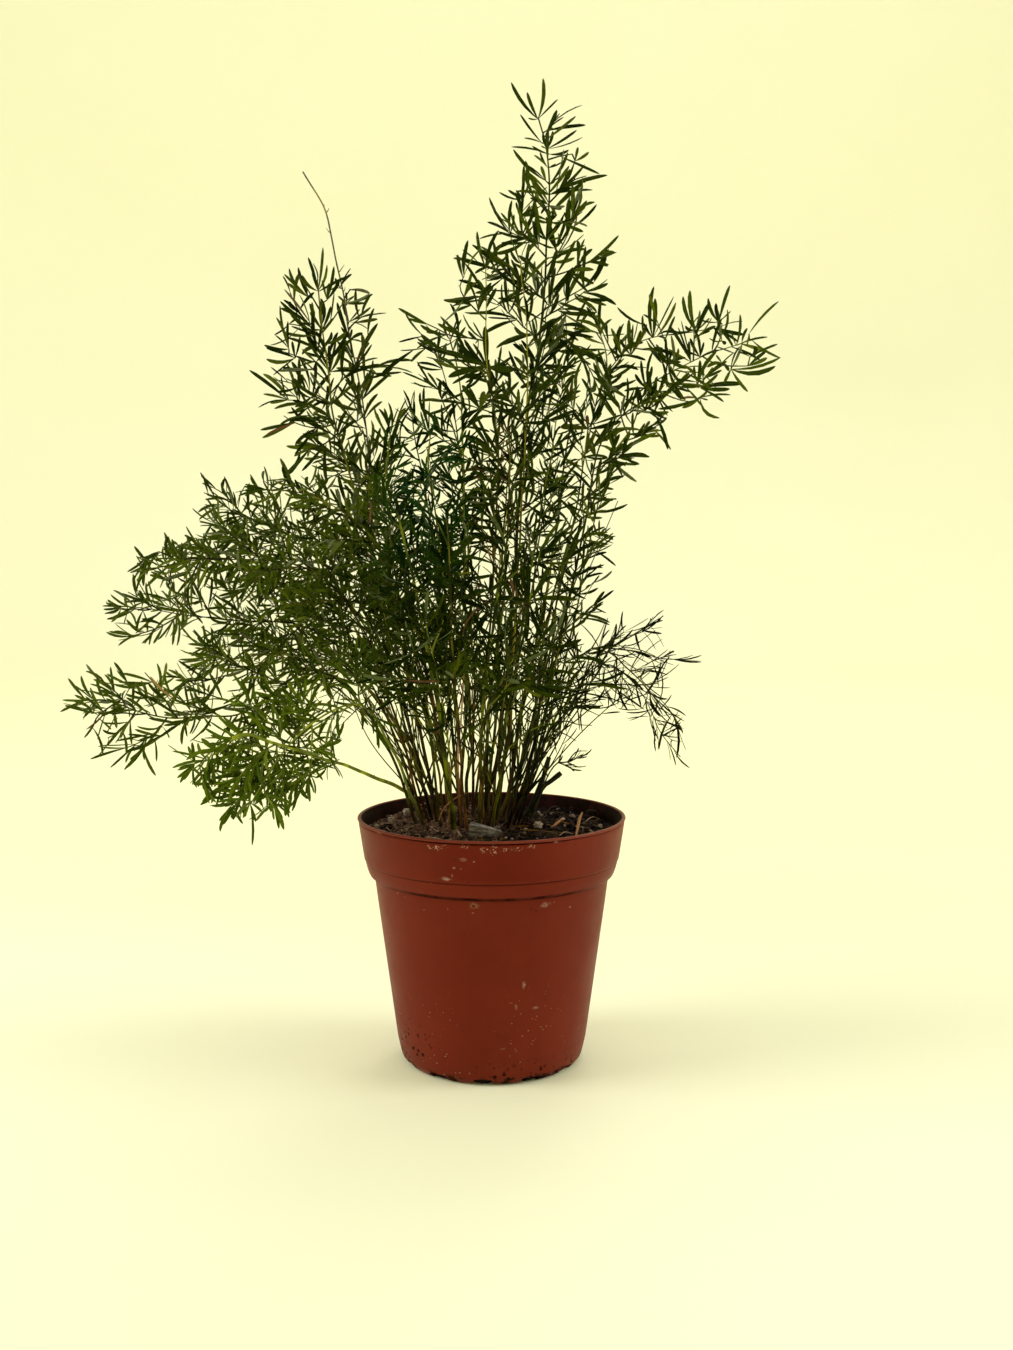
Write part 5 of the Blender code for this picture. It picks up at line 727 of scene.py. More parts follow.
def cladodes(B, P, D, L, W, h1, h2, roll, column, mat, stout=1.0):
    """Flat keeled needles, widest past the middle and pointed, all in one go.  h1 bows them in their own plane and
    h2 out of it, as shares of their length; roll is measured from facing forwards."""
    P, D = np.asarray(P, float), np.asarray(D, float)
    L, W, h1, h2, roll = (np.asarray(x, float) for x in (L, W, h1, h2, roll))
    D = D / np.linalg.norm(D, axis=1)[:, None]
    ref = np.where(np.abs(D[:, 2:3]) > 0.93, np.array([[1.0, 0, 0]]), np.array([[0, 0, 1.0]]))
    s = np.cross(D, ref)
    s /= np.linalg.norm(s, axis=1)[:, None]
    n = np.cross(s, D)
    spin = np.arctan2(s[:, 1], -n[:, 1]) + roll          # at roll 0 the face looks along -Y
    c, q = np.cos(spin)[:, None], np.sin(spin)[:, None]
    s, n = s * c + n * q, n * c - s * q
    N, R = len(P), len(LEAF_T)
    T = np.r_[0.0, LEAF_T, 1.0]
    arch = (4 * T * (1 - T))[None]
    mid = (P[:, None] + D[:, None] * (L[:, None] * T[None])[..., None]
           + s[:, None] * (L[:, None] * h1[:, None] * arch)[..., None]
           + n[:, None] * (L[:, None] * h2[:, None] * arch)[..., None])
    w = W[:, None] * LEAF_W[None]
    sect = [(-0.5, 0.06), (0.0, 0.05), (0.5, 0.06), (0.0, -0.15)]
    extra = {0.05: 0.00006, -0.15: -0.00008}
    body = mid[:, 1:-1]
    ring = np.stack([body + s[:, None] * (w * a)[..., None] + n[:, None] * ((w * b + extra.get(b, 0.0)) * stout)[..., None] for a, b in sect], 2)
    all_ = np.concatenate([mid[:, :1], ring.reshape(N, R * 4, 3), mid[:, -1:]], 1)
    f = B.verts(all_)
    per = R * 4 + 2
    base = f + np.arange(N) * per
    u_edge = np.array([0.0, 0.5, 1.0, 0.5])
    U = lambda e: (np.asarray(column)[:, None] + 0.06 + 0.88 * e) / COLUMNS
    V = 0.02 + 0.74 * T
    for i in range(R - 1):
        for k in range(4):
            j = (k + 1) % 4
            a0, a1 = base + 1 + i * 4 + k, base + 1 + i * 4 + j
            b0, b1 = a0 + 4, a1 + 4
            idx = np.stack([a0, a1, b1, b0], 1)
            uk, uj = U(u_edge[k])[:, 0], U(u_edge[j])[:, 0]
            uv = np.stack([np.stack([uk, np.full(N, V[i + 1])], 1), np.stack([uj, np.full(N, V[i + 1])], 1),
                           np.stack([uj, np.full(N, V[i + 2])], 1), np.stack([uk, np.full(N, V[i + 2])], 1)], 1)
            B.faces(idx[:, ::-1], uv[:, ::-1], mat)
    for k in range(4):
        j = (k + 1) % 4
        uk, uj, um = U(u_edge[k])[:, 0], U(u_edge[j])[:, 0], U(0.5)[:, 0]
        a0, a1 = base + 1 + k, base + 1 + j
        B.faces(np.stack([a0, base, a1], 1)[:, ::-1],
                np.stack([np.stack([uk, np.full(N, V[1])], 1), np.stack([um, np.full(N, V[0])], 1), np.stack([uj, np.full(N, V[1])], 1)], 1)[:, ::-1], mat)
        c0, c1 = base + 1 + (R - 1) * 4 + k, base + 1 + (R - 1) * 4 + j
        B.faces(np.stack([c0, c1, base + per - 1], 1)[:, ::-1],
                np.stack([np.stack([uk, np.full(N, V[R])], 1), np.stack([uj, np.full(N, V[R])], 1), np.stack([um, np.full(N, V[R + 1])], 1)], 1)[:, ::-1], mat)


# ---------------------------------------------------------------- material helpers
class Nodes:
    def __init__(self, name, rough=0.5, specular=0.5):
        self.m = bpy.data.materials.new(name)
        self.m.use_nodes = True
        self.t = self.m.node_tree
        self.bsdf = self.t.nodes["Principled BSDF"]
        self.bsdf.inputs["Roughness"].default_value = rough
        self.bsdf.inputs["Specular IOR Level"].default_value = specular

    def add(self, kind, **props):
        n = self.t.nodes.new(kind)
        for k, v in props.items():
            setattr(n, k, v)
        return n

    def put(self, value, socket):
        if isinstance(value, bpy.types.NodeSocket):
            self.t.links.new(value, socket)
        else:
            socket.default_value = value

    def math(self, op, a, b=None, c=None, clamp=False):
        n = self.add("ShaderNodeMath", operation=op, use_clamp=clamp)
        self.put(a, n.inputs[0])
        if b is not None:
            self.put(b, n.inputs[1])
        if c is not None:
            self.put(c, n.inputs[2])
        return n.outputs[0]

    def vmath(self, op, a, b=None):
        n = self.add("ShaderNodeVectorMath", operation=op)
        self.put(a, n.inputs[0])
        if b is not None:
            self.put(b, n.inputs[1])
        return n.outputs["Value"] if op in ("LENGTH", "DISTANCE", "DOT_PRODUCT") else n.outputs["Vector"]

    def place(self):
        return self.add("ShaderNodeTexCoord").outputs["Object"]

    def stretchx(self, vec):
        n = self.add("ShaderNodeSeparateXYZ")
        self.put(vec, n.inputs[0])
        return n.outputs[0]

    def noise(self, vec, scale, detail=3.0, rough=0.55, kind="3D"):
        n = self.add("ShaderNodeTexNoise", noise_dimensions=kind)
        if vec is not None:
            self.put(vec, n.inputs["Vector"])
        n.inputs["Scale"].default_value = scale
        n.inputs["Detail"].default_value = detail
        n.inputs["Roughness"].default_value = rough
        return n.outputs["Fac"]

    def voronoi(self, vec, scale, what="Distance", feature="F1", spread=1.0):
        n = self.add("ShaderNodeTexVoronoi", feature=feature)
        self.put(vec, n.inputs["Vector"])
        n.inputs["Scale"].default_value = scale
        n.inputs["Randomness"].default_value = spread
        return n.outputs[what]

    def stretch(self, vec, scale, turn=(0, 0, 0), move=(0, 0, 0)):
        n = self.add("ShaderNodeMapping")
        self.put(vec, n.inputs["Vector"])
        n.inputs["Scale"].default_value = scale
        n.inputs["Rotation"].default_value = turn
        n.inputs["Location"].default_value = move
        return n.outputs[0]

    def between(self, x, a, b, c=0.0, d=1.0, smooth=True):
        n = self.add("ShaderNodeMapRange", clamp=True)
        if smooth:
            n.interpolation_type = "SMOOTHSTEP"
        self.put(x, n.inputs[0])
        for k, v in zip((1, 2, 3, 4), (a, b, c, d)):
            self.put(v, n.inputs[k])
        return n.outputs[0]

    def ramp(self, x, stops, kind="LINEAR"):
        n = self.add("ShaderNodeValToRGB")
        n.color_ramp.interpolation = kind
        e = n.color_ramp.elements
        while len(e) < len(stops):
            e.new(0.5)
        for el, (at, colour) in zip(e, stops):
            el.position = at
            el.color = (*colour, 1.0)
        self.put(x, n.inputs[0])
        return n.outputs[0]

    def mix(self, fac, a, b, kind="MIX"):
        n = self.add("ShaderNodeMix", data_type="RGBA", blend_type=kind)
        self.put(fac, n.inputs[0])
        self.put(a if isinstance(a, bpy.types.NodeSocket) else (*a, 1.0), n.inputs[6])
        self.put(b if isinstance(b, bpy.types.NodeSocket) else (*b, 1.0), n.inputs[7])
        return n.outputs[2]

    def bump(self, height, strength, distance):
        n = self.add("ShaderNodeBump")
        n.inputs["Strength"].default_value = strength
        n.inputs["Distance"].default_value = distance
        self.put(height, n.inputs["Height"])
        self.put(n.outputs[0], self.bsdf.inputs["Normal"])

    def colour(self, c):
        self.put(c, self.bsdf.inputs["Base Color"])
        return self.m

    def leaf_map(self):
        n = self.add("ShaderNodeUVMap", uv_map="OFBake")
        s = self.add("ShaderNodeSeparateXYZ")
        self.put(n.outputs[0], s.inputs[0])
        return s.outputs[0], s.outputs[1]

    def pack(self, x, y, z=0.0):
        n = self.add("ShaderNodeCombineXYZ")
        for v, s in zip((x, y, z), n.inputs):
            self.put(v, s)
        return n.outputs[0]


# ---------------------------------------------------------------- foliage materials
def cladode_material(name, stops, base, tip, rough=0.52, patchy=0.5):
    """Colour by a number drawn per needle (its column in the map), along it and across it."""
    k = Nodes(name, rough, 0.012)
    u, v = k.leaf_map()
    col = k.math("FLOOR", k.math("MULTIPLY", u, float(COLUMNS)))
    across = k.math("FRACT", k.math("MULTIPLY", u, float(COLUMNS)))
    along = k.math("DIVIDE", k.math("SUBTRACT", v, 0.02), 0.74)
    c = k.ramp(k.math("DIVIDE", col, COLUMNS - 1.0), stops, "LINEAR")
    mott = k.noise(k.pack(k.math("MULTIPLY", u, 42.0), k.math("MULTIPLY", v, 16.0)), 1.0, 3.0, 0.6)
    c = k.mix(k.between(mott, 0.35, 0.7, 0.0, 0.45), c, [x * 0.55 for x in stops[0][1]])
    off = k.math("ABSOLUTE", k.math("SUBTRACT", across, 0.5))
    c = k.mix(k.between(off, 0.10, 0.02, 0.0, 0.35), c, [min(1, x * 1.8 + 0.002) for x in stops[1][1]])   # midrib
    c = k.mix(k.between(off, 0.36, 0.46, 0.0, 0.30), c, [x * 0.6 for x in stops[0][1]])
    c = k.mix(k.between(along, 0.22, 0.0, 0.0, 0.55), c, base)
    c = k.mix(k.between(along, 0.93, 1.0, 0.0, 0.8), c, tip)
    plain = c
    patch = k.noise(k.place(), 26.0, 2.0, 0.5)
    c = k.mix(k.between(patch, 0.36, 0.50, patchy, 0.0), c, k.mix(1.0, c, (0.34, 0.42, 0.34), "MULTIPLY"))
    c = k.mix(k.between(patch, 0.52, 0.66, 0.0, 0.6), c, k.mix(1.0, c, (1.65, 1.62, 1.30), "MULTIPLY"))
    at = k.add("ShaderNodeSeparateXYZ")
    k.put(k.place(), at.inputs[0])
    across = k.math("MULTIPLY", k.between(at.outputs[0], -0.046, -0.032), k.between(at.outputs[0], -0.002, -0.014))
    blue = k.math("MULTIPLY", across, k.math("MULTIPLY", k.between(at.outputs[2], 0.186, 0.206), k.between(at.outputs[2], 0.262, 0.246)))
    c = k.mix(blue, c, k.mix(1.0, c, (0.62, 0.96, 1.25), "MULTIPLY"))
    # painted shade: needles in the crown's core, left of the middle and from mid height up, are darkened
    deep = k.math("MULTIPLY", k.between(at.outputs[0], -0.048, -0.020), k.between(at.outputs[2], 0.245, 0.185))
    c = k.mix(deep, c, k.mix(1.0, c, (0.58, 0.58, 0.38), "MULTIPLY"))
    # painted light: needles on the crown's far left, around mid height, are lightened
    c = k.mix(k.math("MULTIPLY", k.between(at.outputs[0], -0.044, -0.066), k.math("MULTIPLY", k.between(at.outputs[2], 0.225, 0.200), k.between(at.outputs[2], 0.125, 0.165, 0.35, 1.0))), c, k.mix(1.0, c, (1.40, 1.38, 1.35), "MULTIPLY"))
    # the few pale needles, partly their pale side and partly a painted highlight standing in for glints, mostly skip
    # the patches and the painted shade and painted light above
    c = k.mix(k.between(k.math("DIVIDE", col, COLUMNS - 1.0), 0.945, 0.960, 0.0, 0.8), c, plain)
    k.put(k.between(mott, 0.3, 0.7, rough - 0.07, rough + 0.10), k.bsdf.inputs["Roughness"])
    return k.colour(c)


def stem_material(name, foot, low, high, rough=0.5, patchy=0.85):
    """Colour along the stem from foot to tip, streaked lengthwise."""
    k = Nodes(name, rough, 0.03)
    u, v = k.leaf_map()
    s = k.math("DIVIDE", k.math("SUBTRACT", v, 0.80), 0.18)
    # the foot colour is partly the stem's own brown base and partly painted shade near the soil; at the very foot it is
    # halved, more painted shade
    c = k.ramp(s, [(0.0, [x * 0.5 for x in foot]), (0.04, foot), (0.15, low), (0.42, high), (1.0, high)])
    patch = k.noise(k.stretch(k.place(), (150, 150, 14)), 1.0, 2.0, 0.5)
    c = k.mix(k.between(patch, 0.43, 0.53, patchy, 0.0), c, k.mix(1.0, c, (0.17, 0.18, 0.14), "MULTIPLY"))
    c = k.mix(k.between(patch, 0.52, 0.63, 0.0, 0.9), c, k.mix(1.0, c, (2.4, 2.20, 1.2), "MULTIPLY"))
    streak = k.noise(k.pack(k.math("MULTIPLY", u, 14.0), k.math("MULTIPLY", v, 26.0)), 1.0, 3.0, 0.6)
    c = k.mix(k.between(streak, 0.42, 0.66, 0.0, 0.55), c, [x * 0.45 for x in low])
    blot = k.noise(k.pack(k.math("MULTIPLY", u, 5.0), k.math("MULTIPLY", v, 90.0), 3.3), 1.0, 2.0, 0.5)
    c = k.mix(k.math("MULTIPLY", k.between(blot, 0.56, 0.70), k.between(s, 0.35, 0.0)), c, (0.115, 0.052, 0.020))
    return k.colour(c)


# the last stop of most of these ramps, taken by one column in sixteen, is a pale grey-green: partly the needles' pale
# side, partly a painted highlight standing in for glints
DARK = [(0.00, (0.008, 0.015, 0.0015)), (0.35, (0.021, 0.034, 0.0025)), (0.70, (0.044, 0.064, 0.004)), (0.90, (0.076, 0.102, 0.006)), (0.94, (0.088, 0.108, 0.012)), (1.0, (0.145, 0.165, 0.080))]
LIGHT = [(0.00, (0.023, 0.038, 0.0025)), (0.40, (0.042, 0.064, 0.004)), (0.70, (0.060, 0.085, 0.005)), (0.90, (0.086, 0.112, 0.008)), (0.94, (0.098, 0.120, 0.014)), (1.0, (0.150, 0.170, 0.085))]
OLIVE = [(0.00, (0.018, 0.028, 0.003)), (0.40, (0.038, 0.053, 0.005)), (0.70, (0.062, 0.080, 0.008)), (0.90, (0.094, 0.114, 0.012)), (0.94, (0.100, 0.106, 0.020)), (1.0, (0.150, 0.160, 0.085))]
FRESH = [(0.00, (0.014, 0.026, 0.002)), (0.40, (0.032, 0.052, 0.003)), (0.70, (0.062, 0.092, 0.004)), (0.90, (0.108, 0.136, 0.007)), (0.94, (0.130, 0.140, 0.014)), (1.0, (0.155, 0.175, 0.065))]
YOUNG = [(0.00, (0.036, 0.058, 0.004)), (0.40, (0.050, 0.080, 0.004)), (0.70, (0.070, 0.106, 0.005)), (0.90, (0.096, 0.136, 0.008)), (0.94, (0.110, 0.144, 0.014)), (1.0, (0.120, 0.150, 0.030))]
DEEP = [(0.00, (0.004, 0.016, 0.003)), (0.40, (0.010, 0.032, 0.005)), (0.70, (0.020, 0.052, 0.007)), (0.90, (0.036, 0.072, 0.010)), (0.94, (0.060, 0.086, 0.020)), (1.0, (0.115, 0.135, 0.080))]
BROWNED = [(0.00, (0.022, 0.026, 0.004)), (0.35, (0.044, 0.040, 0.007)), (0.60, (0.072, 0.046, 0.013)), (0.85, (0.104, 0.056, 0.020)), (1.0, (0.056, 0.062, 0.014))]
BLADE = [
    cladode_material("cladode_dark", DARK, (0.075, 0.085, 0.018), (0.040, 0.030, 0.012)),
    cladode_material("cladode_olive", OLIVE, (0.085, 0.085, 0.024), (0.060, 0.035, 0.018)),
    cladode_material("cladode_fresh", FRESH, (0.105, 0.115, 0.022), (0.050, 0.035, 0.012)),
    cladode_material("cladode_young", YOUNG, (0.120, 0.150, 0.030), (0.070, 0.060, 0.020)),
    cladode_material("cladode_browned", BROWNED, (0.090, 0.070, 0.024), (0.080, 0.040, 0.016)),
]
# darker copies of the ramps for the fronds in the core of the crown (core, inner olive, inner): painted shade
SHADED_CORE_BLADE = cladode_material("cladode_core", [(at, (r * (0.72 - 0.14 * at), g * (0.80 - 0.14 * at), b * 0.45)) for at, (r, g, b) in DARK], (0.060, 0.070, 0.012), (0.034, 0.026, 0.010))
LIGHTLEAF = cladode_material("cladode_light", LIGHT, (0.085, 0.095, 0.016), (0.050, 0.035, 0.014), patchy=0.25)
THINLEAF = cladode_material("cladode_thin", [(at, (r * 0.33, g * 0.31, b * 0.40)) for at, (r, g, b) in DARK], (0.050, 0.050, 0.014), (0.034, 0.024, 0.012))
SHADED_MIDDLE_OLIVE = cladode_material("cladode_inner_olive", [(at, (r * (0.72 - 0.10 * at), g * (0.72 - 0.06 * at), b * 0.6)) for at, (r, g, b) in OLIVE], (0.070, 0.070, 0.012), (0.050, 0.030, 0.012))
SHADED_MIDDLE_FRESH = cladode_material("cladode_inner", [(at, (r * (0.92 - 0.22 * at), g * (0.92 - 0.16 * at), b * 0.8)) for at, (r, g, b) in FRESH], (0.070, 0.080, 0.012), (0.040, 0.030, 0.012))
DEEPLEAF = cladode_material("cladode_deep", DEEP, (0.050, 0.075, 0.016), (0.030, 0.030, 0.012))
DEADLEAF = cladode_material("cladode_dead", [(0.0, (0.105, 0.050, 0.020)), (0.4, (0.160, 0.075, 0.030)), (0.7, (0.200, 0.115, 0.055)), (0.9, (0.190, 0.140, 0.085)), (1.0, (0.110, 0.060, 0.028))], (0.10, 0.05, 0.022), (0.07, 0.035, 0.015), 0.7)
SHOOT = [
    stem_material("stem_dark", (0.050, 0.030, 0.010), (0.048, 0.050, 0.008), (0.040, 0.051, 0.006)),
    stem_material("stem_olive", (0.120, 0.058, 0.022), (0.095, 0.070, 0.022), (0.052, 0.054, 0.014)),
    stem_material("stem_fresh", (0.070, 0.050, 0.016), (0.080, 0.085, 0.016), (0.066, 0.080, 0.014)),
    stem_material("stem_young", (0.090, 0.080, 0.020), (0.110, 0.130, 0.022), (0.105, 0.135, 0.022)),
    stem_material("stem_browned", (0.120, 0.055, 0.020), (0.110, 0.060, 0.022), (0.070, 0.052, 0.018)),
]
# main stems differ from one another: old ones blackish or rusty, younger ones green
STEM = {
    "black": stem_material("stem_blackish", (0.012, 0.009, 0.005), (0.016, 0.018, 0.005), (0.030, 0.036, 0.006)),
    "green": stem_material("stem_green", (0.036, 0.030, 0.006), (0.062, 0.076, 0.005), (0.058, 0.076, 0.006)),
    "bright": stem_material("stem_bright", (0.060, 0.054, 0.008), (0.100, 0.126, 0.010), (0.080, 0.100, 0.010)),
    "rust": stem_material("stem_rust", (0.095, 0.036, 0.010), (0.190, 0.082, 0.020), (0.062, 0.064, 0.009)),
    "gold": stem_material("stem_gold", (0.060, 0.032, 0.008), (0.170, 0.112, 0.016), (0.100, 0.100, 0.010)),
    "grey": stem_material("stem_grey", (0.020, 0.015, 0.008), (0.045, 0.045, 0.014), (0.130, 0.104, 0.066), patchy=0.2),
    "lime": stem_material("stem_lime", (0.046, 0.034, 0.009), (0.250, 0.290, 0.040), (0.190, 0.230, 0.026), patchy=0.15),
}
STEM_OF = {"l5": "lime", "l6": "lime", "a3": "grey", "a1": "green", "r1": "bright", "r3": "green", "c8": "rust", "c9": "bright", "l2": "rust", "l11": "rust", "l3": "black",
           "l10": "rust", "c1": "bright", "c17": "rust", "r4": "black", "r5": "black", "d1": "black", "d2": "black", "c14": "green", "c12": "gold", "c6": "gold", "c20": "rust",
           "c2": "rust", "c4": "green", "c3": "bright"}
SCALE = stem_material("node_scale", (0.16, 0.085, 0.035), (0.14, 0.075, 0.03), (0.12, 0.066, 0.028), 0.75)
SLOTS_OF = ["foliage_dark", "foliage_olive", "foliage_fresh", "foliage_young", "foliage_browned"]


# ---------------------------------------------------------------- fronds
def stem_radius(row, f):
    return max({"a3": 0.00052, "l5": 0.00062}.get(row[0], 0.00030), row[3] / 1000 * (1 - 0.70 * f))


fronds = grow()
leaves = leaf_out(fronds)
by_frond = [[] for _ in fronds]
for lf in leaves:
    by_frond[lf[9]].append(lf)
# stems that are seen whole: no needle drawn at random stands in front of them
CLEAR = []


def keep_clear(path, box, wide, keep):
    path = smooth_path(list(path), 0.0008)
    flat = seen(path)
    pick = (flat[:, 0] > box[0]) & (flat[:, 0] < box[2]) & (flat[:, 1] > box[1]) & (flat[:, 1] < box[3])
    CLEAR.append((flat[pick], path[pick][:, 1], box, wide, keep))


def hides(p, q, rnd):
    """Whether something thin that runs from p to q would hide such a stem."""
    w = seen(p + (q - p) * np.linspace(0, 1, 15)[:, None])
    for flat, deep, box, wide, keep in CLEAR:
        if w[:, 0].max() < box[0] or w[:, 0].min() > box[2] or w[:, 1].max() < box[1] or w[:, 1].min() > box[3]:
            continue
        gap = np.hypot(flat[:, 0][:, None] - w[None, :, 0], flat[:, 1][:, None] - w[None, :, 1])
        i, j = np.unravel_index(int(np.argmin(gap)), gap.shape)
        if gap[i, j] < wide and (p + (q - p) * j / 14)[1] < deep[i] + 0.003 and rnd.random() > keep:
            return True
    return False


for fr in fronds:
    if fr["name"] == "l5":
        keep_clear(fr["path"], (236, 725, 412, 800), 2.8, 0.10)
    if fr["name"] == "l6":
        keep_clear(fr["path"], (292, 690, 372, 742), 2.0, 0.25)
keep_clear([np.array([DEAD[0][0][0], DEAD[0][0][1], SOIL])] + [spot(u, v, d / 1000) for u, v, d in DEAD[0][1]], (450, 672, 476, 815), 2.4, 0.10)


def nodes_of(fr):
    """Every node of a frond: its place, heading, and how far along the frond it is."""
    rows = []
    for p, t in [(fr["path"], fr["t"])] + [(tw["path"], frames(tw["path"])[0]) for tw in fr["twigs"]]:
        rows += [(q, h) for q, h in zip(p, t)]
    return rows


# a needle runs out to each tip of the crown's outline
ALL_P, ALL_T, ALL_K = [], [], []
for k, fr in enumerate(fronds):
    start = int(len(fr["path"]) * max(0.45, fr["row"][4]))
    for q, h in nodes_of(fr)[start:]:
        ALL_P.append(q)
        ALL_T.append(h)
        ALL_K.append(k)
ALL_P, ALL_T, ALL_K = np.array(ALL_P), np.array(ALL_T), np.array(ALL_K)
FLAT_P, FLAT_T = seen(ALL_P), seen(ALL_P + ALL_T * 0.002)
HEAD_T = FLAT_T - FLAT_P
HEAD_T /= np.linalg.norm(HEAD_T, axis=1)[:, None] + 1e-9
rnd = random.Random(5)
for a, b, c in zip(CROWN[-1:] + CROWN[:-1], CROWN, CROWN[1:] + CROWN[:1]):
    turn = (b[0] - a[0]) * (c[1] - b[1]) - (b[1] - a[1]) * (c[0] - b[0])
    if turn <= 0 or b[1] > 838 or any(q[0] < b[0] < q[2] and q[1] < b[1] < q[3] for q in PLACED):
        continue
    away = np.array(b, float)[None] - FLAT_P
    dist = np.linalg.norm(away, axis=1)
    along = (away * HEAD_T).sum(1) / (dist + 1e-9)
    want = np.array([FRONDS[q][7] for q in ALL_K]) * 2.45
    cost = abs(dist / want - 0.95) + 0.5 * (1 - along) + 3.0 * ((dist > want * 1.35) | (dist < want * 0.5))
    for i in np.argsort(cost)[:12]:
        if cost[i] > 2.5:
            break
        tip = spot(b[0], b[1], ALL_P[i][1] + rnd.uniform(-0.002, 0.002))
        if within(tip) and inside(ALL_P[i] * 0.5 + tip * 0.5) and inside(ALL_P[i] * 0.2 + tip * 0.8) and np.linalg.norm(tip - ALL_P[i]) < 0.024:
            k = int(ALL_K[i])
            ln = float(np.linalg.norm(tip - ALL_P[i]))
            by_frond[k].append((ALL_P[i], (tip - ALL_P[i]) / ln, ln, FRONDS[k][8] / 1000 * rnd.uniform(0.72, 0.95), rnd.uniform(-1, 1), 0.0, rnd.uniform(-0.7, 0.7), rnd.random(), FRONDS[k][10], k))
            break


def traced_needles(k, fr, rnd):
    """The needles that were traced one by one, and the short stalks that carry them."""
    rows, stalks = [], []
    own = NEEDLES.get(fr["name"], ())
    if not own:
        return rows, stalks
    pts = np.concatenate([smooth_path(list(q), 0.001) for q in [fr["path"]] + [tw["path"] for tw in fr["twigs"]]])
    flat = seen(pts)
    for (u0, v0), tips in own:
        gap = np.hypot(flat[:, 0] - u0, flat[:, 1] - v0)
        i = int(np.argmin(gap))
        depth = pts[i][1]
        node = spot(u0, v0, depth)
        if gap[i] > 1.5:
            # rooted a little lower down, so that the stalk leaves at a slant
            down = np.hypot(flat[:, 0] - u0, flat[:, 1] - v0 - gap[i] * 0.6)
            i = int(np.argmin(down))
            node = spot(u0, v0, pts[i][1] + rnd.uniform(-1, 1) * 0.10 * gap[i] / 2490)
            depth = node[1]
            stalks.append((pts[i], node))
        for u1, v1, bow, px, *kind in tips:
            # "pale" needles take the ramps' last stop: partly a pale side, partly a painted highlight
            draw = {"pale": 0.965, "yellow": 0.88, "deep": 0.1, "dead": 2.0}[kind[0]] if kind else rnd.random() * 0.94
            reach = math.hypot(u1 - u0, v1 - v0)
            lean = rnd.uniform(-0.28, 0.28) * reach / 2490
            tip = spot(u1, v1, depth + lean)
            if not within(tip):
                tip = spot(u1, v1, depth - lean)
            mid = spot((u0 + u1) / 2 - bow * (v1 - v0) / reach, (v0 + v1) / 2 + bow * (u1 - u0) / reach, (depth + tip[1]) / 2)
            ln = float(np.linalg.norm(tip - node))
            d = (tip - node) / ln
            off = mid - (node + tip) / 2
            face = unit(np.array([0.0, -1.0, 0.0]) + d * d[1])
            side = np.cross(d, face)
            rows.append((node, d, ln, px / 2490, float(off @ side) / ln / 0.10, 0.0, rnd.uniform(-0.35, 0.35), draw, fr["row"][-1], k))
    return rows, stalks


for k, fr in enumerate(fronds):
    if fr["name"] in ("a4", "c2", "c3", "c4", "c12", "c13", "c19"):
        for node, way, long, *_ in traced_needles(k, fr, random.Random(4000 + k))[0]:
            ends = seen(np.array([node, node + way * long]))
            lo, hi = ends.min(0) - 1.5, ends.max(0) + 1.5
            keep_clear([node, node + way * long * 0.5, node + way * long], (lo[0], lo[1], hi[0], hi[1]), 1.8, 0.45)
rnd = random.Random(808)
for k in range(len(fronds)):
    by_frond[k] = [q for q in by_frond[k] if not hides(q[0], q[0] + q[1] * q[2], rnd)]

STOUT = {"c1": 1.15, "c12": 1.10, "a1": 0.95, "c19": 0.62, "c20": 0.60, "c2": 0.70, "c3": 0.85, "l2": 0.62, "l3": 0.60, "l11": 0.62, "l4": 0.70, "l5": 0.90}
# twigs without needles: frond, then points (u, v) from the frond outwards
THREADS = {
    "d2": [[(556, 716), (566, 721), (578, 724.5), (592, 725.5)], [(553, 732), (562, 733), (570, 737), (576, 741)], [(588, 674), (604, 682), (618, 694), (630, 700)]],
    "d1": [[(562, 713), (574, 703), (588, 692), (602, 684)], [(570, 706), (584, 709), (600, 716)], [(600, 656), (622, 648), (640, 650), (655, 656)],
           [(640, 682), (650, 670), (664, 662)]],
    "d3": [[(563, 700), (570, 686), (580, 670), (594, 662)], [(590, 650), (600, 634), (606, 620)], [(574, 668), (592, 674), (610, 672), (624, 660)]],
    "r4": [[(552, 690), (562, 676), (576, 668), (590, 668)], [(546, 715), (556, 702), (566, 694)]],
    "d5": [[(560, 764), (562, 752), (566, 744)], [(566, 763), (576, 752), (587, 751)], [(566, 763), (578, 767), (586, 766)]],
    "r1": [[(533, 722), (544, 712), (556, 696), (566, 680)], [(528, 742), (538, 728), (546, 712), (551, 700)]],
    "r3": [[(535, 738), (548, 722), (562, 708)]],
    "c12": [[(517, 738), (510, 716), (507, 700), (500, 690)]],
    "a2": [[(428, 770), (420, 748), (416, 722), (404, 706)], [(422, 742), (434, 722), (440, 700)]],
    "l9": [[(436, 768), (446, 744), (450, 716)]],
    "c8": [[(473, 780), (482, 752), (486, 720)], [(474, 760), (466, 736), (463, 712)]],
    "c14": [[(503, 770), (496, 742), (494, 712)], [(505, 756), (516, 730), (522, 706)]],
    "c17": [[(444, 770), (434, 748), (430, 722)]],
    "r6": [[(521, 770), (532, 742), (538, 716)]],
    "l2": [[(410, 772), (398, 752), (384, 736), (372, 728)], [(404, 746), (412, 724), (414, 704)]],
    "l3": [[(405, 770), (390, 744), (382, 716)]],
}

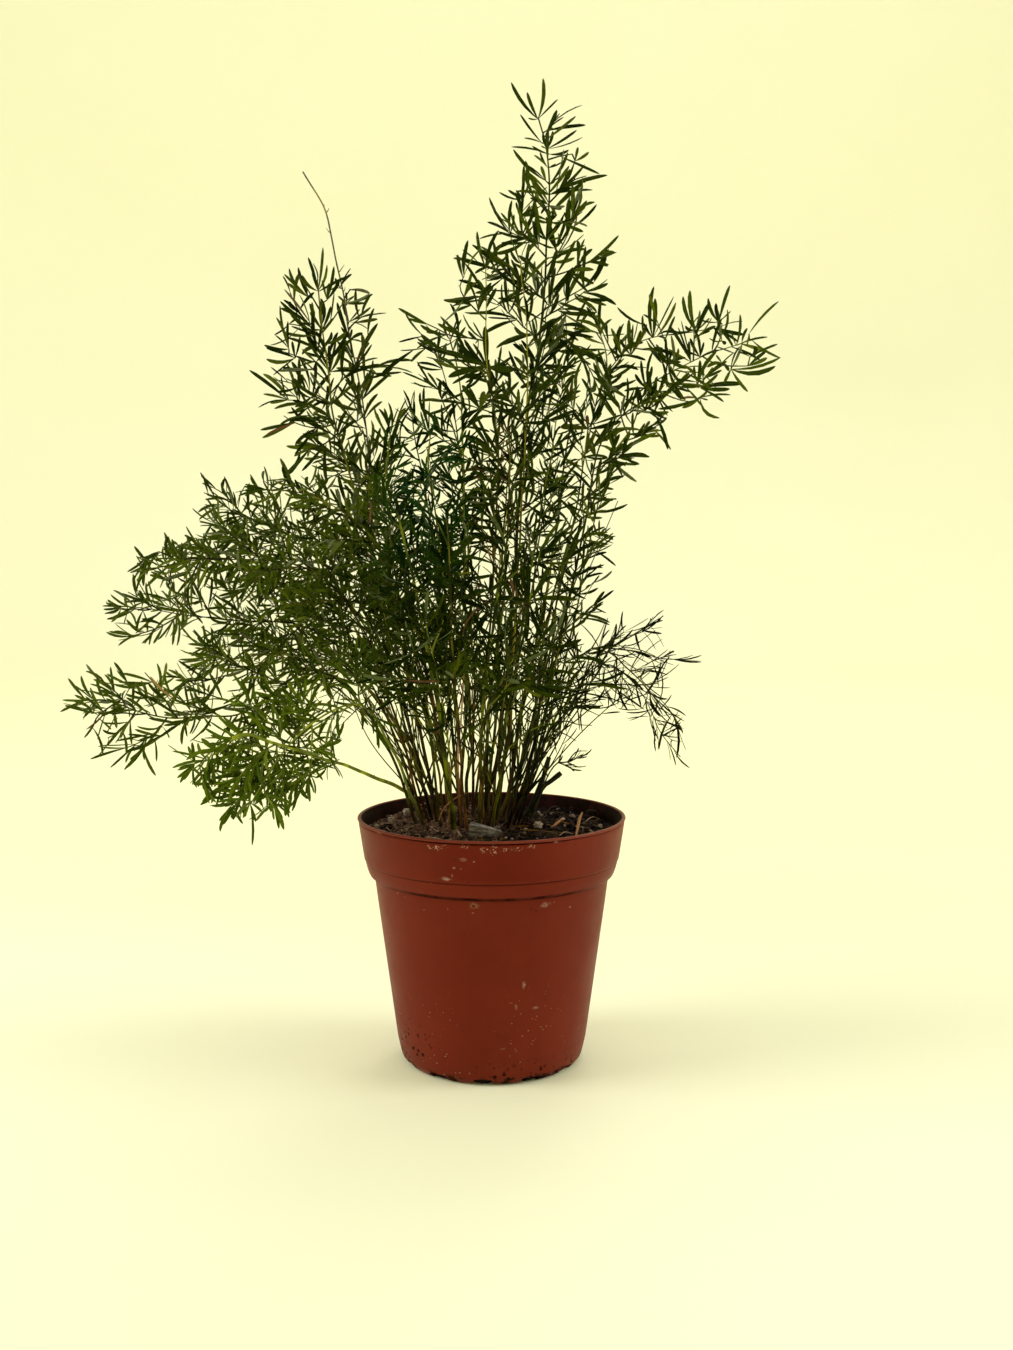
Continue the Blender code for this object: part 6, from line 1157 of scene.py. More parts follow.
for k, fr in enumerate(fronds):
    row, tone = fr["row"], fr["row"][-1]
    rnd = random.Random(4000 + k)
    B = Build()
    # the main stem, from just under the soil to its tip
    path = resample(fr["path"], 0.0026)
    foot = path[0] - UP * 0.0022
    path = np.concatenate([[foot], path])
    n = len(path)
    s = np.linspace(0, 1, n)
    zig = np.sin(s * n * 0.55 + k) * 0.00016 * np.clip(s * 3, 0, 1)
    t, a, b = frames(path)
    path = path + a * zig[:, None]
    # the bare part wanders a little between the foot and the first side branch
    bare = np.sin(np.pi * np.clip(s / row[4], 0, 1)) ** 2
    for side, way in ((a, 0.0), (b, 2.1)):
        wave = 2 * np.pi * s * n * 0.0026 / rnd.uniform(0.030, 0.060)
        path = path + side * (bare * rnd.uniform(0.0004, 0.0009) * np.sin(wave + way + k))[:, None]
    rad = STOUT.get(fr["name"], rnd.uniform(0.58, 1.02)) * np.array([stem_radius(row, f) for f in s]) * (1 + 0.02 * np.sin(np.arange(n) * 1.7 + k))
    kind = STEM_OF.get(fr["name"]) or rnd.choice(["black"] * 2 + ["green"] * 3 + ["bright", "rust", "gold", "gold"])
    rad[:4] *= np.array([1.18, 1.14, 1.08, 1.03])
    tube(B, path, rad, 10, 4 if kind in STEM else 1, 0.80, 0.98, ridge=0.055)
    # scale leaves with a small spur at the nodes of the bare part
    spurs_p, spurs_d = [], []
    i = 5
    while i < n - 2:
        w = rnd.uniform(0, 6.28)
        out = a[i] * math.cos(w) + b[i] * math.sin(w)
        spurs_p.append(path[i] + out * rad[i] * 0.7)
        spurs_d.append(t[i] * 0.8 + out * 0.75)
        i += rnd.choice([9, 12, 15, 18])
    if fr["name"] == "a3":
        for i in range(int(n * 0.70), n - 1, 3):
            w = rnd.uniform(0, 6.28)
            out = a[i] * math.cos(w) + b[i] * math.sin(w)
            bud = [path[i], path[i] + out * 0.0012 + t[i] * 0.0008, path[i] + out * rnd.uniform(0.0016, 0.0040) + t[i] * rnd.uniform(0.0010, 0.0026)]
            tube(B, smooth_path(bud, 0.0006), np.linspace(0.00026, 0.00010, len(smooth_path(bud, 0.0006))), 5, 4, 0.90, 0.98)
    # thin side shoots off the bare part, which rise close to the stem
    low_rows = []
    if fr["name"] not in ("l5", "l6", "a3", "d5"):
        for _ in range(rnd.choice([1, 2]) if fr["name"] in ("c1", "c2", "c3", "c4", "c19", "c20") else rnd.choice([3, 3, 4, 5])):
            i = max(5, int(n * row[4] * rnd.uniform(0.05, 0.80)))
            for _ in range(8):
                w, wide = rnd.uniform(0, 6.28), math.radians(rnd.uniform(9, 38))
                head = t[i] * math.cos(wide) + (a[i] * math.cos(w) + b[i] * math.sin(w)) * math.sin(wide)
                long, sway = rnd.uniform(0.030, 0.080), unit(np.cross(head, [rnd.uniform(-1, 1), rnd.uniform(-1, 1), 0.3])) * rnd.uniform(-0.12, 0.12)
                p = smooth_path([path[i], path[i] + (head + sway) * long * 0.5, path[i] + unit(head * 0.85 + UP * rnd.uniform(-0.1, 0.35)) * long], 0.0045)
                if inside(p[-1]) and inside(p[len(p) // 2]) and within(p[-1]) and not hides(p[0], p[len(p) // 2], rnd) and not hides(p[len(p) // 2], p[-1], rnd):
                    break
            else:
                continue
            fine = resample(p, 0.0026)
            tube(B, fine, np.linspace(rnd.uniform(0.00028, 0.00042), 0.00016, len(fine)), 6, 4 if kind in STEM and rnd.random() < 0.6 else 1, 0.86, 0.98, u0=rnd.uniform(0, 0.5), u1=rnd.uniform(0.6, 1.0))
            pt, pa, pb = frames(p)
            for j in range(len(p) // 2, len(p)):
                for _ in range(rnd.choice([0, 0, 1, 1])):
                    w, wide = rnd.uniform(0, 6.28), math.radians(rnd.uniform(14, 50))
                    d = unit(pt[j] * math.cos(wide) + (pa[j] * math.cos(w) + pb[j] * math.sin(w)) * math.sin(wide))
                    ln = rnd.uniform(0.006, 0.011)
                    if inside(p[j] + d * ln) and within(p[j] + d * ln):
                        low_rows.append((p[j], d, ln, rnd.uniform(0.0006, 0.0010), rnd.uniform(-1, 1), rnd.uniform(-1, 1), rnd.uniform(-1.2, 1.2), rnd.random() * 0.9, tone, k))
    # side branches
    for tw in fr["twigs"]:
        p = tw["path"]
        m = len(p)
        fine = resample(p, 0.0022) if m > 3 else p
        q = np.linspace(0, 1, len(fine))
        swell = 1 + 0.08 * (np.arange(len(fine)) % 2)
        r = (0.00036 - 0.00016 * q) * swell
        tube(B, fine, r, 5, 1, 0.90, 0.98, u0=rnd.uniform(0, 0.5), u1=rnd.uniform(0.6, 1.0))
        tt, ta, tb = frames(p)
        for i in range(1, m - 1):
            w = rnd.uniform(0, 6.28)
            out = ta[i] * math.cos(w) + tb[i] * math.sin(w)
            spurs_p.append(p[i] + out * 0.0002)
            spurs_d.append(tt[i] * 0.7 + out * 0.7)
    placed, stalks = traced_needles(k, fr, rnd)
    for p0, p1 in stalks:
        sag = (p0 + p1) / 2 + UP * 0.06 * np.linalg.norm(p1 - p0)
        tube(B, smooth_path([p0, sag, p1], 0.0016), np.linspace(0.00034, 0.00026, len(smooth_path([p0, sag, p1], 0.0016))), 5, 1, 0.90, 0.98)
    for pts in THREADS.get(fr["name"], ()):
        own = np.concatenate([fr["path"]] + [tw["path"] for tw in fr["twigs"]])
        flat = seen(own)
        near = own[int(np.argmin(np.hypot(flat[:, 0] - pts[0][0], flat[:, 1] - pts[0][1])))]
        p = smooth_path([near] + [spot(u, v, near[1] + 0.0012 * j) for j, (u, v) in enumerate(pts[1:])], 0.0018)
        tube(B, p, np.linspace(0.00034, 0.00015, len(p)), 5, 1, 0.90, 0.98)
    count = len(spurs_p)
    if count:
        cols = np.array([rnd.randrange(COLUMNS) for _ in range(count)])
        P, D = np.array(spurs_p), np.array(spurs_d)
        D /= np.linalg.norm(D, axis=1)[:, None]
        ref = np.cross(D, np.array([0.2, 0.3, 0.93]))
        ref /= np.linalg.norm(ref, axis=1)[:, None]
        oth = np.cross(D, ref)
        size = np.array([rnd.uniform(0.0006, 0.0011) for _ in range(count)])[:, None]
        corner = [P + ref * size * 0.26, P - ref * size * 0.26, P + oth * size * 0.20 - D * size * 0.2, P + D * size]
        f = B.verts(np.stack(corner, 1))
        base = f + np.arange(count) * 4
        for tri in ((0, 1, 3), (1, 2, 3), (2, 0, 3), (0, 2, 1)):
            idx = np.stack([base + q for q in tri], 1)
            B.faces(idx, np.tile(np.array([[[0.30, 0.86], [0.5, 0.86], [0.4, 0.88]]]), (count, 1, 1)), 2)
    # cladodes
    live = [q for q in by_frond[k]] + placed + low_rows
    if live:
        g = np.array([q[7] for q in live])
        dead = np.array([q[7] > 1 or rnd.random() < (0.0025 if tone != 4 else 0.05) for q in live])
        P = np.array([q[0] for q in live])
        D = np.array([q[1] for q in live])
        L = np.array([q[2] for q in live])
        W = np.array([q[3] for q in live]) * np.where(dead & (g <= 1), 0.7, 1.0)
        bend = np.array([q[4] for q in live])
        flex = np.array([q[5] for q in live])
        roll = np.array([q[6] for q in live])
        column = np.floor(g * COLUMNS).clip(0, COLUMNS - 1)
        for pick, mat in ((~dead, 0), (dead, 3)):
            if pick.any():
                cladodes(B, P[pick], D[pick], L[pick], W[pick], bend[pick] * 0.10, flex[pick] * 0.08, roll[pick], column[pick], mat)
    # the core's c fronds take the shaded copies of their ramps, painted shade
    blade = THINLEAF if fr["name"] in ("d1", "d2", "d3", "d5") else SHADED_MIDDLE_FRESH if tone == 2 and fr["name"][0] == "c" else SHADED_MIDDLE_OLIVE if tone == 1 and fr["name"][0] == "c" else DEEPLEAF if fr["name"] in ("c4", "c6", "c15", "c16") else LIGHTLEAF if fr["name"] in ("l1", "l2", "l3", "l4", "l7", "l8", "l9", "l10", "l11") else SHADED_CORE_BLADE if tone == 0 and fr["name"][0] == "c" else BLADE[tone]
    ob = B.piece("fern_" + fr["name"], [blade, SHOOT[tone], SCALE, DEADLEAF] + ([STEM[kind]] if kind in STEM else []), 60)
    hand_over(ob, SLOTS_OF[tone], "frond_%02d" % (k + 1))


# ---------------------------------------------------------------- pot
OUTSIDE = [(0.0330, 0.0), (0.0352, 0.0007), (0.0367, 0.0027), (0.0375, 0.0058), (0.0384, 0.0100), (0.0460, 0.0660),
           (0.0472, 0.0759), (0.0478, 0.0765), (0.0489, 0.0768), (0.0496, 0.0775), (0.0502, 0.0792), (0.0510, 0.0824),
           (0.0514, 0.0831), (0.0535, 0.0966), (0.0540, 0.0976), (0.0540, 0.0990), (0.0534, 0.0997)]
INSIDE = [(0.0331, 0.0017), (0.0350, 0.0036), (0.0362, 0.0064), (0.0370, 0.0103), (0.0446, 0.0660), (0.0458, 0.0767),
          (0.0472, 0.0779), (0.0482, 0.0785), (0.0489, 0.0797), (0.0496, 0.0829), (0.0516, 0.0966), (0.0522, 0.0997)]


def outer_radius(z):
    return float(np.interp(z, [q[1] for q in OUTSIDE], [q[0] for q in OUTSIDE]))


def inner_radius(z):
    return float(np.interp(z, [q[1] for q in INSIDE], [q[0] for q in INSIDE]))


def on_pot(u, v):
    """The point of the pot's front that is seen at a pixel."""
    d = -0.05
    for _ in range(12):
        p = spot(u, v, d)
        r = outer_radius(min(0.0997, max(0.0, p[2])))
        d = -math.sqrt(max(1e-6, r * r - p[0] ** 2))
    return spot(u, v, d)


def rounded(points, reach, closed=False):
    """A profile with each corner cut by a small arc."""
    out = [points[0]]
    for a, b, c in zip(points, points[1:], points[2:]):
        a, b, c = (np.array(q, float) for q in (a, b, c))
        la, lc = np.linalg.norm(a - b), np.linalg.norm(c - b)
        r = min(reach, la * 0.42, lc * 0.42)
        p, q = b + (a - b) / la * r, b + (c - b) / lc * r
        for f in (0.0, 0.33, 0.67, 1.0):
            out.append(tuple((1 - f) ** 2 * p + 2 * f * (1 - f) * b + f * f * q))
    out.append(points[-1])
    return out


def split_long(points, longest):
    out = [points[0]]
    for a, b in zip(points, points[1:]):
        n = max(1, int(math.ceil(math.hypot(b[0] - a[0], b[1] - a[1]) / longest)))
        for i in range(1, n + 1):
            out.append((a[0] + (b[0] - a[0]) * i / n, a[1] + (b[1] - a[1]) * i / n))
    return out


# the wall as moulded: a ledge, a fine crease above it, and a thin bead round the lip
wall = [(0.0330, 0.0), (0.0352, 0.0007), (0.0367, 0.0027), (0.0375, 0.0058), (0.0384, 0.0100), (0.0460, 0.0660),
        (0.0471, 0.0748), (0.0472, 0.0760), (0.0476, 0.0763), (0.0486, 0.0764), (0.04905, 0.0767), (0.04945, 0.0774),
        (0.0502, 0.0794), (0.05090, 0.0822), (0.05085, 0.0826), (0.05135, 0.0831), (0.0535, 0.0974), (0.05345, 0.0982),
        (0.0530, 0.0986), (0.0537, 0.0988), (0.0540, 0.0991), (0.0539, 0.0995), (0.0535, 0.0997)]
profile = rounded(wall + [(0.0526, 0.0997)] + INSIDE[::-1][1:], 0.0005)
profile = split_long(profile, 0.0040)
SEG = 180
bm = bmesh.new()
rings = []
for r, z in profile:
    rings.append([bm.verts.new((r * math.cos(2 * math.pi * q / SEG), r * math.sin(2 * math.pi * q / SEG), z)) for q in range(SEG)])
for a, b in zip(rings, rings[1:]):
    for q in range(SEG):
        bm.faces.new((a[q], a[(q + 1) % SEG], b[(q + 1) % SEG], b[q]))
for ring, z in ((rings[0], 0.0), (rings[-1], 0.0017)):
    last = ring
    for r in (0.026, 0.018, 0.008):
        inner = [bm.verts.new((r * math.cos(2 * math.pi * q / SEG), r * math.sin(2 * math.pi * q / SEG), z)) for q in range(SEG)]
        for q in range(SEG):
            f = (last[q], inner[q], inner[(q + 1) % SEG], last[(q + 1) % SEG])
            bm.faces.new(f if ring is rings[0] else f[::-1])
        last = inner
    mid = bm.verts.new((0, 0, z))
    for q in range(SEG):
        bm.faces.new((last[q], mid, last[(q + 1) % SEG]) if ring is rings[0] else (last[(q + 1) % SEG], mid, last[q]))
bmesh.ops.recalc_face_normals(bm, faces=bm.faces)
me = bpy.data.meshes.new("pot_shell")
bm.to_mesh(me)
bm.free()
pot = bpy.data.objects.new("pot_shell", me)
bpy.context.scene.collection.objects.link(pot)

# drainage slots, with rounded corners
bm = bmesh.new()
for q in range(12):
    ang = math.radians(-95 + 30 * q)
    out, side = Vector((math.cos(ang), math.sin(ang), 0)), Vector((-math.sin(ang), math.cos(ang), 0))
    shape = [(-1, -0.001), (1, -0.001)]
    for f in range(7):
        w = math.pi / 2 * f / 6
        shape.append((1 - 0.30 * (1 - math.cos(w)), 0.0016 + 0.0011 * math.sin(w)))
    shape += [(-x, z) for x, z in shape[2:][::-1]]
    loops = []
    for r in (0.0275, 0.0400):
        loops.append([bm.verts.new(out * r + side * (s * 0.0038) + Vector((0, 0, z))) for s, z in shape])
    bm.faces.new(loops[0])
    bm.faces.new(loops[1][::-1])
    for i in range(len(shape)):
        j = (i + 1) % len(shape)
        bm.faces.new((loops[0][i], loops[1][i], loops[1][j], loops[0][j]))
bmesh.ops.recalc_face_normals(bm, faces=bm.faces)
me = bpy.data.meshes.new("slot_tool")
bm.to_mesh(me)
bm.free()
tool = bpy.data.objects.new("slot_tool", me)
bpy.context.scene.collection.objects.link(tool)
cut = pot.modifiers.new("slots", "BOOLEAN")
cut.operation, cut.solver, cut.object = "DIFFERENCE", "EXACT", tool
bpy.context.view_layer.update()
done = bpy.data.meshes.new_from_object(pot.evaluated_get(bpy.context.evaluated_depsgraph_get()))
pot.modifiers.clear()
pot.data = done
bpy.data.objects.remove(tool, do_unlink=True)
done.shade_smooth()
done.set_sharp_from_angle(angle=math.radians(35))


def pot_material():
    k = Nodes("terracotta_plastic", 0.50, 0.07)
    k.bsdf.inputs["Sheen Weight"].default_value = 0.11
    k.bsdf.inputs["Sheen Roughness"].default_value = 0.38
    k.bsdf.inputs["Sheen Tint"].default_value = (1.0, 0.80, 0.70, 1.0)
    P = k.place()
    xyz = k.add("ShaderNodeSeparateXYZ")
    k.put(P, xyz.inputs[0])
    z = xyz.outputs[2]
    cloud = k.noise(P, 22.0, 4.0, 0.6)
    c = k.mix(k.between(cloud, 0.35, 0.7), (0.128, 0.0130, 0.0036), (0.146, 0.0166, 0.0052))
    # fine pigment streaks of the moulding, running round and up
    flow = k.noise(k.stretch(P, (60, 60, 9)), 3.0, 4.0, 0.6)
    c = k.mix(k.between(flow, 0.45, 0.7, 0.0, 0.22), c, (0.112, 0.0118, 0.0036))
    # dusty film, more of it under the lip and at the foot
    film = k.noise(P, 60.0, 6.0, 0.68)
    high = k.math("ADD", k.between(z, 0.080, 0.098, 0.0, 0.08), k.between(z, 0.020, 0.0, 0.0, 0.30))
    dusty = k.math("MULTIPLY", k.between(film, 0.46, 0.78), k.math("ADD", high, 0.12))
    c = k.mix(k.math("MULTIPLY", dusty, 0.5), c, (0.210, 0.060, 0.034))
    # a few lime and soil specks anywhere
    gate = k.noise(k.vmath("ADD", P, (0.4, 0.2, 0.6)), 34.0, 2.0, 0.5)
    rare = k.voronoi(k.vmath("ADD", P, (0.3, 0.1, 0.2)), 190.0)
    c = k.mix(k.math("MULTIPLY", k.math("MULTIPLY", k.between(rare, 0.065, 0.030), k.between(gate, 0.57, 0.63)), 0.6), c, (0.40, 0.25, 0.18))
    few = k.voronoi(k.vmath("ADD", P, (0.1, 0.8, 0.5)), 210.0)
    c = k.mix(k.math("MULTIPLY", k.math("MULTIPLY", k.between(few, 0.085, 0.045), k.between(gate, 0.44, 0.38)), 0.9), c, (0.020, 0.010, 0.006))
    # dark crumbs of soil, thick near the foot
    cell = k.add("ShaderNodeTexVoronoi", feature="F1")
    k.put(k.vmath("ADD", P, (0.7, 0.4, 0.9)), cell.inputs["Vector"])
    cell.inputs["Scale"].default_value = 560.0
    share = k.add("ShaderNodeSeparateColor")
    k.put(cell.outputs["Color"], share.inputs[0])
    reach = k.between(share.outputs[0], 0.20, 1.0, 0.02, 0.50, smooth=False)
    crumb = k.math("SUBTRACT", cell.outputs["Distance"], reach)
    drift = k.noise(k.vmath("ADD", P, (0.2, 0.2, 0.2)), 60.0, 4.0, 0.6)
    climb = k.between(xyz.outputs[0], -0.012, -0.030, 0.013, 0.036)
    foot = k.math("MULTIPLY", k.between(k.math("DIVIDE", z, climb), 1.0, 0.15), k.between(drift, 0.46, 0.56))
    crumb = k.math("ADD", crumb, k.math("MULTIPLY", k.math("SUBTRACT", k.noise(P, 900.0, 3.0, 0.7), 0.5), 0.9))
    crumb = k.math("MULTIPLY", k.between(crumb, 0.04, -0.05), foot)
    c = k.mix(crumb, c, (0.012, 0.0045, 0.003))
    grey = k.voronoi(k.vmath("ADD", P, (0.4, 0.9, 0.1)), 520.0)
    c = k.mix(k.math("MULTIPLY", k.between(grey, 0.16, 0.08), k.math("MULTIPLY", k.between(drift, 0.54, 0.44), k.between(z, 0.050, 0.010))), c, (0.30, 0.21, 0.16))
    line = k.math("MULTIPLY", k.between(z, 0.0042, 0.0024), k.between(k.noise(P, 130.0, 4.0, 0.7), 0.46, 0.56))
    c = k.mix(k.math("MULTIPLY", line, 0.92), c, (0.014, 0.008, 0.005))
    # painted shadow under the ledge, painted shade in the crease and on the front of the lip band, and painted shadow
    # under the bead of the lip
    x2 = k.math("ABSOLUTE", xyz.outputs[0])
    # the painted shade below fades towards the sides, where more light falls
    front = k.between(x2, 0.0500, 0.0180, 0.30, 1.0)
    # a dark band at the ledge: painted shadow
    ledge_shadow = k.math("MULTIPLY", k.between(k.math("ABSOLUTE", k.math("SUBTRACT", z, 0.0764)), 0.0011, 0.0005), k.math("MULTIPLY", front, k.between(k.noise(P, 90.0, 3.0, 0.6), 0.36, 0.62, 0.50, 0.96)))
    # painted shade: the front of the lip band, just above the crease, is darkened
    lip_front_shade = k.math("MULTIPLY", k.between(z, 0.0826, 0.0850), k.math("MULTIPLY", k.between(xyz.outputs[1], -0.020, -0.045), k.between(x2, 0.034, 0.008)))
    c = k.mix(lip_front_shade, c, k.mix(1.0, c, (0.86, 0.66, 0.50), "MULTIPLY"))
    c = k.mix(ledge_shadow, c, (0.012, 0.0022, 0.0012))
    # a dark line in the crease: painted shade
    crease_shade = k.math("MULTIPLY", k.between(k.math("ABSOLUTE", k.math("SUBTRACT", z, 0.0826)), 0.00050, 0.00012), k.math("MULTIPLY", front, 0.80))
    c = k.mix(crease_shade, c, (0.045, 0.006, 0.003))
    # a dark line just under the bead: painted shadow
    under_bead_shadow = k.math("MULTIPLY", k.between(k.math("ABSOLUTE", k.math("SUBTRACT", z, 0.0984)), 0.00040, 0.00012), k.math("MULTIPLY", k.math("MULTIPLY", front, front), 0.85))
    c = k.mix(under_bead_shadow, c, (0.014, 0.0012, 0.0005))
    # less sheen and specular where the dirt and the painted shade are
    dirt_and_shade = k.math("MAXIMUM", k.math("MAXIMUM", ledge_shadow, crumb), k.math("MAXIMUM", k.math("MAXIMUM", crease_shade, line), under_bead_shadow))
    k.put(k.math("MULTIPLY", k.math("SUBTRACT", 1.0, dirt_and_shade), 0.11), k.bsdf.inputs["Sheen Weight"])
    k.put(k.math("MULTIPLY", k.math("SUBTRACT", 1.0, dirt_and_shade), 0.07), k.bsdf.inputs["Specular IOR Level"])
    bead = k.math("MULTIPLY", k.between(z, 0.0986, 0.0990), 0.55)
    c = k.mix(bead, c, (0.210, 0.046, 0.028))
    # dried splashes of hard water and mud, each at its own place
    ragged, fringe = k.noise(P, 380.0, 5.0, 0.75), k.noise(P, 1500.0, 3.0, 0.7)
    broken = k.between(fringe, 0.38, 0.56, 0.25, 1.0)
    dots = k.between(k.voronoi(P, 1250.0), 0.50, 0.30)
    for (u, v), wide, tall, slant, strength, kind in SMEARS:
        at = on_pot(u, v)
        rel = k.stretch(k.vmath("SUBTRACT", P, tuple(at)), (2490 / wide, 2490 / wide, 2680 / tall), (0, slant, 0))
        d = k.math("ADD", k.vmath("LENGTH", rel), k.math("ADD", k.math("MULTIPLY", k.math("SUBTRACT", ragged, 0.5), 2.4), k.math("MULTIPLY", k.math("SUBTRACT", fringe, 0.5), 1.4)))
        near = k.between(d, 1.15, 0.35)
        if kind == "grains":
            near = k.math("MULTIPLY", near, dots)
        elif kind == "ring":
            near = k.math("MULTIPLY", k.math("MULTIPLY", near, broken), k.between(d, 0.15, 0.60))
        elif kind == "lime":
            near = k.math("MULTIPLY", near, broken)
        tint = {"soil": (0.012, 0.005, 0.003), "grains": (0.50, 0.30, 0.22), "ring": (0.27, 0.135, 0.075), "lime": (0.36, 0.22, 0.17)}[kind]
        c = k.mix(k.math("MULTIPLY", near, strength), c, tint)
    k.put(k.math("ADD", k.between(film, 0.35, 0.7, 0.44, 0.56), k.math("MULTIPLY", dusty, 0.25)), k.bsdf.inputs["Roughness"])
    h = k.math("ADD", k.math("MULTIPLY", k.noise(P, 1400.0, 2.0, 0.5), 0.35), k.math("MULTIPLY", k.noise(k.stretch(P, (90, 90, 14)), 4.0, 2.0, 0.5), 0.5))
    k.bump(h, 0.18, 0.00012)
    return k.colour(c)


def inside_material():
    """The inside of the pot: painted shade, far darker than the outside, mottled and with near-black blotches."""
    k = Nodes("terracotta_plastic_inside", 0.7, 0.05)
    P = k.place()
    film = k.noise(P, 60.0, 6.0, 0.68)
    c = k.mix(k.between(film, 0.4, 0.65), (0.016, 0.0042, 0.0030), (0.038, 0.0080, 0.0050))
    c = k.mix(k.between(k.noise(P, 260.0, 5.0, 0.7), 0.52, 0.62, 0.0, 0.7), c, (0.006, 0.0040, 0.0030))
    return k.colour(c)


# where (u, v), half width and half height in sight, slant, strength and kind
SMEARS = [((430, 847), 3.5, 2.4, 0.0, 0.75, "grains"), ((437, 848), 3.0, 3.0, 0.0, 0.80, "grains"), ((444, 847), 4.0, 2.8, 0.0, 0.80, "grains"),
          ((464, 847), 4.0, 2.6, 0.5, 0.55, "grains"), ((485, 850), 5.0, 3.4, 0.0, 0.60, "grains"), ((494, 850), 4.0, 5.0, -0.3, 0.85, "grains"),
          ((507, 850), 6.0, 2.6, 0.0, 0.50, "grains"), ((518, 849), 5.0, 2.8, 0.0, 0.50, "grains"), ((532, 847), 5.0, 2.6, 0.0, 0.50, "grains"),
          ((558, 842), 5.0, 1.6, 0.0, 0.55, "grains"), ((377, 833), 5.0, 2.6, 0.0, 0.45, "grains"), ((581, 841), 0.9, 2.0, 0.3, 0.55, "lime"),
          ((446, 879), 6.2, 2.5, 0.12, 0.90, "lime"), ((452, 876), 0.9, 2.6, 0.45, 0.50, "lime"), ((454, 868), 1.8, 1.2, 0.0, 0.70, "lime"),
          ((461, 869), 0.8, 0.8, 0.0, 0.60, "lime"), ((463, 860), 5.0, 2.2, 0.1, 0.45, "lime"), ((474, 862), 1.3, 0.8, -0.5, 0.75, "lime"),
          ((391, 840), 1.2, 1.0, 0.0, 0.45, "lime"), ((398, 893), 1.4, 0.8, 0.0, 0.65, "lime"), ((405, 897), 1.0, 0.8, 0.0, 0.40, "lime"),
          ((424, 910), 1.2, 1.0, 0.0, 0.45, "lime"), ((545, 905), 6.0, 3.2, 0.4, 0.50, "lime"), ((570, 907), 1.8, 0.9, -0.6, 0.70, "lime"),
          ((554, 902), 0.9, 1.2, 0.0, 0.30, "lime"), ((474, 906), 4.6, 3.8, 0.0, 0.85, "ring"), ((473, 913), 1.6, 1.0, 0.0, 0.50, "lime"),
          ((474, 906), 1.8, 1.4, 0.0, 0.80, "soil"), ((461, 899), 2.0, 2.0, 0.0, 0.90, "soil"), ((466, 899), 1.4, 1.6, 0.0, 0.85, "soil"),
          ((531, 909), 1.6, 0.9, 0.0, 0.55, "soil"), ((536, 911), 1.3, 0.9, 0.0, 0.60, "soil"), ((394, 860), 1.0, 0.9, 0.0, 0.80, "soil"),
          ((381, 872), 0.9, 0.9, 0.0, 0.90, "soil"), ((404, 887), 1.0, 0.9, 0.0, 0.90, "soil"), ((398, 878), 0.7, 0.7, 0.0, 0.60, "soil"),
          ((524, 985), 2.2, 5.0, 0.7, 0.70, "lime"), ((535, 1008), 4.2, 2.0, -0.3, 0.65, "lime"), ((516, 1007), 1.6, 4.4, 0.8, 0.50, "lime"),
          ((511, 1003), 2.4, 1.0, 0.4, 0.45, "lime"), ((503, 1049), 4.0, 1.4, -0.5, 0.30, "lime")]
done.materials.clear()
done.materials.append(pot_material())
done.materials.append(inside_material())
for f in done.polygons:
    x, y, z = f.center
    f.material_index = 1 if 0.001 < z < 0.0991 and math.hypot(x, y) < (outer_radius(z) + inner_radius(z)) / 2 else 0
hand_over(pot, "terracotta_plastic", "nursery_pot")


# ---------------------------------------------------------------- soil
def ground(x, y):
    d = math.hypot(x - CLUMP[0] / 1000, y - CLUMP[1] / 1000)
    away = min(1.0, max(0.0, (d - 0.029) / 0.010))
    wave = math.sin(x * 410 + 1.1) * math.cos(y * 370 + 0.4) + 0.6 * math.sin(x * 830 - y * 640)
    return SOIL + away * (0.00035 * wave - 0.0003)


def soil_height(x, y):
    """The crumbly surface: clods on clods on grains."""
    p = Vector((x * 1000, y * 1000, 3.0))
    z = ground(x, y)
    z += 0.00110 * noise.noise(p * 0.13) + 0.00060 * noise.noise(p * 0.31 + Vector((7, 3, 1)))
    clod = noise.voronoi(p * 0.42)[0]
    z += 0.00085 * (0.55 - min(1.0, clod[0])) + 0.00045 * abs(noise.noise(p * 0.85))
    z += 0.00028 * noise.noise(p * 1.9)
    r = math.hypot(x, y)
    z -= 0.0007 * max(0.0, (r - 0.0465) / 0.0045) ** 2
    return z


def soil_material():
    k = Nodes("potting_mix", 0.93, 0.05)
    P = k.place()
    big, fine = k.noise(P, 170.0, 5.0, 0.68), k.noise(P, 1000.0, 4.0, 0.7)
    c = k.ramp(big, [(0.0, (0.0030, 0.0018, 0.0014)), (0.44, (0.0070, 0.0038, 0.0028)), (0.56, (0.024, 0.0120, 0.0080)), (0.70, (0.072, 0.037, 0.026)), (1.0, (0.14, 0.080, 0.058))])
    c = k.mix(k.between(fine, 0.54, 0.68, 0.0, 0.75), c, (0.105, 0.066, 0.046))
    c = k.mix(k.between(k.voronoi(P, 520.0), 0.20, 0.10, 0.0, 0.85), c, (0.20, 0.150, 0.115))
    c = k.mix(k.between(k.stretchx(P), -0.004, -0.026, 0.0, 0.74), c, k.mix(k.between(fine, 0.42, 0.58), (0.020, 0.0095, 0.0065), (0.400, 0.205, 0.145)))
    c = k.mix(k.between(k.stretchx(P), -0.004, 0.010, 0.0, 0.90), c, k.mix(1.0, c, (0.30, 0.27, 0.26), "MULTIPLY"))
    k.bump(k.math("ADD", fine, k.math("MULTIPLY", big, 0.6)), 0.9, 0.0007)
    return k.colour(c)


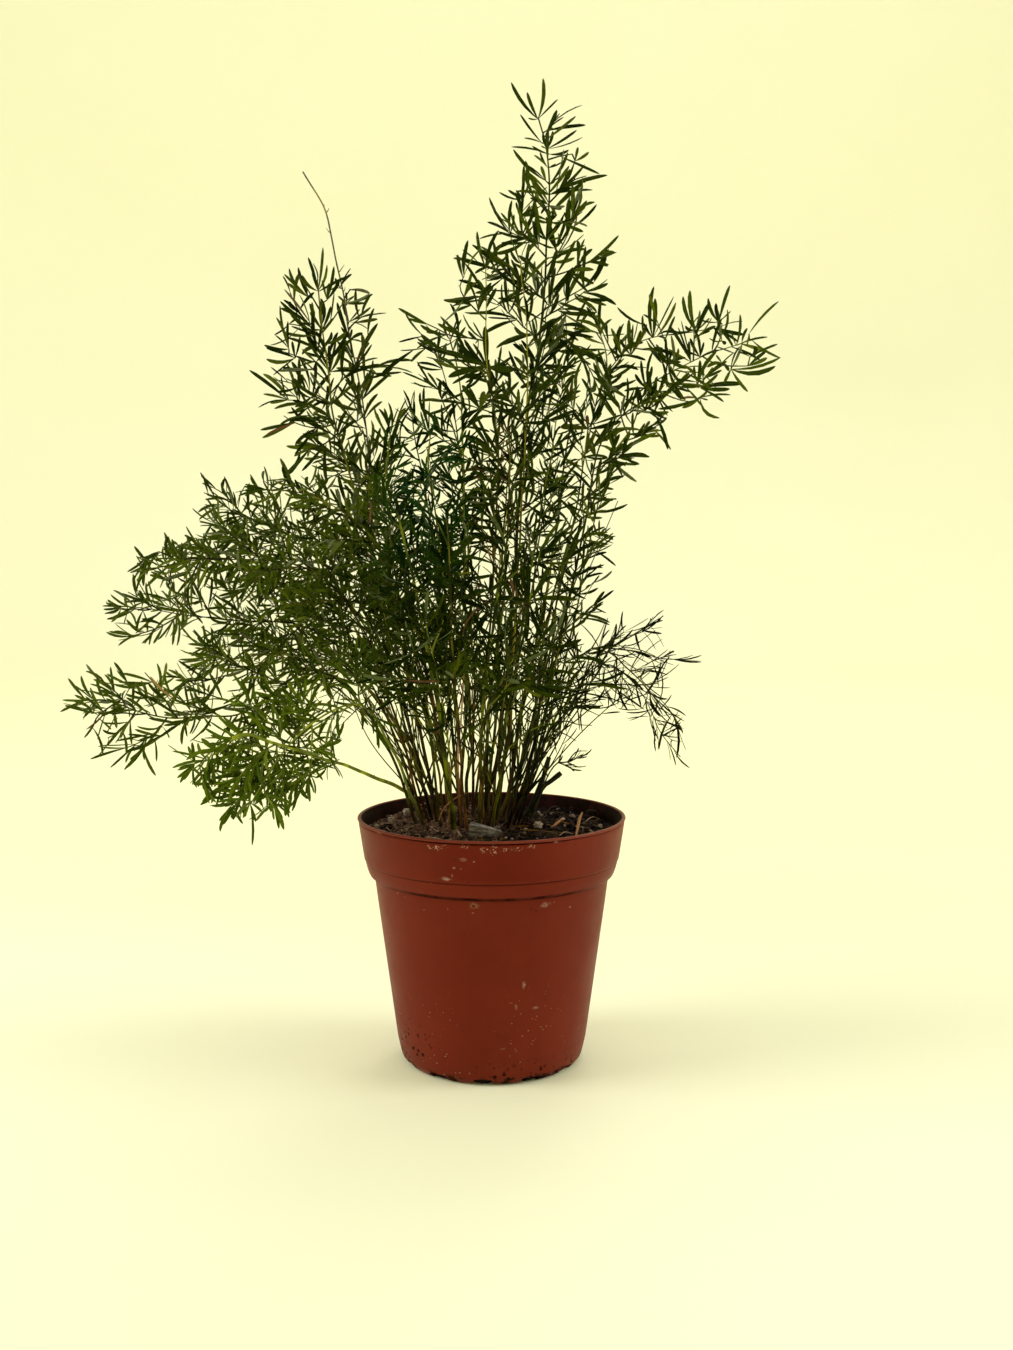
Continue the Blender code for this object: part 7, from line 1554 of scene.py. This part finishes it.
RINGS, ROUND, EDGE_R = 88, 260, 0.0509
B = Build()
grid = np.zeros((RINGS + 1, ROUND, 3))
for i in range(1, RINGS + 1):
    r = EDGE_R * (i / RINGS)
    for q in range(ROUND):
        w = 2 * math.pi * q / ROUND
        x, y = r * math.cos(w), r * math.sin(w)
        grid[i, q] = (x, y, soil_height(x, y))
f = B.verts(grid[1:])
top = B.verts([[0, 0, soil_height(0, 0)]])
i, q = np.meshgrid(np.arange(RINGS - 1), np.arange(ROUND), indexing="ij")
j = (q + 1) % ROUND
quad = np.stack([f + i * ROUND + q, f + (i + 1) * ROUND + q, f + (i + 1) * ROUND + j, f + i * ROUND + j], -1).reshape(-1, 4)
flat = grid[1:, :, :2].reshape(-1, 2) / 0.11 + 0.5
B.faces(quad, flat[quad - f], 0)
q = np.arange(ROUND)
j = (q + 1) % ROUND
centre = np.tile(np.array([0.5, 0.5]), (ROUND, 1))
B.faces(np.stack([f + q, f + j, np.full(ROUND, top)], 1), np.stack([flat[q], flat[j], centre], 1), 0)
edge = f + (RINGS - 1) * ROUND
edge_uv = flat[edge - f + q]
last, rim = edge, [(0.0507, 0.0900), (0.0490, 0.0829), (0.0476, 0.0788), (0.0466, 0.0784), (0.0450, 0.0770), (0.0448, 0.0755), (0.0440, 0.0660), (0.0363, 0.0103), (0.0342, 0.0040), (0.0270, 0.00205)]
for r, z in rim:
    ring = B.verts(np.stack([r * np.cos(2 * np.pi * q / ROUND), r * np.sin(2 * np.pi * q / ROUND), np.full(ROUND, z)], 1))
    B.faces(np.stack([last + q, ring + q, ring + j, last + j], 1), np.stack([edge_uv, edge_uv, edge_uv[j], edge_uv[j]], 1), 0)
    last = ring
low = B.verts([[0, 0, 0.00205]])
B.faces(np.stack([last + j, last + q, np.full(ROUND, low)], 1), np.stack([edge_uv[j], edge_uv, centre], 1), 0)
SOILMAT = soil_material()
hand_over(B.piece("soil", [SOILMAT], 60), "potting_mix", "potting_mix")

STEM_FEET = np.array([fr["path"][0][:2] for fr in fronds])


def lump_shape(rnd, fine):
    bm = bmesh.new()
    bmesh.ops.create_icosphere(bm, subdivisions=fine, radius=1.0)
    v = np.array([x.co for x in bm.verts])
    t = np.array([[x.index for x in f.verts] for f in bm.faces])
    bm.free()
    return v, t


ICO = {q: lump_shape(None, q) for q in (1, 2, 3, 4)}


def lumps(B, spots, fine, mat, seed, jag=0.30, freq=1.7, quant=0.0):
    """Irregular grains: (x, y, z, size x, size y, size z, turn, tilt)."""
    v0, t0 = ICO[fine]
    for n, (x, y, z, sx, sy, sz, turn, tilt) in enumerate(spots):
        shift = Vector(((n * 7.31 + seed) % 97, (n * 3.77 + seed * 2) % 89, (n * 1.93) % 83))
        d = np.array([noise.noise(Vector(q) * freq + shift) for q in v0])
        d2 = np.array([noise.noise(Vector(q) * freq * 2.6 + shift) for q in v0])
        v = v0 * (1 + jag * d + jag * 0.4 * d2)[:, None]
        if quant:
            v = np.clip(v, -quant, quant)
        v = v * np.array([sx, sy, sz]) / 2
        ct, st = math.cos(tilt), math.sin(tilt)
        v = np.stack([v[:, 0], v[:, 1] * ct - v[:, 2] * st, v[:, 1] * st + v[:, 2] * ct], 1)
        c, s = math.cos(turn), math.sin(turn)
        v = np.stack([v[:, 0] * c - v[:, 1] * s, v[:, 0] * s + v[:, 1] * c, v[:, 2]], 1)
        f = B.verts(v + np.array([x, y, z]))
        uv = np.full((len(t0), 3, 2), 0.0)
        col = (n * 0.618) % 1.0
        uv[..., 0] = col
        uv[..., 1] = (0.5 + 0.5 * v0[:, 2])[t0] * 0.9 + 0.05
        B.faces(t0 + f, uv, mat)


def scatter(seed, count, sizes, flatness, keep_off=0.0, r_max=0.0495, sink=0.25, bias=None):
    rnd = random.Random(seed)
    out = []
    while len(out) < count:
        r, w = r_max * math.sqrt(rnd.random()), rnd.uniform(0, 6.283)
        x, y = r * math.cos(w), r * math.sin(w)
        if bias and rnd.random() > bias(x, y):
            continue
        s = sizes[0] + (sizes[1] - sizes[0]) * rnd.random() ** 2
        if r > r_max - s * 0.4:
            continue
        if keep_off and np.min(np.hypot(STEM_FEET[:, 0] - x, STEM_FEET[:, 1] - y)) < keep_off:
            continue
        sx, sy, sz = s * rnd.uniform(0.9, 1.5), s * rnd.uniform(0.6, 1.0), s * rnd.uniform(*flatness)
        out.append((x, y, soil_height(x, y) + sz * (0.5 - sink), sx, sy, sz, rnd.uniform(0, 6.28), rnd.uniform(-0.5, 0.5)))
    return out


def grain_material(name, stops, rough=0.9, fine=700.0, bump=0.5):
    k = Nodes(name, rough, 0.06)
    P = k.place()
    u, v = k.leaf_map()
    wn = k.add("ShaderNodeTexWhiteNoise", noise_dimensions="1D")
    k.put(k.math("FLOOR", k.math("MULTIPLY", u, 64.0)), wn.inputs["W"])
    n = k.noise(P, fine, 4.0, 0.7)
    c = k.ramp(k.math("ADD", k.math("MULTIPLY", wn.outputs["Value"], 0.7), k.math("MULTIPLY", n, 0.3)), stops)
    c = k.mix(k.between(n, 0.55, 0.72, 0.0, 0.4), c, [x * 0.4 for x in stops[0][1]])
    if name == "bark_crumb":
        c = k.mix(k.between(k.stretchx(P), -0.004, 0.010, 0.0, 0.85), c, k.mix(1.0, c, (0.36, 0.32, 0.30), "MULTIPLY"))
    k.bump(n, bump, 0.0004)
    return k.colour(c)


CRUMB = grain_material("bark_crumb", [(0.0, (0.005, 0.003, 0.002)), (0.40, (0.014, 0.008, 0.005)), (0.62, (0.040, 0.022, 0.014)), (0.82, (0.10, 0.060, 0.040)), (1.0, (0.21, 0.135, 0.095))])
GRIT = grain_material("pumice_grain", [(0.0, (0.060, 0.038, 0.028)), (0.30, (0.22, 0.155, 0.120)), (0.60, (0.44, 0.340, 0.275)), (1.0, (0.62, 0.53, 0.45))], 0.95, 1300.0, 1.0)
B = Build()
lumps(B, scatter(21, 520, (0.0008, 0.0030), (0.45, 0.9)), 1, 0, 5, 0.34, 1.4)
lumps(B, scatter(22, 80, (0.0024, 0.0050), (0.30, 0.6), 0.0030, 0.0455), 3, 0, 9, 0.46, 2.4, 0.92)
# plugs of soil in the drainage slots, made near black: painted shade
plugs = [(0.0323 * math.cos(w), 0.0323 * math.sin(w), 0.0014, 0.0084, 0.0046, 0.0030, w + math.pi / 2, 0.0) for w in np.radians(-95 + 30 * np.arange(12))]
lumps(B, plugs, 2, 1, 13, 0.20, 1.6, 0.95)
SLOT_SHADE_SOIL = grain_material("slot_shade_soil", [(0.0, (0.006, 0.004, 0.003)), (0.6, (0.012, 0.008, 0.005)), (1.0, (0.030, 0.018, 0.012))])
hand_over(B.piece("soil_crumbs", [CRUMB, SLOT_SHADE_SOIL], 40), "potting_mix")
B = Build()
left = lambda x, y: 0.25 + 0.75 * min(1.0, max(0.0, (0.01 - x) / 0.03))
lumps(B, scatter(31, 110, (0.0004, 0.0011), (0.7, 1.0), 0.0, bias=left), 1, 0, 3, 0.30, 1.9)
lumps(B, scatter(32, 26, (0.0012, 0.0026), (0.7, 1.0), 0.0034), 2, 0, 4, 0.40, 2.2)
hand_over(B.piece("soil_grit", [GRIT], 45), "pumice")


def straw_material(name, a, b, rough=0.75):
    k = Nodes(name, rough, 0.06)
    P = k.place()
    u, v = k.leaf_map()
    n = k.noise(k.pack(k.math("MULTIPLY", u, 60.0), k.math("MULTIPLY", v, 9.0)), 1.0, 3.0, 0.6)
    c = k.mix(k.between(n, 0.35, 0.65), a, b)
    c = k.mix(k.between(k.noise(P, 800.0, 3.0, 0.6), 0.55, 0.7, 0.0, 0.5), c, [x * 0.35 for x in a])
    if name == "root_fibre":
        c = k.mix(k.between(k.stretchx(P), -0.006, 0.008, 0.0, 0.92), c, k.mix(1.0, c, (0.26, 0.23, 0.21), "MULTIPLY"))
        c = k.mix(k.between(k.noise(P, 240.0, 3.0, 0.6), 0.46, 0.58, 0.0, 0.8), c, (0.020, 0.011, 0.007))
    return k.colour(c)


FIBRE = straw_material("root_fibre", (0.095, 0.050, 0.030), (0.44, 0.270, 0.185), 0.85)
NEEDLE = DEADLEAF
B = Build()
rnd = random.Random(77)
for n in range(640):
    r, w = 0.0475 * math.sqrt(rnd.random()), rnd.uniform(0, 6.28)
    x, y, turn = r * math.cos(w), r * math.sin(w), rnd.uniform(0, 6.28)
    if rnd.random() > 0.30 + 0.70 * min(1.0, max(0.0, (0.004 - x) / 0.024)):
        continue
    length, curl = rnd.uniform(0.004, 0.016), rnd.uniform(-1.0, 1.0)
    pts = []
    m = 8
    lift = rnd.uniform(0.0004, 0.0026) if rnd.random() < 0.45 else 0.0003
    for i in range(m + 1):
        g = i / m
        if math.hypot(x, y) > 0.0492:
            break
        pts.append((x, y, soil_height(x, y) + 0.00035 + lift * math.sin(math.pi * g)))
        turn += curl * 0.25 + rnd.uniform(-0.22, 0.22)
        x += math.cos(turn) * length / m
        y += math.sin(turn) * length / m
    if len(pts) < 4:
        continue
    r0 = rnd.choice([0.00009, 0.00012, 0.00014, 0.00018, 0.00024])
    pts = smooth_path(pts, length / 12)
    u0 = rnd.uniform(0, 0.9)
    tube(B, pts, np.linspace(r0, r0 * 0.45, len(pts)), 5, 0, 0.0, 1.0, u0=u0, u1=u0 + 0.1)
hand_over(B.piece("soil_fibres", [FIBRE], 60), "dry_straw")


def on_soil(u, v, lift=0.0):
    """The point of the soil that is seen at a pixel."""
    lo, hi = -0.0495, 0.0495
    for _ in range(26):
        mid = (lo + hi) / 2
        p = spot(u, v, mid)
        if p[2] > soil_height(p[0], p[1]) + lift:
            lo = mid
        else:
            hi = mid
    p = spot(u, v, lo)
    r = math.hypot(p[0], p[1])
    if r > 0.0492:
        p[:2] *= 0.0492 / r
        p[2] = max(p[2], soil_height(p[0], p[1]) + lift)
    return p


# twigs, roots and husks on the soil: points (u, v, height mm), radius mm, colour
TWIGS = [([(381, 829, 0.4), (388, 822, 1.2), (395, 815, 1.6), (403, 812, 0.6)], 0.34, 0), ([(399, 820, 0.8), (406, 829, 1.2), (413, 837, 0.4)], 0.28, 0),
         ([(425, 798, 0.5), (421, 805, 1.4), (416, 811, 0.5)], 0.26, 0), ([(456, 829, 0.4), (459, 833, 0.9), (463, 838, 0.4)], 0.50, 1),
         ([(551, 828, 0.5), (556, 824, 1.0), (562, 819, 0.5)], 0.60, 2), ([(581, 827, 0.5), (587, 829, 0.8), (593, 832, 0.5)], 0.46, 1),
         ([(559, 836, 0.5), (565, 832, 1.3), (573, 834, 0.5)], 0.24, 1), ([(594, 811, 0.8), (600, 806, 2.0), (604, 810, 1.4), (599, 814, 0.8)], 0.17, 0),
         ([(415, 834, 0.8), (427, 837, 0.9), (440, 838.5, 0.8)], 0.36, 1), ([(386, 810, 0.4), (393, 806, 1.0), (400, 803, 0.5)], 0.24, 0),
         ([(378, 822, 0.6), (386, 827, 1.0), (392, 833, 0.5)], 0.22, 1), ([(403, 834, 0.4), (410, 827, 1.4), (420, 824, 0.6)], 0.22, 1),
         ([(563, 815, 0.4), (571, 821, 1.6), (577, 829, 0.5)], 0.20, 0), ([(585, 822, 0.5), (592, 817, 1.8), (600, 818, 0.6)], 0.18, 1),
         ([(520, 815, 0.4), (528, 810, 1.8), (536, 808, 0.6)], 0.18, 0), ([(546, 812, 0.5), (554, 806, 2.2), (561, 809, 0.6)], 0.18, 0),
         ([(500, 826, 0.5), (509, 820, 1.2), (517, 817, 0.5)], 0.22, 0), ([(430, 826, 0.5), (437, 831, 1.0), (446, 833, 0.5)], 0.24, 1)]
TAN = straw_material("pale_husk", (0.26, 0.165, 0.10), (0.50, 0.36, 0.24), 0.8)
RUSTY = straw_material("rusty_twig", (0.22, 0.085, 0.028), (0.40, 0.19, 0.075), 0.75)
B = Build()
for pts, r0, shade in TWIGS:
    path = smooth_path([on_soil(u, v, lift / 1000) for u, v, lift in pts], 0.0009)
    q = np.linspace(0, 1, len(path))
    tube(B, path, r0 / 1000 * (0.55 + 0.45 * np.sin(np.pi * np.clip(q * 0.9 + 0.08, 0, 1))), 7, shade, 0.0, 1.0, u0=0.1 * shade, u1=0.1 * shade + 0.2, ridge=0.0)
# a dead root that loops up across the stems
path = smooth_path([spot(439, 820, -0.0150), spot(442, 812, -0.0158), spot(446, 806, -0.0164), spot(455, 798.5, -0.0165), spot(467, 793, -0.0160)], 0.0010)
tube(B, path, np.linspace(0.00032, 0.00020, len(path)), 7, 2, 0.0, 1.0)
hand_over(B.piece("soil_twigs", [FIBRE, TAN, RUSTY], 60), "dry_straw")

# grit seen one by one: place, width and height in sight, pale or brown
GRAINS = [((391, 817), 5, 4, 0), ((396, 827), 4, 3, 0), ((423, 812), 6, 7, 1), ((448, 822), 3.5, 7, 0), ((539, 813), 3, 3, 0), ((541, 815), 3, 3, 0),
          ((526, 830), 4, 4, 0), ((517, 824), 5, 8, 1), ((551, 837), 7, 4, 0), ((571, 809), 4, 3, 0), ((576, 809), 4, 3, 0), ((585, 817), 5, 4, 1),
          ((600, 826), 5, 4, 0), ((506, 838), 3, 2.4, 0), ((512, 839), 3, 2.4, 0), ((537, 839), 3, 2.4, 0), ((545, 838), 3, 2.4, 0), ((383, 824), 3, 2.4, 0),
          ((414, 822), 3.4, 2.6, 0), ((429, 832), 3, 2.4, 0), ((402, 831), 3, 2.4, 0)]
B = Build()
for (u, v), wide, tall, shade in GRAINS:
    at = on_soil(u, v + tall * 0.3)
    w, h = wide / 2490, tall / 2680
    lumps(B, [(at[0], at[1], at[2] + h * 0.30, w, w * 0.9, h * 1.15, u * 0.37, 0.1)], 3, shade, u + v, 0.50, 2.3, 0.88)
hand_over(B.piece("soil_grains", [GRIT, CRUMB], 45), "pumice")

B = Build()
P, D, L, W, K1, K2, SP, CO = [], [], [], [], [], [], [], []
for n in range(60):
    r, w = 0.047 * math.sqrt(rnd.random()), rnd.uniform(0, 6.28)
    x, y, turn = r * math.cos(w), r * math.sin(w), rnd.uniform(0, 6.28)
    ln = rnd.uniform(0.005, 0.011)
    ex, ey = x + math.cos(turn) * ln, y + math.sin(turn) * ln
    if math.hypot(ex, ey) > 0.048:
        continue
    a = np.array([x, y, soil_height(x, y) + 0.0007])
    b = np.array([ex, ey, soil_height(ex, ey) + 0.0009])
    P.append(a)
    D.append(b - a)
    L.append(ln)
    W.append(rnd.uniform(0.0006, 0.0013))
    K1.append(rnd.uniform(-0.10, 0.10))
    K2.append(rnd.uniform(-0.03, 0.03))
    SP.append(math.pi / 2 + rnd.uniform(-0.6, 0.6))
    CO.append(rnd.randrange(COLUMNS))
cladodes(B, P, D, L, W, K1, K2, SP, CO, 0)
hand_over(B.piece("fallen_needles", [NEEDLE], 60), "dry_straw")


# ---------------------------------------------------------------- loose pieces with a node of their own
def centre_of(node):
    lo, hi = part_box(node)
    return (lo + hi) / 2, hi - lo


def stone(name, node, mat, slot, seed, turn, jag=0.52, fine=4, shape=(0.95, 0.95, 1.0), quant=0.84, freq=3.0):
    mid, size = centre_of(node)
    B = Build()
    s = [size[q] * shape[q] for q in range(3)]
    lumps(B, [(mid[0], mid[1], mid[2] - 0.0003, s[0], s[1], s[2], turn, 0.0)], fine, 0, seed, jag, freq, quant)
    return hand_over(B.piece(name, [mat], 50), slot, node)


stone("pumice_stone_left", "pumice_left", GRIT, "pumice", 11, 0.4)
stone("pumice_stone_front", "pumice_front", GRIT, "pumice", 17, 1.4)
stone("pumice_stone_right", "pumice_right", GRIT, "pumice", 23, 2.3)
stone("bark_crumb_left", "bark_left", CRUMB, "bark", 31, 0.2, 0.50, 4, (0.95, 0.90, 1.0), 0.9, 3.1)
stone("bark_crumb_right", "bark_right", CRUMB, "bark", 37, 0.1, 0.50, 4, (0.86, 0.82, 0.80), 0.9, 3.1)


def chip():
    """The grey chip: a split slab with a grain that runs along it and a ragged broken end."""
    mid, size = centre_of("wood_chip")
    bm = bmesh.new()
    bmesh.ops.create_cube(bm, size=2.0)
    bmesh.ops.subdivide_edges(bm, edges=bm.edges[:], cuts=17, use_grid_fill=True)
    for v in bm.verts:
        x, y, z = v.co
        low_end = (x + 1) / 2
        y2 = y * (0.98 - 0.34 * low_end ** 1.6)
        z2 = z if z < 0 else z * (1.30 - 1.06 * low_end ** 1.1)      # the top slants down to the right
        grain = noise.noise(Vector((x * 1.1, y * 8.0, z * 8.0))) * 0.11 + noise.noise(Vector((x * 3.0, y * 20, z * 20))) * 0.06
        ends = noise.noise(Vector((y * 4.0, z * 4.0, 2.0 + x))) * 0.16 * abs(x) ** 3
        v.co = Vector((x * (1 + ends), y2 * (1 + grain * 0.6), z2 + grain * (0.5 if z > 0 else 0.1)))
    c, s = math.cos(-0.16), math.sin(-0.16)
    for v in bm.verts:
        x, y, z = v.co.x * 0.0059, v.co.y * 0.0030, v.co.z * 0.0025
        v.co = Vector((mid[0] + x * c - y * s, mid[1] + x * s + y * c, mid[2] + z - 0.0001))
    bmesh.ops.recalc_face_normals(bm, faces=bm.faces)
    me = bpy.data.meshes.new("grey_chip")
    bm.to_mesh(me)
    bm.free()
    me.shade_smooth()
    me.set_sharp_from_angle(angle=math.radians(34))
    ob = bpy.data.objects.new("grey_chip", me)
    bpy.context.scene.collection.objects.link(ob)
    k = Nodes("weathered_wood", 0.9, 0.04)
    P = k.stretch(k.place(), (1, 1, 1), (0, 0, 0.25))
    g = k.noise(k.stretch(P, (120, 900, 900)), 1.0, 5.0, 0.65)
    c = k.ramp(g, [(0.30, (0.020, 0.015, 0.012)), (0.42, (0.090, 0.074, 0.064)), (0.52, (0.19, 0.165, 0.145)), (0.68, (0.42, 0.375, 0.335))])
    c = k.mix(k.between(k.noise(P, 260.0, 3.0, 0.6), 0.48, 0.64, 0.0, 0.5), c, (0.040, 0.028, 0.020))
    high = k.add("ShaderNodeSeparateXYZ")
    k.put(k.place(), high.inputs[0])
    c = k.mix(k.between(high.outputs[2], mid[2] + 0.0004, mid[2] - 0.0018, 0.0, 0.85), c, (0.016, 0.011, 0.008))
    k.bump(g, 1.0, 0.0006)
    me.materials.append(k.colour(c))
    return hand_over(ob, "weathered_wood", "wood_chip")


chip()


def stick(name, node, slot, base, through, r0, r1, mat, sides=9, blunt=True):
    ctl = [np.array([base[0], base[1], SOIL - 0.0015])] + [spot(u, v, d / 1000) for u, v, d in through]
    p = smooth_path(ctl, 0.0016)
    B = Build()
    rr = np.array([r0 + (r1 - r0) * i / (len(p) - 1) for i in range(len(p))])
    rr = rr * (1 + 0.07 * np.sin(np.arange(len(p)) * 1.3) + 0.05 * np.sin(np.arange(len(p)) * 2.9))
    tube(B, p, rr, sides, 0, 0.0, 1.0, ridge=0.0 if sides % 2 else 0.07, point=0.1)
    return hand_over(B.piece(name, [mat], 50), slot, node)


DRY = straw_material("dead_stem", (0.22, 0.09, 0.035), (0.50, 0.30, 0.18), 0.72)
DRYTALL = Nodes("dead_stem_tall", 0.75, 0.05)
u, v = DRYTALL.leaf_map()
DRYTALL = DRYTALL.colour(DRYTALL.mix(DRYTALL.between(DRYTALL.noise(DRYTALL.place(), 500.0, 3.0, 0.6), 0.50, 0.64, 0.0, 0.6), DRYTALL.ramp(v, [(0.0, (0.10, 0.036, 0.014)), (0.36, (0.32, 0.120, 0.045)), (0.52, (0.66, 0.42, 0.29)), (0.82, (0.66, 0.44, 0.30)), (1.0, (0.30, 0.13, 0.05))]), (0.10, 0.045, 0.020)))
STUB = straw_material("cut_stub", (0.010, 0.010, 0.006), (0.034, 0.030, 0.014), 0.7)
stick("dead_stalk_tall", "dead_stem_1", "dead_stem", DEAD[0][0], DEAD[0][1], 0.00044, 0.00032, DRYTALL, 10)
stick("dead_stalk_short", "dead_stem_2", "dead_stem", DEAD[1][0], DEAD[1][1], 0.00044, 0.00034, RUSTY, 10)
stick("stub_left", "cut_stub_1", "cut_stub", DEAD[2][0], DEAD[2][1], 0.00105, 0.00095, STUB, 12)
stick("stub_right", "cut_stub_2", "cut_stub", DEAD[3][0], DEAD[3][1], 0.00095, 0.0010, STUB, 12)

lo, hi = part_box("straw")
B = Build()
z0 = SOIL + 0.0015
pts = smooth_path([(0.0330, -0.0235, z0 - 0.0002), (0.0341, -0.0150, z0 + 0.0013), (0.0352, -0.0060, z0 + 0.0028), (0.0368, 0.0030, z0 + 0.0040)], 0.0012)
s = np.linspace(0, 1, len(pts))
tube(B, pts, 0.00062 * (0.35 + 0.65 * np.sin(np.pi * np.clip(s * 0.94 + 0.04, 0, 1))), 8, 0, 0.0, 1.0, ridge=0.12)
hand_over(B.piece("dry_needle", [straw_material("dry_straw", (0.24, 0.090, 0.030), (0.42, 0.22, 0.09), 0.65)], 60), "dry_straw", "straw")


# ---------------------------------------------------------------- studio
def floor_material():
    k = Nodes("studio_floor", 0.75, 0.15)
    P = k.place()
    c = k.mix(k.between(k.noise(P, 3.0, 2.0, 0.5), 0.3, 0.7), (0.900, 0.892, 0.665), (0.908, 0.900, 0.680))
    at = k.add("ShaderNodeSeparateXYZ")
    k.put(P, at.inputs[0])
    behind = k.math("MULTIPLY", k.between(at.outputs[1], 0.05, 0.28), k.between(at.outputs[1], 2.3, 0.5))
    return k.colour(k.mix(behind, c, k.mix(1.0, c, (1.0, 1.0, 0.85), "MULTIPLY")))


SIDES = 96
bm = bmesh.new()
shape = [(0.0, 0.0)] + [(r, 0.0) for r in (0.15, 0.4, 0.8, 1.3, 1.7)]
shape += [(1.7 + 0.9 * math.sin(w), 0.9 - 0.9 * math.cos(w)) for w in np.linspace(0.1, math.pi / 2, 14)] + [(2.6, 1.6), (2.6, 2.6)]
rings = []
for r, z in shape:
    rings.append([bm.verts.new((r * math.cos(2 * math.pi * q / SIDES), r * math.sin(2 * math.pi * q / SIDES), z)) for q in range(SIDES)] if r else [bm.verts.new((0, 0, z))])
for a, b in zip(rings, rings[1:]):
    for q in range(SIDES):
        j = (q + 1) % SIDES
        bm.faces.new((a[0], b[q], b[j]) if len(a) == 1 else (a[q], b[q], b[j], a[j]))
me = bpy.data.meshes.new("studio_floor")
bm.to_mesh(me)
bm.free()
me.shade_smooth()
me.materials.append(floor_material())
floor = bpy.data.objects.new("studio_floor", me)
bpy.context.scene.collection.objects.link(floor)

world = bpy.data.worlds.new("studio")
bpy.context.scene.world = world
world.use_nodes = True
world.node_tree.nodes["Background"].inputs["Color"].default_value = (1.0, 0.985, 0.925, 1.0)
world.node_tree.nodes["Background"].inputs["Strength"].default_value = 0.60


def lamp(name, place, target, size, power, colour):
    li = bpy.data.lights.new(name, "AREA")
    li.shape = "DISK"
    li.size = size
    li.energy = power
    li.color = colour
    ob = bpy.data.objects.new(name, li)
    ob.location = place
    ob.rotation_euler = (Vector(target) - Vector(place)).to_track_quat("-Z", "Y").to_euler()
    bpy.context.scene.collection.objects.link(ob)
    return ob


lamp("key", (-1.48, -0.30, 0.95), (0, 0, 0.15), 1.0, 17.5, (1.0, 0.985, 0.95))
lamp("fill", (1.48, -0.15, 0.85), (0, 0, 0.13), 1.0, 12.0, (0.99, 0.99, 0.98))
lamp("back", (0.4, 1.5, 1.6), (0, 0, 0.2), 1.0, 7.0, (1.0, 0.99, 0.97))
lamp("wash", (0.0, 0.9, 2.3), (0, 2.6, 0.9), 1.2, 10.5, (1.0, 0.985, 0.94))

cam = bpy.data.cameras.new("view")
cam.sensor_fit = "AUTO"
cam.sensor_width = 36.0
cam.lens = FOCAL * 36.0 / 1350.0
cam.clip_start, cam.clip_end = 0.01, 50.0
eye = bpy.data.objects.new("view", cam)
eye.location = EYE
eye.rotation_euler = (math.pi / 2 - TILT, 0, 0)
bpy.context.scene.collection.objects.link(eye)
bpy.context.scene.camera = eye
bpy.context.scene.view_settings.view_transform = "Standard"
